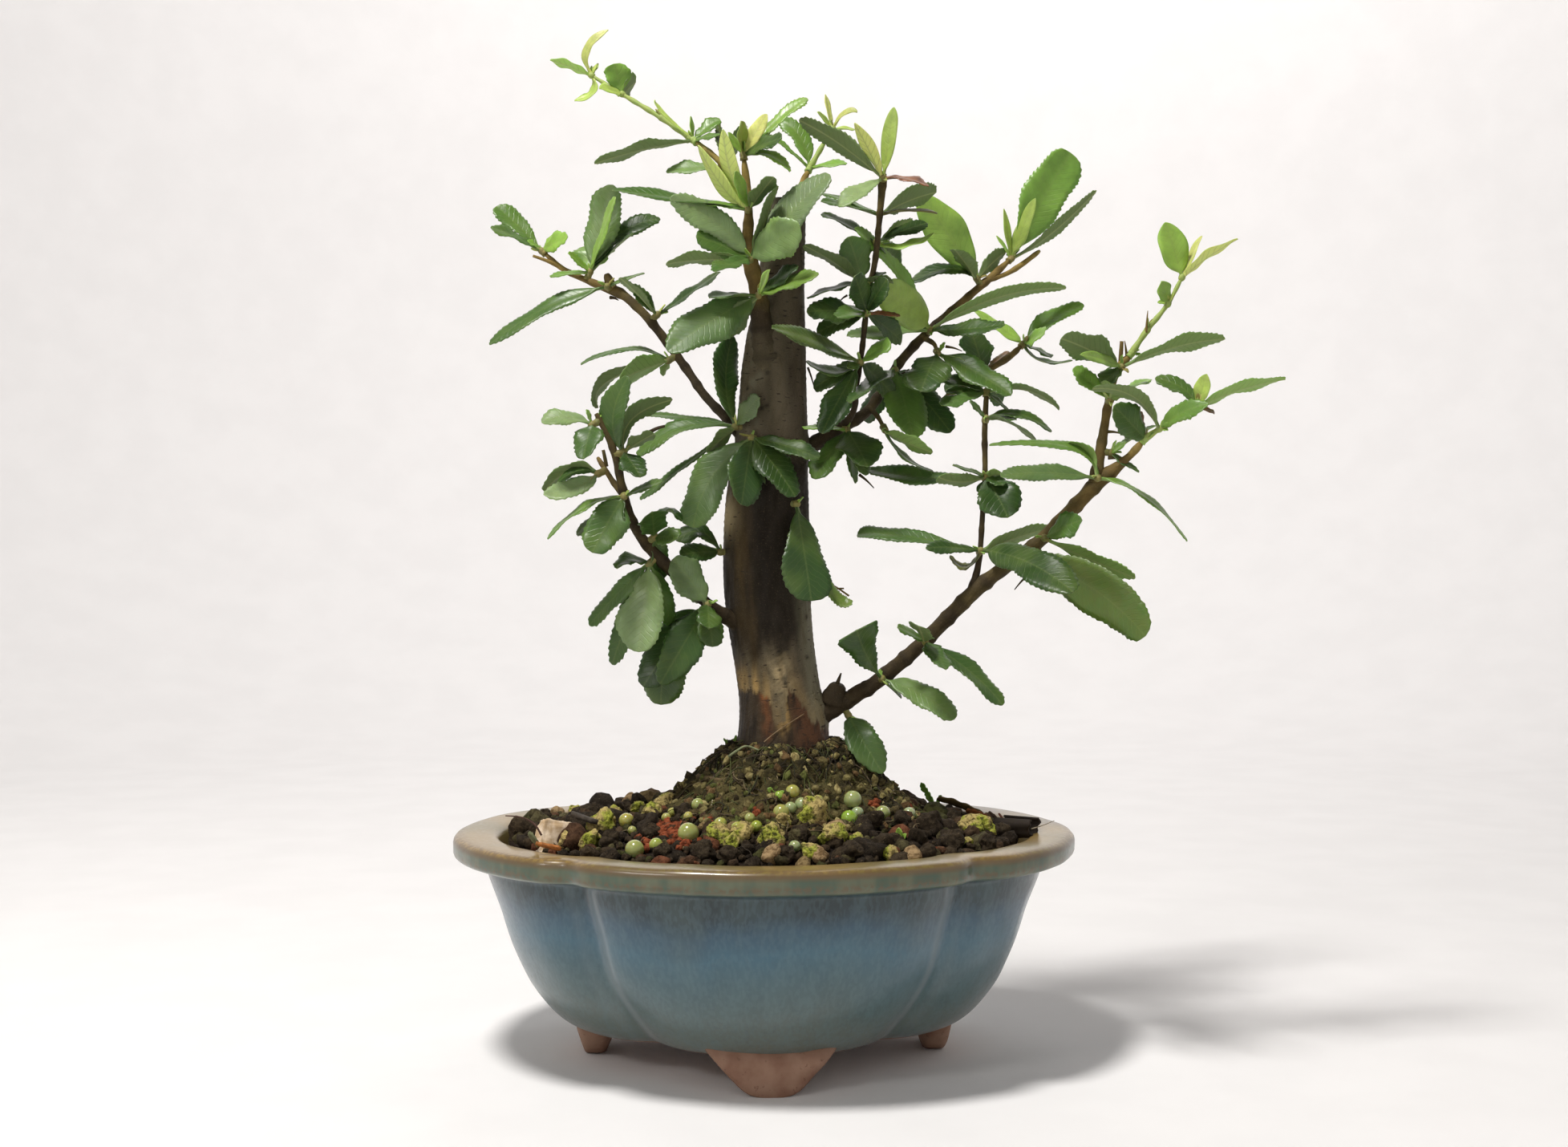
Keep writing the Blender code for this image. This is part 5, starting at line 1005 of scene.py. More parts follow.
def blade(start, tip, bend, width, turn, lean, life, draw, shape=None):
    # A leaf on a grid of stations t along it and u across it. The midrib is start (1-t)^2 + bend 2t(1-t)
    # + tip t^2. Half the width is a stalk's, then (width / 2) s^taper (1-s)^round over its own peak, with a
    # sawtooth on the margin. The blade lifts by fold |u|^1.5 and waves along its edges
    length = np.linalg.norm(tip - start)
    young = life[0] >= 0.75
    rows = int(np.clip(length / leafForm["stationEvery"], 12, 66))
    columns = 9 if width > 2.4 else 7
    t = 1 - (1 - np.linspace(0, 1, rows)) ** 1.2
    u = np.linspace(-1, 1, columns)
    spine = start * ((1 - t) ** 2)[:, None] + bend * (2 * t * (1 - t))[:, None] + tip * (t * t)[:, None]
    along = unit((bend - start) * (1 - t)[:, None] + (tip - bend) * t[:, None])
    flat = unit(np.cross(along, unit(eye - spine)))
    facing = np.cross(flat, along)
    angle = np.radians(turn + draw.uniform(-1, 1) * leafForm["twist"] * (t - 0.5))[:, None]
    side = flat * np.cos(angle) + facing * np.sin(angle) * lean
    normal = np.cross(side, along)
    s = np.clip((t - leafForm["petiole"]) / (1 - leafForm["petiole"]), 0, 1)
    taper = draw.uniform(*leafForm["taper"])
    blunt = draw.uniform(*leafForm["round"]) + (0.25 if young else 0.0)
    if shape:
        taper, blunt = shape
    peak = (taper / (taper + blunt)) ** taper * (blunt / (taper + blunt)) ** blunt
    outline = width / 2 * s ** taper * (1 - s) ** blunt / peak
    stalk = leafForm["petioleHalf"] * (1 - 0.35 * t) * np.sqrt(np.clip(1.02 - t, 0, 1))
    halves = []
    for sign in (-1, 1):
        saw = (s * length / leafForm["tooth"] + draw.uniform(0, 1) + 0.12 * np.sin(t * 37 + draw.uniform(0, 6))) % 1.0
        reach = leafForm["toothDepth"] * ease(0.12, 0.3, s) * ease(0.0, 0.9, outline) * (0.0 if young else 1.0)
        uneven = 1 + (0.05 if life[0] > 0.7 else 0.12) * np.sin(s * draw.uniform(5, 11) + draw.uniform(0, 6))
        halves.append(np.maximum(outline * uneven + (saw - 0.6) * reach, stalk) + 0.03)
    offset = np.where(u < 0, u * halves[0][:, None], u * halves[1][:, None])
    mean = ((halves[0] + halves[1]) / 2)[:, None]
    opened = ease(0.0, 0.15, s)[:, None]
    lift = draw.uniform(*leafForm["fold"]) * mean * np.abs(u) ** 1.5 * (1.2 - 0.5 * s[:, None])
    waves = np.sin(s[:, None] * draw.uniform(7, 13) + np.where(u < 0, draw.uniform(0, 6), draw.uniform(0, 6)))
    lift = lift + leafForm["wave"] * mean * u ** 2 * waves - 0.12 * mean * u ** 4
    lift -= (draw.uniform(0.0, 0.05) * width * s ** 3)[:, None]
    rib = hump(offset, 0, 0.3) * (1 - 0.6 * s)[:, None] * opened
    swell = 0.3 * np.sqrt(1.05 - u ** 2)[None, :] * (1 - opened)
    upper = lift * opened - leafForm["groove"] * rib + swell
    lower = lift * opened - leafForm["thickness"] * (1 - 0.4 * u ** 2) - leafForm["rib"] * rib - swell
    flatBlade = spine[:, None] + side[:, None] * offset[..., None]
    top = flatBlade + normal[:, None] * upper[..., None]
    low = flatBlade + normal[:, None] * lower[..., None]
    measure = np.stack([offset, np.broadcast_to((t * length)[:, None], offset.shape), np.zeros_like(offset)], -1)
    beneath = measure + np.array([0, 0, 1.0])
    return {"verts": np.vstack([top.reshape(-1, 3), low.reshape(-1, 3)]), "quads": bladeFaces(rows, columns),
            "tris": np.zeros((0, 3), int), "blade": np.vstack([measure.reshape(-1, 3), beneath.reshape(-1, 3)]),
            "life": np.tile(life, (2 * rows * columns, 1))}


def readLeaf(centre, leaf, draw):
    # One leaf of the tables, from its knot: the real width follows from the width seen and the turn
    tipAcross, tipUp, tipAway, seen, turn, youth = leaf[:6]
    tip = place((tipAcross, tipUp, depthOf(centre) + tipAway * 1.6))
    middle = (centre + tip) / 2
    bend = middle + np.array([0, 0, 0.06 * np.linalg.norm(tip - centre)])
    if len(leaf) > 6:
        bend = 2 * place((leaf[6], leaf[7], depthOf(centre) + tipAway * 0.8)) - middle
    cosine = max(abs(math.cos(math.radians(turn))), 0.2)
    width = min(seen / cosine, max(leafForm["broadest"], seen * 1.12)) * (1 if youth > 0.7 else leafForm["fuller"])
    lean = 1.0 if tip[0] >= centre[0] else -1.0
    dry = dryLeaves.get((tipAcross, tipUp), 0.0)
    tint = draw.uniform(0, 1)
    # A tint above 1 lays the painted grey sheen on the leaf
    if (tipAcross, tipUp) in sheenPaintedLeaves:
        tint = 1 + sheenPaintedLeaves[tipAcross, tipUp]
    return blade(centre, tip, bend, width, turn, lean, (youth, tint, dry), draw, leafShapes.get((tipAcross, tipUp)))


def knotPlaces(spray):
    # Centre of each knot: the first just clear of its branch, the others at their own readings
    name, seat, knots = spray
    spot, along, radius = onBranch(name, *knots[0][0][:2])
    if seat == "tip":
        centres = [spot + along * 1.25]
    else:
        outward = towards(seat)
        outward = unit(outward - along * (outward @ along))
        centres = [spot + outward * (radius + 1.25)]
    return spot, centres + [place(knot) for knot, _ in knots[1:]]


def lump(centre, way, long, wide, sides=8, **looks):
    # Bud or knob: a round profile sqrt(1 - t^2) carried along a short straight line
    t = np.linspace(-0.97, 0.97, 7)
    part, _ = tube(centre + way * (t * long)[:, None], wide * np.sqrt(1 - t ** 2), sides)
    for name, value in looks.items():
        part[name] = np.tile(value, (len(part["verts"]), 1))
    return part


def makeSpray(name, spray, seed, material):
    # Leaves round each knot, with a short neck into the wood, a knobby spur, tiny stipules and, on a shoot,
    # a soft stem through the knots
    draw = np.random.default_rng(seed)
    foot, centres = knotPlaces(spray)
    soft = name.startswith("shoot")
    youth = 0.75 if soft else 0.45
    parts = []
    neck = np.array([foot, (foot + centres[0]) / 2, centres[0]])
    woody = {"life": (youth, 0.5, 0.55 if not soft else 0.15), "blade": (3.0, 0.0, 1.0)}
    parts.append(tube(neck, (1.0, 0.9, 0.8), 9, **woody)[0])
    way = unit(centres[0] - foot)
    parts.append(lump(centres[0], way, 1.2, 0.95, **woody))
    if len(centres) > 1:
        radii = np.linspace(0.8, 0.45, len(centres))
        line = smoothPath(np.column_stack([centres, radii]), 0.6)
        bumps = 1 + 0.12 * np.sin(np.arange(len(line)) * 0.6 * 2 * math.pi / 4.5)
        green = {"life": (0.78, 0.5, 0.32), "blade": (3.0, 0.0, 1.0)}
        parts.append(tube(line[:, :3], line[:, 3] * bumps, 9, **green)[0])
        for centre in centres[1:]:
            parts.append(lump(centre, unit(centres[-1] - centres[-2]), 1.1, 0.85, **green))
    for k, (centre, (_, leaves)) in enumerate(zip(centres, spray[2])):
        extra = [leaf for other, knot, found in extraLeaves if other == name and knot == k for leaf in found]
        parts += [readLeaf(centre, leaf, draw) for leaf in list(leaves) + extra]
        for _ in range(3 if soft else 2):
            aim = unit(draw.normal(size=3) + way * 1.2 + np.array([0, 0, 0.8]))
            size = draw.uniform(1.8, 3.4)
            tip = centre + aim * size
            life = (draw.uniform(0.6, 1.0), draw.uniform(0, 1), draw.choice([0.0, 0.0, 0.6]))
            parts.append(blade(centre, tip, (centre + tip) / 2 + np.array([0, 0, 0.2]), size * 0.32,
                               draw.uniform(20, 80), 1.0, life, draw))
    return makePiece(name + "_leaves", parts, material, [name])


def leafFinish(name):
    # Colour by the leaf's age, which on a few leaves is raised as a painted glow of light shining through them, paler
    # beneath and along the midrib and the slanting side veins, with a painted grey sheen on some leaves.
    # The blade attribute gives the distance from the midrib, the length along it, and 1 beneath
    material, tree, shader = newMaterial(name, 0.4, Specular_IOR_Level=0.38, Subsurface_Weight=0.3,
                                         Subsurface_Radius=(0.5, 1.0, 0.15), Subsurface_Scale=0.0006)
    _, off, alongLeaf, beneath = attributeParts(tree, "blade")
    _, youth, tint, dry = attributeParts(tree, "life")
    vector = objectPlace(tree)
    fromRib = figure(tree, "ABSOLUTE", off)
    mottle = noise(tree, vector, 420.0, 4.0, 0.55)
    cloudy = noise(tree, vector, 110.0, 2.0, 0.5)
    slant = minus(tree, alongLeaf, times(tree, fromRib, 0.85))
    wave = figure(tree, "SINE", times(tree, plus(tree, slant, times(tree, mottle, 1.6)), 3.9))
    vein = spread(tree, wave, 0.80, 1.0)
    # The bright end of these ramps is also the painted glow of the few leaves given a high youth
    upper = ramp(tree, youth, ((0.0, (46, 70, 28)), (0.3, (77, 107, 46)), (0.6, (126, 166, 68)),
                               (0.85, (166, 200, 88)), (1.0, (214, 216, 126))))
    lower = ramp(tree, youth, ((0.0, (96, 113, 70)), (0.3, (116, 134, 82)), (0.6, (140, 170, 90)),
                               (0.86, (172, 204, 106)), (1.0, (212, 216, 128))))
    # Where the tint is above 1 a painted grey sheen, standing in for a reflection, lies over the upper side
    upper = coated(tree, upper, (tint, 0.0, 1.0, 0.3, (56, 84, 48)), (tint, 1.0, 2.0, 0.6, (158, 172, 134)),
                   (mottle, 0.35, 0.7, 0.2, (42, 62, 24)), (cloudy, 0.4, 0.7, 0.22, (118, 138, 62)),
                   (wave, 0.80, 1.0, 0.10, (120, 138, 78)), (fromRib, 0.10, 0.34, (0.16, 0.0), (128, 144, 82)))
    lower = coated(tree, lower, (wave, 0.80, 1.0, 0.25, (76, 92, 54)),
                   (fromRib, 0.10, 0.34, (0.5, 0.0), (160, 170, 112)))
    base = mixed(tree, beneath, upper, lower)
    brown = ramp(tree, mottle, ((0.3, (84, 50, 30)), (0.6, (134, 86, 52)), (0.75, (160, 118, 78))))
    base = mixed(tree, dry, base, brown)
    rough = plus(tree, spread(tree, mottle, 0.3, 0.7, 0.30, 0.42), times(tree, beneath, 0.28))
    finish(tree, shader, base, rough)
    relief = minus(tree, times(tree, mottle, 0.5), times(tree, vein, 0.5))
    setBump(tree, shader, relief, 0.35, 0.00025)
    return material


matureLeaf = leafFinish("matureLeaf")
youngLeaf = leafFinish("youngLeaf")
for k, (name, spray) in enumerate(sprays.items()):
    makeSpray(name, spray, 300 + k, youngLeaf if name.startswith("shoot") else matureLeaf)
print("leaves done")


# ---- pot

pot = {
    "halfWidth": 75.0, "halfDepth": 63.5,
    # Fold of the outline between two lobes, at the foot, on the wall and on the lip
    "footCrease": (43.5, 43.5), "wallCrease": (48.2, 42.4), "lipCrease": (46.2, 48.2),
    "creaseSoft": 0.8, "wallSoft": 1.3,       # how round the fold between two lobes is
    # Fold pressed in: depth and half width of its groove, of the dip round it and of the dent in the lip
    "groove": (1.5, 3.4), "dip": (1.2, 8.0), "dent": (1.9, 4.5),
    "perLobe": 84,                            # faces along one lobe
    # Section from the foot ring up the outside, over the lip and down the inside:
    # share of the rim's outline, inset, height, and 0 for the wall's folds or 1 for the lip's
    "section": (
        (0.30, 0, 7.2, 0), (0.50, 0, 7.2, 0), (0.575, 0, 7.4, 0), (0.61, 0, 7.9, 0), (0.652, 0, 9.2, 0),
        (0.686, 0, 11.2, 0), (0.715, 0, 13.6, 0), (0.741, 0, 16.2, 0), (0.763, 0, 18.9, 0), (0.789, 0, 23.0, 0),
        (0.812, 0, 27.0, 0), (0.831, 0, 31.0, 0), (0.848, 0, 35.0, 0), (0.868, 0, 39.0, 0), (0.886, 0, 42.6, 0),
        (0.893, 0, 44.6, 0), (0.895, 0, 46.0, 0.1), (0.912, 0, 46.9, 0.35), (0.948, 0, 47.5, 0.75),
        (0.983, 0, 48.0, 1), (0.998, 0, 48.9, 1), (1.0, 0, 50.4, 1), (1.0, 0, 51.9, 1), (1.0, 0.35, 52.7, 1),
        (1.0, 1.1, 53.2, 1), (1.0, 2.2, 53.4, 1), (1.0, 5.0, 53.5, 1), (1.0, 8.0, 53.4, 1), (1.0, 9.6, 53.1, 1),
        (1.0, 10.5, 52.5, 1), (1.0, 10.9, 51.8, 0.95), (0.985, 10.4, 50.0, 0.75), (0.94, 8.0, 47.0, 0.4),
        (0.887, 5.0, 43.0, 0), (0.845, 5.0, 35.0, 0), (0.81, 5.0, 27.0, 0), (0.765, 5.0, 20.0, 0),
        (0.70, 5.0, 15.2, 0), (0.62, 5.0, 13.7, 0), (0.40, 5.0, 13.6, 0),
    ),
    "underLip": (44.5, 49.0),                 # heights between which the wall's folds give way to the lip's
    "unevenWall": 0.16, "holeRadius": 6.0, "holeOffset": 20.0, "holeSides": 48,
    # Foot: height and half width, then radial faces at its root and at its tip
    "footShape": ((0.0, 3.6), (0.2, 4.8), (0.8, 6.1), (1.8, 7.4), (3.0, 8.7), (4.5, 10.2), (6.0, 11.7), (7.5, 13.1),
                  (9.6, 14.9), (11.0, 15.6)),
    "frontFoot": (33.0, 40.8, 38.6, 43.6), "sideFoot": (35.0, 46.2, 38.4, 43.6),
    "footSides": 56, "footPower": 0.55,       # power under 1 makes the round section oblong
    # Small marks of the glaze: reading, radius, shade
    "marks": (((64.1, 35.3, -30.0), 1.6, (30, 26, 26)), ((-46.4, 16.2, -44.0), 2.6, (150, 140, 104))),
}


def discReach(theta, centre, radius, axis):
    # How far a disc reaches from the pot's axis on its own side: c cos d + sqrt(r^2 - c^2 sin^2 d)
    offset = theta - axis
    inside = radius ** 2 - (centre * np.sin(offset)) ** 2
    reach = centre * np.cos(offset) + np.sqrt(np.maximum(inside, 0))
    return np.where((inside > 0) & (np.cos(offset) > 0.34), reach, -1e3)


def lobedReach(theta, share, inset, crease, soft):
    # Outline of four overlapping discs: the farthest reach, with the folds rounded by a soft maximum.
    # The second value is how far the direction is from a fold
    cx, cy = crease
    squares = cx ** 2 + cy ** 2
    side = (pot["halfWidth"] ** 2 - squares) / (2 * (pot["halfWidth"] - cx))
    ahead = (pot["halfDepth"] ** 2 - squares) / (2 * (pot["halfDepth"] - cy))
    sideRadius = (pot["halfWidth"] - side) * share - inset
    aheadRadius = (pot["halfDepth"] - ahead) * share - inset
    reaches = np.stack([discReach(theta, side * share, sideRadius, axis) for axis in (0, math.pi)]
                       + [discReach(theta, ahead * share, aheadRadius, axis) for axis in (math.pi / 2, -math.pi / 2)])
    ordered = np.sort(reaches, 0)
    reach = ordered[-1] + soft * np.log(np.exp((reaches - ordered[-1]) / soft).sum(0))
    return reach, ordered[-1] - ordered[-2]


def lobeAngles(foldAngle, count):
    # Directions round the pot, gathered near the four folds
    t = np.arange(count) / count
    t = 0.45 * t + 0.55 * (1 - np.cos(math.pi * t)) / 2
    folds = np.array([-foldAngle, foldAngle, math.pi - foldAngle, math.pi + foldAngle, 2 * math.pi - foldAngle])
    return np.concatenate([low + (high - low) * t for low, high in zip(folds, folds[1:])])


def lobedPlace(x, y):
    # Share of the rim's outline at a spot on the plan of the pot
    reach, _ = lobedReach(np.arctan2(y, x), 1.0, 0.0, pot["lipCrease"], 0.5)
    return np.hypot(x, y) / reach


def makePot():
    # The section's rows, read finely along a smooth curve, each carried round the four lobes
    rows = np.array(pot["section"], float)
    metric = np.column_stack([rows[:, 0] * 70 - rows[:, 1], rows[:, 2], np.zeros(len(rows)), rows])
    line = smoothPath(metric, 0.75)[:, 3:]
    share, inset, up, lip = (column[:, None] for column in line.T)
    lip = np.clip(lip, 0, 1)
    foot, wall, rim = (np.array(pot[key])[:, None, None] for key in ("footCrease", "wallCrease", "lipCrease"))
    crease = foot + (wall - foot) * ease(8, 27, up)
    crease = crease + (rim - crease) * lip
    foldAt = np.arctan2(crease[1], crease[0])
    angles = np.array([lobeAngles(at, pot["perLobe"]) for at in foldAt[:, 0].tolist()])
    soft = pot["wallSoft"] + (pot["creaseSoft"] - pot["wallSoft"]) * lip
    reach, _ = lobedReach(angles, share, inset, crease, soft)
    outside = (np.arange(len(line)) < np.argmax(up[:, 0]))[:, None]
    lipPart = ease(*pot["underLip"], up)
    # The fold is pressed in by two bell curves of the distance from it along the wall
    fold = np.abs((np.abs((angles + math.pi / 2) % math.pi - math.pi / 2) - foldAt) * reach)
    for depth, half in (pot["groove"], pot["dip"]):
        reach = reach - depth * hump(fold, 0, half) * (1 - 0.8 * lipPart) * outside
    reach = reach - pot["dent"][0] * hump(fold, 0, pot["dent"][1]) * lipPart
    points = np.stack([reach * np.cos(angles), reach * np.sin(angles), np.broadcast_to(up, reach.shape)], -1)
    uneven = pot["unevenWall"] * ripple(points * np.array([1, 1, 0.7]), 16.0, 11) * ease(12, 20, up) * outside
    points[..., :2] *= 1 + (uneven / np.maximum(reach, 1))[..., None]
    points[..., 2] += 0.12 * ripple(points, 22.0, 12) * ease(50, 53, up)
    points += potCentre
    # Pale band beside each fold, mostly on the front lobes: partly a paler break in the glaze and partly a painted
    # reflection
    onFront = np.where(np.abs(np.sin(angles)) > np.sin(foldAt), 1.0, 0.35)
    foldBreakAndSheen = hump(fold, 3.0, 2.3) * onFront * (1 - ease(46, 48, up))
    edge = hump(inset, 1.0, 1.6) * ease(51.0, 52.6, up) + hump(up, 49.3, 0.8) * outside * lip
    looks = np.stack(np.broadcast_arrays(foldBreakAndSheen * outside, edge, 1.0 - outside), -1)
    return closedRings(points, potCentre + (0, 0, 8.6), potCentre + (0, 0, 13.6), glaze=looks.reshape(-1, 3))


def placesOf(mesh):
    # The points of a mesh, and one number for each that only a point at the same place shares
    points = np.empty(len(mesh.vertices) * 3, np.float32)
    mesh.vertices.foreach_get("co", points)
    x, y, z = points.reshape(-1, 3).astype(float).T
    return x + 7919.0 * y + 104729.0 * z


def drill(piece):
    # The two drainage holes, cut by a Boolean that is applied. It drops the looks of the points, so they are
    # laid on again by place; the new points round the holes are bare
    cutters = []
    oldPlaces = placesOf(piece.data)
    oldLooks = np.empty(len(oldPlaces) * 3, np.float32)
    piece.data.attributes["glaze"].data.foreach_get("vector", oldLooks)
    for side in (-1, 1):
        angles = np.linspace(0, 2 * math.pi, pot["holeSides"], endpoint=False)
        ring = np.stack([np.cos(angles), np.sin(angles), 0 * angles], 1) * pot["holeRadius"]
        rows = np.stack([ring + (0, 0, up) for up in (4.0, 18.0)]) + potCentre + (side * pot["holeOffset"], 0, 0)
        part = closedRings(rows, rows[0].mean(0), rows[1].mean(0))
        mesh = bpy.data.meshes.new("hole")
        mesh.from_pydata((part["verts"] * toMetres).tolist(), [], part["quads"].tolist() + part["tris"].tolist())
        cutter = bpy.data.objects.new("hole", mesh)
        bpy.context.scene.collection.objects.link(cutter)
        cutters.append(cutter)
        cut = piece.modifiers.new("hole", "BOOLEAN")
        cut.operation, cut.solver, cut.object = "DIFFERENCE", "EXACT", cutter
    graph = bpy.context.evaluated_depsgraph_get()
    piece.data = bpy.data.meshes.new_from_object(piece.evaluated_get(graph))
    piece.modifiers.clear()
    for cutter in cutters:
        bpy.data.objects.remove(cutter, do_unlink=True)
    newPlaces, order = placesOf(piece.data), np.argsort(oldPlaces)
    spots = order[np.clip(np.searchsorted(oldPlaces[order], newPlaces), 0, len(order) - 1)]
    looks = oldLooks.reshape(-1, 3)[spots] * (oldPlaces[spots] == newPlaces)[:, None]
    piece.data.attributes["glaze"].data.foreach_set("vector", looks.astype(np.float32).ravel())


def makeFeet():
    # Bracket feet: a rounded oblong section whose width and radial faces change with the height
    shape = smoothPath([(half, 0, up) for up, half in pot["footShape"]], 0.5)
    half, up = shape[:, :1], shape[:, 2:]
    mix = up / shape[-1, 2]
    angles = np.linspace(0, 2 * math.pi, pot["footSides"], endpoint=False)
    circle = np.cos(angles), np.sin(angles)
    roundX, roundY = (np.sign(values) * np.abs(values) ** pot["footPower"] for values in circle)
    parts = []
    for quarter in range(4):
        rootIn, rootOut, tipIn, tipOut = pot["sideFoot"] if quarter % 2 else pot["frontFoot"]
        inner, outer = tipIn + (rootIn - tipIn) * mix, tipOut + (rootOut - tipOut) * mix
        x = half * roundX
        y = -(inner + outer) / 2 + (outer - inner) / 2 * roundY
        rows = np.stack([x, y, np.broadcast_to(up, x.shape)], -1)
        rows[..., 1] -= 0.35 * ripple(rows, 9.0, 30 + quarter) * ease(0, 3, up)
        turn = quarter * math.pi / 2
        spin = np.array([[math.cos(turn), math.sin(turn), 0], [-math.sin(turn), math.cos(turn), 0], [0, 0, 1]])
        rows = rows @ spin + potCentre
        parts.append(closedRings(rows, rows[0].mean(0), rows[-1].mean(0)))
    return parts


def glazeFinish():
    # Blue-green glaze, darker slate under the lip as painted shade of the lip, greyer and greener lower down, thin and
    # olive on the lip, with a pale band at the folds that is partly a paler break in the glaze and partly a painted
    # reflection, and bare clay on the floor
    material, tree, shader = newMaterial("glazeFinish", 0.32, Specular_IOR_Level=0.4, Coat_Weight=0.35,
                                         Coat_Roughness=0.14)
    _, fold, edge, inside = attributeParts(tree, "glaze")
    vector = objectPlace(tree)
    height = heightOf(tree, vector)
    runs = noise(tree, stretched(tree, vector, (1, 1, 0.22)), 240.0, 2.0, 0.5)
    broad = noise(tree, stretched(tree, vector, (1, 1, 0.6)), 38.0, 3.0, 0.5, 0.4)
    fibre = noise(tree, stretched(tree, vector, (1, 1, 0.35)), 1200.0, 1.0, 0.5)
    fine = noise(tree, vector, 900.0, 2.0, 0.5)
    level = plus(tree, height, times(tree, minus(tree, broad, 0.5), 0.012))
    # The dark slate band at the top of the wall, just under the lip, is painted shade of the lip
    wall = ramp(tree, spread(tree, level, 0.008, 0.050), (
        (0.0, (93, 100, 93)), (0.16, (76, 93, 92)), (0.4, (66, 93, 101)), (0.62, (60, 97, 114)),
        (0.8, (46, 77, 96)), (0.91, (29, 48, 56)), (1.0, (34, 50, 50))))
    # The last coat is the pale band at the folds, partly a paler break in the glaze and partly a painted reflection
    wall = coated(tree, wall, (runs, 0.40, 0.70, 0.16, (94, 120, 124)), (broad, 0.52, 0.75, 0.35, (80, 98, 98)),
                  (fibre, 0.42, 0.62, 0.11, (106, 132, 142)), (fine, 0.50, 0.72, 0.14, (44, 64, 78)),
                  (fold, 0.1, 1.0, 0.5, (140, 150, 154)))
    face = coated(tree, colour(66, 84, 68), (runs, 0.35, 0.65, 1.0, (92, 98, 76)),
                  (height, 0.0508, 0.0522, 0.85, (98, 80, 56)))
    top = coated(tree, colour(140, 115, 64), (broad, 0.35, 0.65, 1.0, (114, 101, 58)),
                 (fine, 0.5, 0.72, 0.25, (158, 142, 108)))
    base = mixed(tree, spread(tree, height, 0.0472, 0.0484), wall, face)
    base = mixed(tree, spread(tree, height, 0.0522, 0.0531), base, top)
    worn = times(tree, times(tree, edge, spread(tree, fine, 0.35, 0.6)), 0.7)
    base = mixed(tree, worn, base, colour(98, 76, 50))
    base = mixed(tree, inside, base, top)
    for reading, radius, shade in pot["marks"]:
        base = mixed(tree, near(tree, vector, reading, radius), base, colour(*shade))
    clay = coated(tree, colour(150, 112, 92), (fine, 0.35, 0.65, 1.0, (172, 134, 112)))
    bare = spread(tree, plus(tree, height, times(tree, fine, 0.0008)), 0.0082, 0.0087, 1.0, 0.0)
    rough = mixed(tree, bare, spread(tree, fine, 0.3, 0.7, 0.28, 0.34), (0.8, 0.8, 0.8, 1.0))
    finish(tree, shader, mixed(tree, bare, base, clay), rough)
    setBump(tree, shader, plus(tree, times(tree, broad, 2.0), times(tree, fine, 0.03)), 0.25, 0.0006)
    return material


def clayFinish():
    # Bare pinkish stoneware, darker towards the top of each foot and just above the floor, with small dark grains
    material, tree, shader = newMaterial("clayFinish", 0.8, Specular_IOR_Level=0.3)
    vector = objectPlace(tree)
    height = heightOf(tree, vector)
    fine, broad = noise(tree, vector, 800.0, 4.0, 0.6), noise(tree, vector, 130.0, 3.0)
    finish(tree, shader, coated(
        tree, colour(132, 98, 80), (broad, 0.35, 0.65, 1.0, (158, 126, 106)),
        (height, 0.006, 0.0105, 0.55, (96, 72, 58)), (fine, 0.6, 0.72, 0.6, (96, 70, 56)),
        (height, 0.0, 0.0025, (0.5, 0.0), (110, 78, 60))))
    setBump(tree, shader, fine, 0.4, 0.0004)
    return material


clay = clayFinish()
drill(makePiece("potBody", makePot(), glazeFinish(), ["pot"]))
makePiece("potFeet", makeFeet(), clay, ["pot"], sharp=60)
print("pot done")


# ---- soil, roots and what lies on them

ground = {
    # Bed of soil: share of the rim's outline and height
    "crown": ((0.0, 61.4), (0.26, 60.8), (0.42, 58.8), (0.56, 56.3), (0.72, 53.9), (0.84, 51.4), (0.9, 50.8)),
    # Buried side of the bed, just inside the pot's wall: share of the rim's outline, inset, height
    "buried": ((0.77, 5.8, 20.6), (0.81, 5.8, 27.0), (0.845, 5.8, 35.0), (0.887, 5.8, 43.0), (0.90, 7.4, 46.0)),
    # Heap of roots: its middle, then distance from it and height, and how it swells in some directions:
    # share, lobes round it and their turn
    "moundAt": (6.0, 0.0),
    "mound": ((0.0, 74.4), (9.0, 74.2), (12.6, 73.6), (15.2, 72.0), (18.6, 69.0), (22.0, 65.2), (25.5, 62.0),
              (28.5, 59.6), (31.5, 57.0), (34.0, 53.0)),
    "moundSwell": ((0.09, 2, 0.6), (0.05, 5, 4.3)),
    # Loose clods: how many darts are thrown and the half sizes, largest first; then the crumbs on the mound
    "clods": ((170, 2.7, 4.4), (900, 1.5, 2.7), (7000, 0.6, 1.5)), "clodKept": 1500, "coarse": 2.7,
    "crumbs": 1500, "crumbSize": (0.4, 1.35),
}
moundCentre = place((*ground["moundAt"], 0.0))
moundCentre[1] = potCentre[1]


def soilTop(x, y):
    # Height of the bed of soil: it follows the share of the rim's outline
    share = lobedPlace(x - potCentre[0], y - potCentre[1])
    return np.interp(share, *np.array(ground["crown"]).T)


def moundSwell(angle):
    # How far the heap reaches in a direction: 1 + the sum of share sin(lobes angle + turn)
    return 1 + sum(share * np.sin(lobes * angle + turn) for share, lobes, turn in ground["moundSwell"])


def moundTop(x, y):
    # Height of the heap of roots against the distance from its middle, swollen in a few directions
    dx, dy = x - moundCentre[0], y - moundCentre[1]
    return np.interp(np.hypot(dx, dy) / moundSwell(np.arctan2(dy, dx)), *np.array(ground["mound"]).T)


def groundTop(x, y):
    # The higher of the two
    return np.maximum(soilTop(x, y), moundTop(x, y))


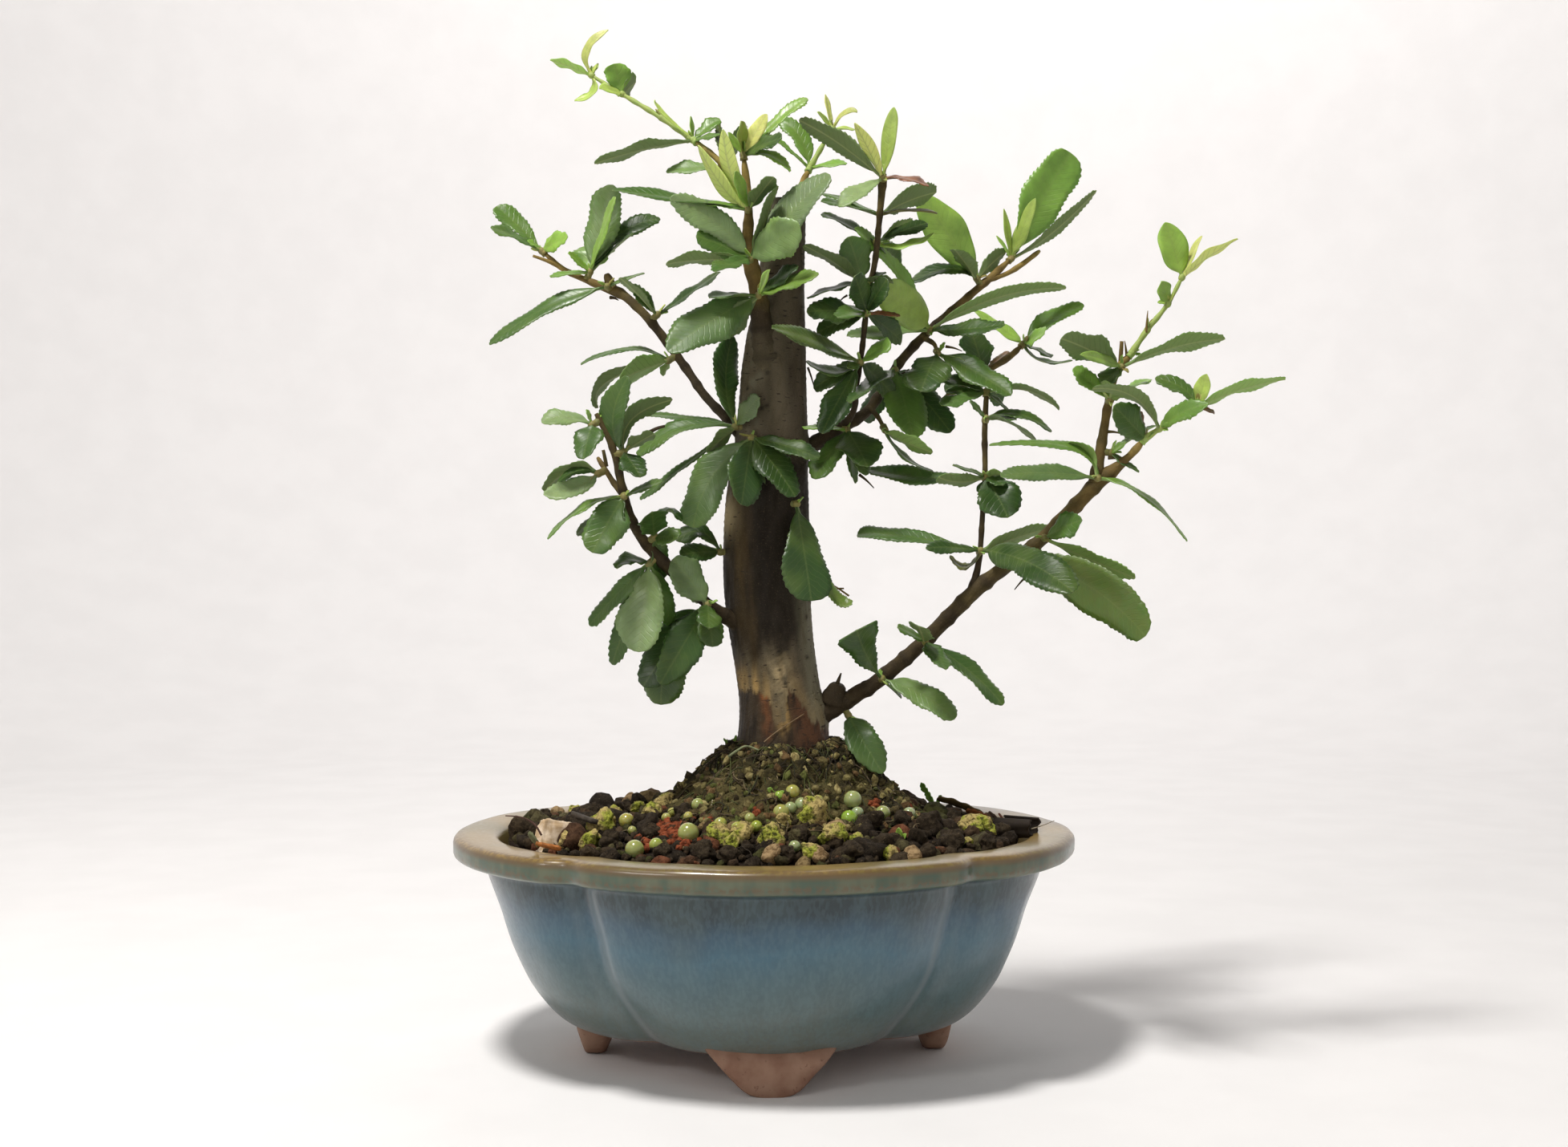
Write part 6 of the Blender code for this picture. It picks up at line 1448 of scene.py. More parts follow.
def onGround(across, up, sink):
    # Where the line of sight of a reading first meets the ground, raised by a share of its size.
    # A reading just over the skyline falls on the ground below the line's lowest pass
    away = np.linspace(-62, 62, 497)
    line = place(np.column_stack([np.full_like(away, across), np.full_like(away, up), away]))
    share = lobedPlace(line[:, 0] - potCentre[0], line[:, 1] - potCentre[1])
    gap = np.where(share < 0.83, line[:, 2] - sink - groundTop(line[:, 0], line[:, 1]), 1e3)
    if gap.min() <= 0:
        return line[np.argmax(gap <= 0)]
    spot = line[np.argmin(gap)]
    return spot - (0, 0, gap.min())


def makeSoil():
    # Rings of the lobed outline from the buried edge up over the crown to the middle
    buried = np.array(ground["buried"])
    shares = np.concatenate([buried[:, 0], np.linspace(0.825, 0.02, 90)])[:, None]
    insets = np.concatenate([buried[:, 1], np.zeros(90)])[:, None]
    angles = lobeAngles(math.radians(45.5), 60)[None, :]
    reach, _ = lobedReach(angles, shares, insets, pot["wallCrease"], 0.5)
    x, y = reach * np.cos(angles) + potCentre[0], reach * np.sin(angles) + potCentre[1]
    z = soilTop(x, y)
    z[:len(buried)] = buried[:, 2:]
    points = np.stack([x, y, z], -1)
    points[6:, :, 2] += 0.55 * ripple(points[6:], 5.0, 60) + 0.3 * ripple(points[6:], 2.0, 61) - 0.9
    return closedRings(points, potCentre + (0, 0, buried[0, 2]), potCentre + (0, 0, 60.5))


def makeMound():
    # Polar grid over the heap, roughened, that turns under at its edge and closes below
    angles = np.linspace(0, 2 * math.pi, 150, endpoint=False)
    radii = np.concatenate([[30.0, 33.5], np.linspace(33.5, 2.0, 62)])[:, None]
    swell = moundSwell(angles)
    x = moundCentre[0] + radii * swell * np.cos(angles)
    y = moundCentre[1] + radii * swell * np.sin(angles)
    z = np.interp(radii[:, 0], *np.array(ground["mound"]).T)[:, None] + 0 * x
    z[0], z[1] = 47.5, 49.0
    points = np.stack([x, y, z], -1)
    rough = 1.1 * ripple(points, 6.0, 70) + 0.8 * ripple(points, 2.6, 71) + 0.5 * ripple(points, 1.3, 72)
    outward = unit(np.stack([np.cos(angles) + 0 * z, np.sin(angles) + 0 * z, 0.8 + 0 * z], -1))
    points[2:] += (outward * rough[..., None])[2:]
    return closedRings(points, np.array([*moundCentre[:2], 47.5]), np.array([*moundCentre[:2], 73.0]))


def icoSphere(cuts):
    # Points and faces of a ball of radius 1
    import bmesh
    form = bmesh.new()
    bmesh.ops.create_icosphere(form, subdivisions=cuts, radius=1.0)
    points = np.array([vertex.co[:] for vertex in form.verts])
    faces = np.array([[vertex.index for vertex in face.verts] for face in form.faces])
    form.free()
    return points, faces


balls = {cuts: icoSphere(cuts) for cuts in (1, 2, 3, 4)}


def makeLumps(centres, sizes, paints, cuts, seed, rough=0.3, squash=(0.7, 1.0), grit=0.0):
    # Balls pushed in and out by sine waves, stretched and turned at random, one for each centre
    draw = np.random.default_rng(seed)
    points, faces = balls[cuts]
    count = len(centres)
    basis = draw.normal(size=(count, 3, 3))
    turned, _ = np.linalg.qr(basis)
    turned *= np.sign(np.linalg.det(turned))[:, None, None]
    shift = draw.uniform(-50, 50, (count, 1, 3))
    push = 1 + rough * ripple(points[None] + shift, 1.6, seed + 1)
    push += 0.5 * rough * ripple(points[None] + shift, 0.8, seed + 2)
    push += grit * ripple(points[None] * 4 + shift, 1.2, seed + 3)
    scale = draw.uniform(*squash, (count, 1, 3)) * np.asarray(sizes)[:, None, None]
    local = points[None] * push[..., None] * scale
    verts = np.einsum("nij,nkj->nki", turned, local) + np.asarray(centres)[:, None]
    numbers = (faces[None] + (np.arange(count) * len(points))[:, None, None]).reshape(-1, 3)
    paint = np.repeat(np.asarray(paints)[:, None], len(points), 1).reshape(-1, 3)
    return {"verts": verts.reshape(-1, 3), "quads": np.zeros((0, 4), int), "tris": numbers, "paint": paint}


def paintOf(*shades):
    # Screen shades as rows of linear colour
    return np.array([colour(*shade)[:3] for shade in shades])


def paintAll(shade, count):
    # One shade for every point or lump
    return np.tile(paintOf(shade), (count, 1))


# Colours of the loose clods and how common each is
clodShades = paintOf((50, 42, 32), (66, 55, 40), (80, 64, 47), (92, 66, 47), (112, 70, 48), (86, 80, 54),
                     (140, 120, 82), (76, 76, 42))
clodShares = (0.30, 0.24, 0.14, 0.07, 0.04, 0.09, 0.03, 0.09)


def scatterClods():
    # Darts thrown at the bed, largest first; one is kept where it doesn't lie in a kept one
    draw = np.random.default_rng(80)
    sizes = np.sort(np.concatenate([draw.uniform(low, high, count) for count, low, high in ground["clods"]]))[::-1]
    tries = len(sizes)
    spots = np.column_stack([draw.uniform(-66, 66, tries), draw.uniform(-56, 56, tries)])
    share = lobedPlace(spots[:, 0], spots[:, 1])
    kept = []
    for k in np.flatnonzero(share < 0.835 - sizes / 75 * 0.8):
        if kept:
            others = np.array(kept)
            if (np.hypot(*(spots[others] - spots[k]).T) < 0.74 * (sizes[others] + sizes[k])).any():
                continue
        kept.append(k)
        if len(kept) >= ground["clodKept"]:
            break
    kept = np.array(kept)
    x, y = spots[kept, 0] + potCentre[0], spots[kept, 1] + potCentre[1]
    z = groundTop(x, y) + sizes[kept] * draw.uniform(-0.55, 0.05, len(kept))
    free = moundTop(x, y) <= soilTop(x, y) + 1.0
    paints = clodShades[draw.choice(len(clodShades), len(kept), p=clodShares)] * draw.uniform(0.75, 1.2, (len(kept), 1))
    return np.column_stack([x, y, z])[free], sizes[kept][free], paints[free]


def scatterCrumbs():
    # Crumbs over the heap of roots, half sunk in it
    draw = np.random.default_rng(83)
    count = ground["crumbs"]
    angle, reach = draw.uniform(0, 2 * math.pi, count), np.sqrt(draw.uniform(7.0 ** 2, 33.0 ** 2, count))
    x, y = moundCentre[0] + reach * np.cos(angle), moundCentre[1] + reach * np.sin(angle)
    sizes = draw.uniform(*ground["crumbSize"], count) ** 1.3
    spots = np.column_stack([x, y, groundTop(x, y) + 0.3 * sizes])
    paints = crumbShades[draw.choice(len(crumbShades), count)] * draw.uniform(0.7, 1.25, (count, 1))
    return spots, sizes, paints


crumbShades = paintOf((84, 74, 46), (110, 100, 64), (142, 132, 84), (64, 56, 36), (166, 154, 104), (100, 106, 54),
                      (116, 92, 60))
# What lies on the soil, by reading: across, up, half size
pumice = (
    (-42.3, 50.2, 2.7), (-39.4, 54.6, 3.8), (2.0, 50.6, 3.4), (-10.8, 51.8, 3.4), (-5.4, 52.0, 3.0), (11.6, 57.2, 3.8),
    (17.0, 51.6, 4.0), (-24.2, 59.8, 2.6), (51.0, 53.8, 3.8), (30.7, 47.2, 2.0), (11.2, 47.2, 2.4), (-46.8, 50.6, 3.0),
    (-27.6, 57.4, 2.4), (-36.4, 56.9, 1.9), (4.6, 55.2, 2.0), (-30.9, 58.3, 2.2), (-46.4, 58.2, 1.6), (-43.4, 58.9, 1.4),
    (22.4, 50.2, 2.0), (-28.8, 60.4, 1.5), (54.4, 52.6, 2.2), (49.4, 49.8, 1.6), (-8.0, 49.8, 2.0),
)
tanLumps = ((1.5, 46.5, 2.4), (36.0, 46.6, 2.4), (-32.4, 60.4, 2.2), (13.5, 46.4, 2.0), (-50.2, 57.2, 1.6),
            (17.2, 53.4, 2.6))
darkLumps = (
    (-42.3, 57.4, 2.9), (-34.4, 58.2, 2.5), (-30.1, 54.9, 2.5), (-28.2, 51.8, 2.4), (26.3, 54.9, 3.1), (40.6, 54.4, 3.6),
    (45.6, 50.4, 3.2), (37.0, 50.6, 2.9), (57.0, 52.4, 2.7), (28.8, 49.6, 2.8), (21.4, 47.6, 2.8), (-14.6, 47.4, 2.8),
    (-37.6, 50.0, 2.2), (-8.6, 46.9, 2.7), (5.2, 47.0, 2.4), (33.6, 54.8, 2.6), (-19.8, 57.4, 2.2), (46.6, 55.6, 2.4),
    (54.4, 49.6, 2.3), (-59.0, 54.6, 2.0), (-57.4, 51.0, 1.9), (-53.6, 57.2, 1.8), (8.6, 51.8, 2.5), (-24.6, 47.6, 2.2),
)
# Beads of plant food also have a tint, from 0 for grey-green to 1 for yellow-green
beads = (
    (-18.6, 52.1, 2.5, 0.35), (-31.7, 48.2, 2.2, 0.3), (-26.5, 49.3, 1.6, 0.8), (21.4, 60.3, 2.2, 0.2),
    (22.6, 57.1, 1.5, 0.0), (28.8, 57.1, 1.8, 0.25), (35.2, 56.9, 1.6, 0.0), (-10.8, 54.4, 1.6, 0.7),
    (-3.6, 55.8, 1.3, 0.35), (4.0, 57.3, 1.9, 0.45), (9.1, 59.1, 1.8, 0.1), (6.3, 58.3, 1.5, 0.1),
    (7.3, 48.9, 1.4, 0.1), (-16.3, 59.1, 1.6, 0.3), (-18.6, 56.2, 1.2, 0.6), (-33.7, 55.2, 1.9, 0.6),
    (-32.3, 52.8, 1.1, 0.4), (20.6, 55.7, 2.0, 1.0), (-6.6, 53.2, 1.7, 0.7), (6.8, 62.3, 1.7, 0.55),
    (3.5, 61.3, 1.2, 1.0), (-24.0, 55.9, 1.2, 0.5), (-2.0, 53.8, 1.4, 0.8), (-12.8, 51.8, 1.3, 0.4),
    (13.0, 60.2, 1.3, 0.5), (-22.6, 57.3, 1.1, 0.7),
)
# Crumbly red clay: across, up, reach across and up, crumbs
redPatches = (
    (-23.6, 53.4, 5.0, 2.6, 120), (-19.8, 50.6, 2.6, 2.2, 46), (-29.4, 50.4, 2.6, 1.8, 16), (-13.4, 55.4, 2.0, 1.0, 12),
    (36.2, 58.8, 1.8, 0.9, 9), (27.0, 59.3, 1.4, 1.2, 9), (43.2, 55.2, 1.4, 1.2, 8), (-1.8, 57.4, 1.2, 0.8, 7),
    (23.6, 53.0, 1.2, 1.4, 6), (41.0, 47.8, 1.0, 0.6, 4), (2.4, 48.6, 1.0, 0.8, 5), (-51.6, 52.4, 1.4, 1.4, 6),
)


def layLumps(name, items, sink, paints, cuts, seed, rough, material, squash=(0.7, 1.0), grit=0.06):
    # A piece of lumps, each where the line of sight of its reading meets the ground, sunk by a share of its size
    spots = [onGround(across, up, half * sink) for across, up, half, *_ in items]
    lumps = makeLumps(spots, [item[2] for item in items], paints, cuts, seed, rough, squash, grit)
    return makePiece(name, lumps, material, ["soil"])


def granuleFinish():
    # Rough mineral grains: the attribute's colour, mottled, dustier on top of small pits
    material, tree, shader = newMaterial("granuleFinish", 0.95, Specular_IOR_Level=0.2)
    paint = attributeParts(tree, "paint")[0]
    vector = objectPlace(tree)
    rough, grit = noise(tree, vector, 700.0, 5.0, 0.65), noise(tree, vector, 2200.0, 3.0, 0.6)
    darker = mixed(tree, 1.0, paint, (0.42, 0.38, 0.34, 1.0), "MULTIPLY")
    base = mixed(tree, spread(tree, rough, 0.38, 0.6), darker, paint)
    finish(tree, shader, coated(tree, base, (grit, 0.6, 0.72, 0.45, (128, 112, 86))))
    setBump(tree, shader, plus(tree, rough, times(tree, grit, 0.35)), 0.9, 0.0011)
    return material


def pumiceFinish():
    # Pale porous stone with yellow-green algae on its shoulders and a dark wet crust below
    material, tree, shader = newMaterial("pumiceFinish", 0.9, Specular_IOR_Level=0.25)
    paint = attributeParts(tree, "paint")[0]
    vector = objectPlace(tree)
    rough, broad = noise(tree, vector, 900.0, 5.0, 0.65), noise(tree, vector, 260.0, 3.0, 0.5)
    pits = cells(tree, vector, 1100.0)
    algae = ramp(tree, rough, ((0.35, (96, 108, 26)), (0.52, (154, 160, 56)), (0.68, (190, 186, 96))))
    base = mixed(tree, spread(tree, broad, 0.44, 0.58), paint, algae)
    finish(tree, shader, coated(tree, base, (rough, 0.40, 0.50, (0.7, 0.0), (62, 54, 34)),
                                (pits, 0.0, 0.28, (0.6, 0.0), (70, 62, 40))))
    setBump(tree, shader, plus(tree, rough, times(tree, pits, 0.5)), 0.9, 0.0012)
    return material


def beadFinish():
    # Translucent resin beads of plant food, pale to yellow-green
    material, tree, shader = newMaterial("beadFinish", 0.22, Specular_IOR_Level=0.5, Subsurface_Weight=0.35,
                                         Subsurface_Scale=0.0012, Coat_Weight=0.3, Coat_Roughness=0.15)
    tint = attributeParts(tree, "paint")[1]
    cloudy = noise(tree, objectPlace(tree), 500.0, 3.0, 0.5)
    base = ramp(tree, tint, ((0.0, (150, 166, 124)), (0.3, (148, 156, 88)), (0.6, (164, 158, 74)),
                             (1.0, (132, 168, 44))))
    finish(tree, shader, coated(tree, base, (cloudy, 0.4, 0.65, 0.3, (168, 172, 118))))
    return material


def earthFinish(name, dark, mid, pale, scale):
    # Fine crumbs in three shades, soaked dark high up and in clouds
    material, tree, shader = newMaterial(name, 0.95, Specular_IOR_Level=0.2)
    vector = objectPlace(tree)
    crumbs, fine = noise(tree, vector, scale, 6.0, 0.68), noise(tree, vector, scale * 4, 3.0, 0.6)
    base = ramp(tree, crumbs, ((0.34, dark), (0.5, mid), (0.62, dark), (0.72, pale)))
    cloudy = noise(tree, vector, scale * 0.22, 3.0, 0.6)
    soaked = [value * 0.42 for value in dark]
    height = heightOf(tree, vector)
    finish(tree, shader, coated(tree, base, (fine, 0.6, 0.75, 0.6, pale), (height, 0.0665, 0.0725, 0.5, soaked),
                                (cloudy, 0.46, 0.64, 0.75, soaked)))
    setBump(tree, shader, plus(tree, crumbs, times(tree, fine, 0.4)), 1.0, 0.0014)
    return material


def fibreFinish():
    # Roots and litter: the attribute's colour with dark patches
    material, tree, shader = newMaterial("fibreFinish", 0.8, Specular_IOR_Level=0.3)
    paint = attributeParts(tree, "paint")[0]
    patches = noise(tree, objectPlace(tree), 600.0, 3.0, 0.6)
    finish(tree, shader, coated(tree, paint, (patches, 0.4, 0.65, 0.5, (44, 36, 24))))
    setBump(tree, shader, patches, 0.5, 0.0002)
    return material


def makeFibres(count, seed, shades, long, thick, region, steps=11):
    # Roots and threads: short walks over the ground with a slow bend, lifted in the middle
    draw = np.random.default_rng(seed)
    parts = []
    for _ in range(count):
        x, y = region(draw)
        length, radius = draw.uniform(*long), draw.uniform(*thick)
        heading = draw.uniform(0, 2 * math.pi) + np.cumsum(draw.normal(0, 0.28, steps))
        move = length / steps
        xs, ys = x + np.cumsum(np.cos(heading)) * move, y + np.cumsum(np.sin(heading)) * move
        lift = draw.uniform(0.1, 1.5) * np.sin(np.linspace(0, math.pi, steps)) + draw.uniform(0.0, 0.35)
        lift = lift + 0.35 * ripple(np.column_stack([xs, ys, xs]), 4.0, seed)
        path = np.column_stack([xs, ys, groundTop(xs, ys) + lift])
        paint = shades[draw.integers(len(shades))] * draw.uniform(0.7, 1.25)
        parts.append(tube(path, radius * (1 - 0.5 * np.linspace(0, 1, steps)), 4, paint=paint)[0])
    return parts


def overMound(draw):
    # A random spot on the heap of roots
    angle, reach = draw.uniform(0, 2 * math.pi), draw.uniform(9, 31)
    return moundCentre[0] + reach * math.cos(angle), moundCentre[1] + reach * math.sin(angle)


def overSoil(draw):
    # A random spot on the bed of soil: drawn again until it is inside the rim
    while True:
        x, y = draw.uniform(-60, 60), draw.uniform(-50, 50)
        if lobedPlace(x, y) < 0.74:
            return x + potCentre[0], y + potCentre[1]


def redCrumbs():
    # Readings of crumbs thrown round the middle of each patch
    draw = np.random.default_rng(84)
    return [(x + draw.normal() * wide * 0.5, up + draw.normal() * high * 0.5, draw.uniform(0.45, 1.2))
            for x, up, wide, high, count in redPatches for _ in range(count)]


def makeBlock(reading, reach, turn, seed, paint, square=0.45, sink=0.3, rough=0.16):
    # Chunk with blunt corners: a ball's points raised to a power, sized along three axes, roughened and turned
    points, faces = balls[4]
    form = np.sign(points) * np.abs(points) ** square
    form /= np.abs(form).max(0)
    uneven = ripple(points + seed, 0.9, seed) + 0.35 * ripple(points + seed, 0.3, seed + 1)
    form *= 1 + rough * uneven[:, None]
    turns = [Matrix.Rotation(math.radians(angle), 3, axis) for angle, axis in zip(turn, "ZYX")]
    aboutZ, aboutY, aboutX = map(np.array, turns)
    verts = (form * reach) @ (aboutZ @ aboutY @ aboutX).T + onGround(*reading, reach[2] * sink)
    return {"verts": verts, "quads": np.zeros((0, 4), int), "tris": faces, "paint": paintAll(paint, len(verts))}


def sheet(top, low, paint):
    # The two faces of a thin body, grids of the same size, joined round their edge
    verts = np.vstack([top.reshape(-1, 3), low.reshape(-1, 3)])
    return {"verts": verts, "quads": bladeFaces(*top.shape[:2]), "tris": np.zeros((0, 3), int),
            "paint": paintAll(paint, len(verts))}


def makeStrip(path, half, thick, paint, roll=0.0, curl=0.0):
    # Thin flake on a path: a grid across it, bent by curl u^2, with an upper and a lower face
    path = smoothPath(path, 0.4)
    along = unit(np.gradient(path, axis=0))
    level = unit(np.cross(along, (0.0, 0.0, 1.0)))
    side = level * math.cos(roll) + np.cross(level, along) * math.sin(roll)
    normal = np.cross(side, along)
    u = np.linspace(-1, 1, 7)
    t = np.linspace(0, 1, len(path))
    wide = half * np.sqrt(np.clip(1 - (2 * t - 1) ** 4, 0.04, 1)) * (1 + 0.15 * np.sin(t * 23))
    off, lift = u * wide[:, None], curl * u ** 2 * wide[:, None]
    middle = path[:, None] + side[:, None] * off[..., None] + normal[:, None] * lift[..., None]
    return sheet(middle + normal[:, None] * thick / 2, middle - normal[:, None] * thick / 2, paint)


def makeRoll(reading, axis, long, radius, opened, thick, paint):
    # Curled piece of bark: part of a tube round an axis in the plan, open at the top and ragged at its ends
    middle = place(reading)
    way = unit(np.array([math.cos(math.radians(axis)), math.sin(math.radians(axis)), 0.06]))
    side = unit(np.cross((0.0, 0.0, 1.0), way))
    up = np.cross(way, side)
    angles = np.radians(np.linspace(opened[0], opened[1], 34))[:, None]
    t = np.linspace(-1, 1, 26)[None, :]
    reach = radius * (1 + 0.06 * np.sin(angles * 5) - 0.10 * t)
    length = long / 2 * (1 + 0.09 * np.sin(angles * 3.0) + 0.05 * np.sin(angles * 9.0))

    def shell(r):
        ring = side * (r * np.cos(angles))[..., None] + up * (r * np.sin(angles))[..., None]
        return middle + ring + way * (length * t)[..., None]

    return sheet(shell(reach - thick), shell(reach), paint)


def onMound(readings, lift):
    # Readings carried to the ground along the line of sight and lifted a little
    return np.array([onGround(across, up, 0.0) + (0, 0, lift) for across, up in readings])


def makeRoot(readings, radius, paint, lift=0.3):
    # Root through readings: two numbers lie on the ground, three give the depth themselves
    path = place(readings) if len(readings[0]) == 3 else onMound(readings, lift)
    path = smoothPath(path, 0.4)
    part, _ = tube(path, radius * (1 - 0.45 * np.linspace(0, 1, len(path))), 6, paint=paintOf(paint)[0])
    return part


# Single roots and hairs: readings from the thick end, radius, colour
singleRoots = (
    (((25.6, 66.4, 0), (27.0, 65.1, 0), (28.6, 66.1, -0.5), (29.7, 64.9, -1), (29.2, 62.2, -1)), 0.34, (42, 34, 26)),
    (((19.8, 70.2, -1), (23.0, 71.0, 0), (26.8, 71.4, 1.0)), 0.4, (36, 30, 22)),
    (((30.2, 62.6, 0), (32.0, 61.8, 1), (33.4, 59.8, 1)), 0.3, (52, 40, 30)),
    (((10.6, 62.8), (12.2, 60.9), (15.0, 59.4)), 0.2, (176, 158, 140)),
    (((-13.4, 62.6), (-13.0, 60.8), (-12.7, 59.4), (-13.2, 58.2)), 0.24, (190, 180, 152)),
    (((-16.2, 65.6), (-12.6, 65.0), (-9.0, 64.4)), 0.8, (92, 76, 50)),
    (((-8.8, 70.8, -12), (-6.6, 72.4, -12.4), (-4.4, 73.4, -12.6), (-1.4, 72.4, -12.8)), 0.34, (132, 140, 104)),
    (((-0.2, 74.4, -11.6), (3.0, 77.0, -11.2), (6.0, 79.0, -10.4), (9.6, 81.3, -8.6)), 0.14, (140, 118, 88)),
    (((12.0, 70.2), (15.4, 69.4), (17.4, 67.8)), 0.26, (112, 96, 70)),
    (((4.6, 72.2), (6.6, 70.8), (8.2, 70.2)), 0.22, (150, 140, 112)),
    (((-12.2, 67.0), (-12.6, 64.0), (-12.0, 61.0)), 0.2, (84, 70, 46)),
    (((-9.0, 66.4), (-4.6, 62.8), (-1.2, 60.4)), 0.24, (78, 66, 46)),
    (((-54.4, 51.6, -36), (-56.2, 54.4, -36), (-59.2, 56.0, -36.6), (-63.2, 56.4, -37)), 0.26, (92, 66, 58)),
    (((65.0, 53.2, -14), (67.6, 54.0, -14), (70.6, 55.2, -14.6)), 0.14, (150, 140, 118)),
)
# Flakes of leaf and bark: readings with depth, half width, thickness, colour, roll, curl
flakes = (
    (((42.0, 60.4, 6), (45.4, 59.6, 4), (49.6, 58.0, 2), (53.8, 56.2, 0)), 1.5, 0.3, (86, 70, 36), 0.7, 0.2),
    (((49.0, 57.6, 0), (52.0, 56.6, -1), (54.6, 55.6, -2)), 1.1, 0.3, (128, 74, 34), 0.9, 0.2),
    (((54.6, 57.4, -4), (56.6, 55.6, -5), (58.6, 53.8, -6)), 0.7, 0.5, (58, 42, 30), 0.4, 0.2),
    (((57.0, 57.0, -5), (58.2, 55.4, -5.6), (59.4, 54.0, -6)), 0.5, 0.4, (96, 52, 34), 0.2, 0.1),
    (((-47.0, 57.0, -20), (-44.0, 55.8, -22), (-40.8, 54.8, -24)), 1.3, 1.1, (66, 58, 50), 0.2, 0.0),
    (((-57.6, 52.0, -36), (-56.4, 50.6, -37), (-55.2, 49.0, -38)), 1.5, 0.4, (104, 108, 76), 1.0, 0.1),
    (((-55.8, 49.6, -41), (-53.0, 48.9, -42), (-49.6, 48.3, -42)), 1.0, 0.6, (172, 108, 54), 0.5, 0.1),
)
# Sprouts: readings of foot and tip, width, turn, youth
sprouts = (
    ((41.6, 60.6), (38.0, 64.4), 1.7, 20, 0.62), ((41.4, 60.6), (43.0, 61.4), 1.2, 30, 0.6),
    ((2.6, 61.4), (0.8, 63.0), 1.1, 10, 0.72), ((33.0, 50.0), (32.6, 53.4), 1.6, 20, 0.8),
    ((33.0, 50.0), (34.4, 52.0), 1.1, 20, 0.78), ((-14.6, 58.0), (-13.8, 56.0), 1.3, 30, 0.62),
    ((3.2, 61.2), (4.6, 62.4), 0.9, 20, 0.75), ((6.4, 55.0), (5.4, 53.4), 1.3, 30, 0.75),
    ((-7.6, 73.6), (-7.0, 76.0), 0.7, 20, 0.5), ((-8.8, 73.0), (-10.0, 75.2), 0.5, 20, 0.45),
    ((-9.4, 72.8), (-9.2, 75.0), 0.4, 20, 0.45),
)


def makeSprouts():
    # Small blades, each from the ground at its foot to its tip
    draw = np.random.default_rng(97)
    parts = []
    for (x0, up0), (x1, up1), width, turn, youth in sprouts:
        foot = onGround(x0, up0, 0.0)
        tip = place((x1, up1, depthOf(foot) - 0.8))
        parts.append(blade(foot, tip, (foot + tip) / 2 + (0, 0, 0.3), width, turn, 1.0, (youth, 0.3, 0.0), draw))
    return parts


granule = granuleFinish()
soilBed = earthFinish("soilBedFinish", (34, 28, 22), (54, 42, 32), (84, 66, 46), 420.0)
makePiece("soilBed", makeSoil(), soilBed, ["soil"])
spots, sizes, paints = scatterClods()
coarse = int((sizes > ground["coarse"]).sum())
for name, pick, cuts in (("soilClods", slice(None, coarse), 3), ("soilGrains", slice(coarse, None), 2)):
    clods = makeLumps(spots[pick], sizes[pick], paints[pick], cuts, 90, 0.36, (0.62, 1.1), 0.05)
    makePiece(name, clods, granule, ["soil"])
for name, items, sink, shade, cuts, seed, rough in (
        ("redClayCrumbs", redCrumbs(), 0.1, (152, 80, 50), 2, 91, 0.34),
        ("tanLumps", tanLumps, 0.4, (168, 142, 104), 3, 92, 0.28),
        ("darkLumps", darkLumps, 0.35, (60, 51, 38), 4, 98, 0.30)):
    layLumps(name, items, sink, paintAll(shade, len(items)), cuts, seed, rough, granule)
layLumps("pumiceLumps", pumice, 0.35, paintAll((190, 170, 108), len(pumice)), 4, 93, 0.32, pumiceFinish(), grit=0.1)
tints = [(tint, 0, 0) for *_, tint in beads]
layLumps("foodBeads", beads, 0.5, tints, 3, 94, 0.015, beadFinish(), squash=(0.96, 1.0), grit=0.0)
chunks = [makeBlock((-51.6, 50.8), (3.8, 2.6, 4.4), (20, 14, -12), 41, (214, 196, 168)),
          makeBlock((-52.6, 54.0), (2.2, 1.4, 1.0), (30, 20, 0), 42, (150, 126, 96))]
chunkFinish = plainFinish("chunkFinish", (232, 214, 190), (184, 158, 124), 260.0, 0.8)
makePiece("paleChunk", chunks, chunkFinish, ["soil"])
fibre = fibreFinish()
rootShades = paintOf((52, 42, 30), (70, 58, 40), (40, 34, 24), (62, 66, 34), (84, 90, 44), (120, 106, 78), (48, 50, 28))
fibres = makeFibres(520, 95, rootShades, (4, 13), (0.09, 0.22), overMound)
threads = makeFibres(50, 96, rootShades[[0, 1, 5]], (6, 14), (0.10, 0.2), overSoil)
mound = earthFinish("moundFinish", (60, 52, 30), (106, 97, 59), (178, 168, 114), 620.0)
debris = [makeStrip(place(path), *rest) for path, *rest in flakes]
debris.append(makeRoll((61.6, 54.0, -6), -38, 9.0, 3.1, (-222, 42), 0.6, (44, 36, 30)))
for name, parts, material, slot, node in (
        ("rootMound", makeMound(), mound, "moss_and_roots", "root_mound"),
        ("rootCrumbs", makeLumps(*scatterCrumbs(), 1, 85, 0.4, (0.6, 1.15)), granule, "moss_and_roots", "root_mound"),
        ("rootFibres", fibres, fibre, "moss_and_roots", "root_mound"),
        ("singleRoots", [makeRoot(*root) for root in singleRoots], fibre, "moss_and_roots", "root_mound"),
        ("soilThreads", threads, fibre, "moss_and_roots", "soil"),
        ("leafLitter", debris, fibre, "soil_grains", "soil"),
        ("soilSprouts", makeSprouts(), youngLeaf, "leaf_young", "soil")):
    makePiece(name, parts, material, [node])
print("soil done")


# ---- hidden drainage, kept from the CAD part

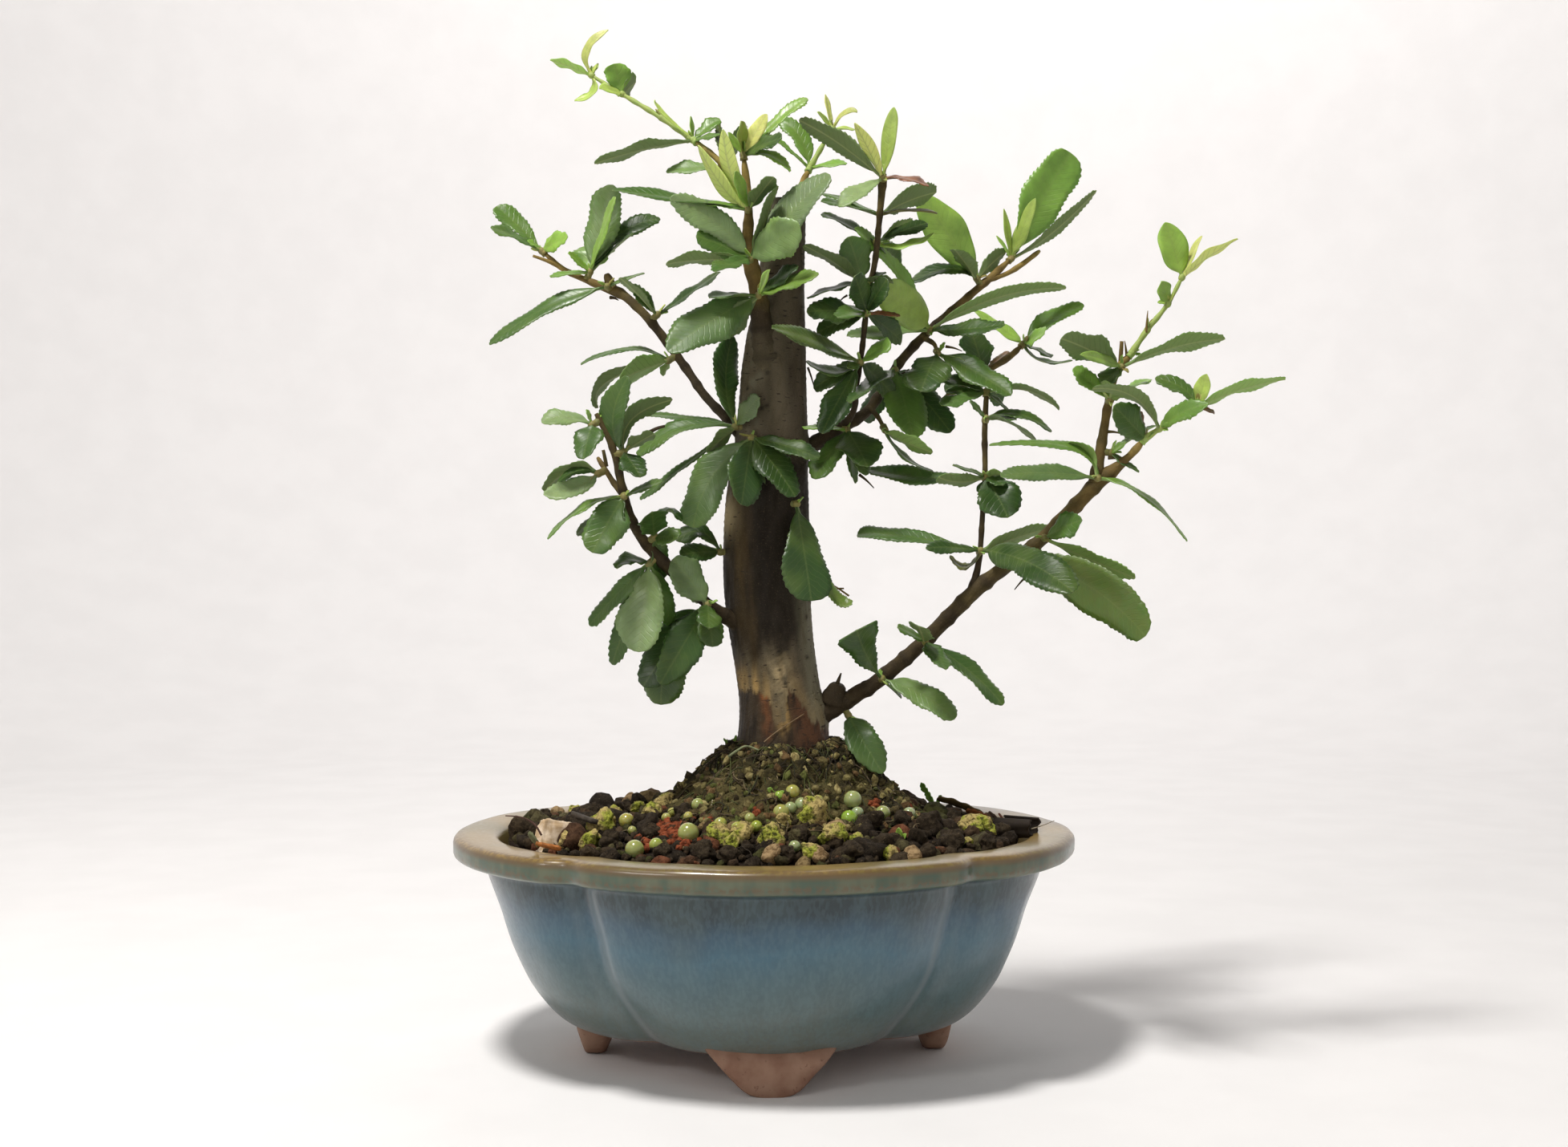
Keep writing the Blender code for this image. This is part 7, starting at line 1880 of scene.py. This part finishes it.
netting = plainFinish("nettingFinish", (52, 52, 48), (36, 36, 34), 900.0, 0.6)
gravel = plainFinish("gravelFinish", (134, 118, 100), (96, 84, 70), 300.0, 0.9)
hidden = (("drainage_screen_left", netting), ("drainage_screen_right", netting), ("drainage_gravel", gravel))
for name, material in hidden:
    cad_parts[name].data.materials.clear()
    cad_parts[name].data.materials.append(material)


# ---- floor, light and camera

studio = {
    # Sheet: reach of the flat floor, radius of the bend, height of the wall, faces round it and up the bend
    "floorReach": 700.0, "bend": 420.0, "wallTop": 1500.0, "sides": 96, "steps": 25,
    "cloth": (238, 237, 237),
    "world": (255, 251, 249), "worldStrength": 0.03,
    # lights: place, aim, size, watts, colour
    "top": ((-240, -230, 870), (0, 0, 60), 150, 7.3, (255, 252, 248)),
    "key": ((-600, -540, 540), (0, 0, 110), 150, 0.9, (255, 250, 245)),
    "wash": ((110, 540, 1000), (90, 1120, 560), 500, 4.6, (255, 252, 250)),
}


def makeCloth():
    # Round sheet, open above: a floor, a quarter circle upwards and a wall, carried round the object
    floor, radius, sides = studio["floorReach"], studio["bend"], studio["sides"]
    bend = np.radians(np.linspace(0, 90, studio["steps"]))
    reach = np.concatenate([[floor * 0.3], floor + radius * np.sin(bend), [floor + radius]])[:, None]
    height = np.concatenate([[0.0], radius * (1 - np.cos(bend)), [studio["wallTop"]]])[:, None]
    around = np.linspace(0, 2 * math.pi, sides, endpoint=False)
    rows = np.stack([reach * np.cos(around), reach * np.sin(around), height + 0 * around], -1)
    fan = [(rows.size // 3, k, (k + 1) % sides) for k in range(sides)]
    mesh = bpy.data.meshes.new("backdrop")
    mesh.from_pydata((np.vstack([rows.reshape(-1, 3), (0, 0, 0)]) * toMetres).tolist(), [],
                     gridQuads(len(reach), sides, around=True)[:, ::-1].tolist() + fan)
    mesh.shade_smooth()
    material, tree, shader = newMaterial("backdropCloth", 0.95, Specular_IOR_Level=0.1)
    weave = noise(tree, objectPlace(tree), 30.0, 3.0, 0.5)
    darker = [value - 3 for value in studio["cloth"]]
    finish(tree, shader, coated(tree, colour(*studio["cloth"]), (weave, 0.3, 0.7, 1.0, darker)))
    mesh.materials.append(material)
    cloth = bpy.data.objects.new("backdrop", mesh)
    bpy.context.scene.collection.objects.link(cloth)
    cloth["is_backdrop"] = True


def aimed(thing, start, target):
    # Turn an object at start so that its -Z axis points at the target
    thing.location = Vector(start) * toMetres
    thing.rotation_euler = (Vector(target) - Vector(start)).to_track_quat("-Z", "Y").to_euler()


def makeLight(name):
    # A round soft light
    start, target, size, watts, shade = studio[name]
    data = bpy.data.lights.new(name, "AREA")
    data.shape, data.size, data.energy, data.color = "DISK", size * toMetres, watts, colour(*shade)[:3]
    light = bpy.data.objects.new(name, data)
    bpy.context.scene.collection.objects.link(light)
    aimed(light, start, target)


makeCloth()
for name in ("top", "key", "wash"):
    makeLight(name)
world = bpy.data.worlds.new("studio")
bpy.context.scene.world = world
world.use_nodes = True
sky = world.node_tree.nodes["Background"]
sky.inputs["Color"].default_value = colour(*studio["world"])
sky.inputs["Strength"].default_value = studio["worldStrength"]
bpy.context.scene.view_settings.view_transform = "Standard"

# Photograph's width and focal length in pixels, sensor in millimetres, tilt in degrees, near and far limits in metres
lens = {"pixelsAcross": 1955, "focal": 2356.6, "sensor": 36.0, "down": 0.63, "sight": (0.01, 10.0)}
cameraData = bpy.data.cameras.new("camera")
cameraData.sensor_width = lens["sensor"]
cameraData.lens = lens["focal"] / lens["pixelsAcross"] * lens["sensor"]
cameraData.clip_start, cameraData.clip_end = lens["sight"]
camera = bpy.data.objects.new("camera", cameraData)
bpy.context.scene.collection.objects.link(camera)
camera.location = eye * toMetres
camera.rotation_euler = (math.radians(90 - lens["down"]), 0, -viewer["turn"])
bpy.context.scene.camera = camera

sizes = {"cad": [list(corner) for corner in cadBox], "visual": [list(corner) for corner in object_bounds()]}
print("stage done")
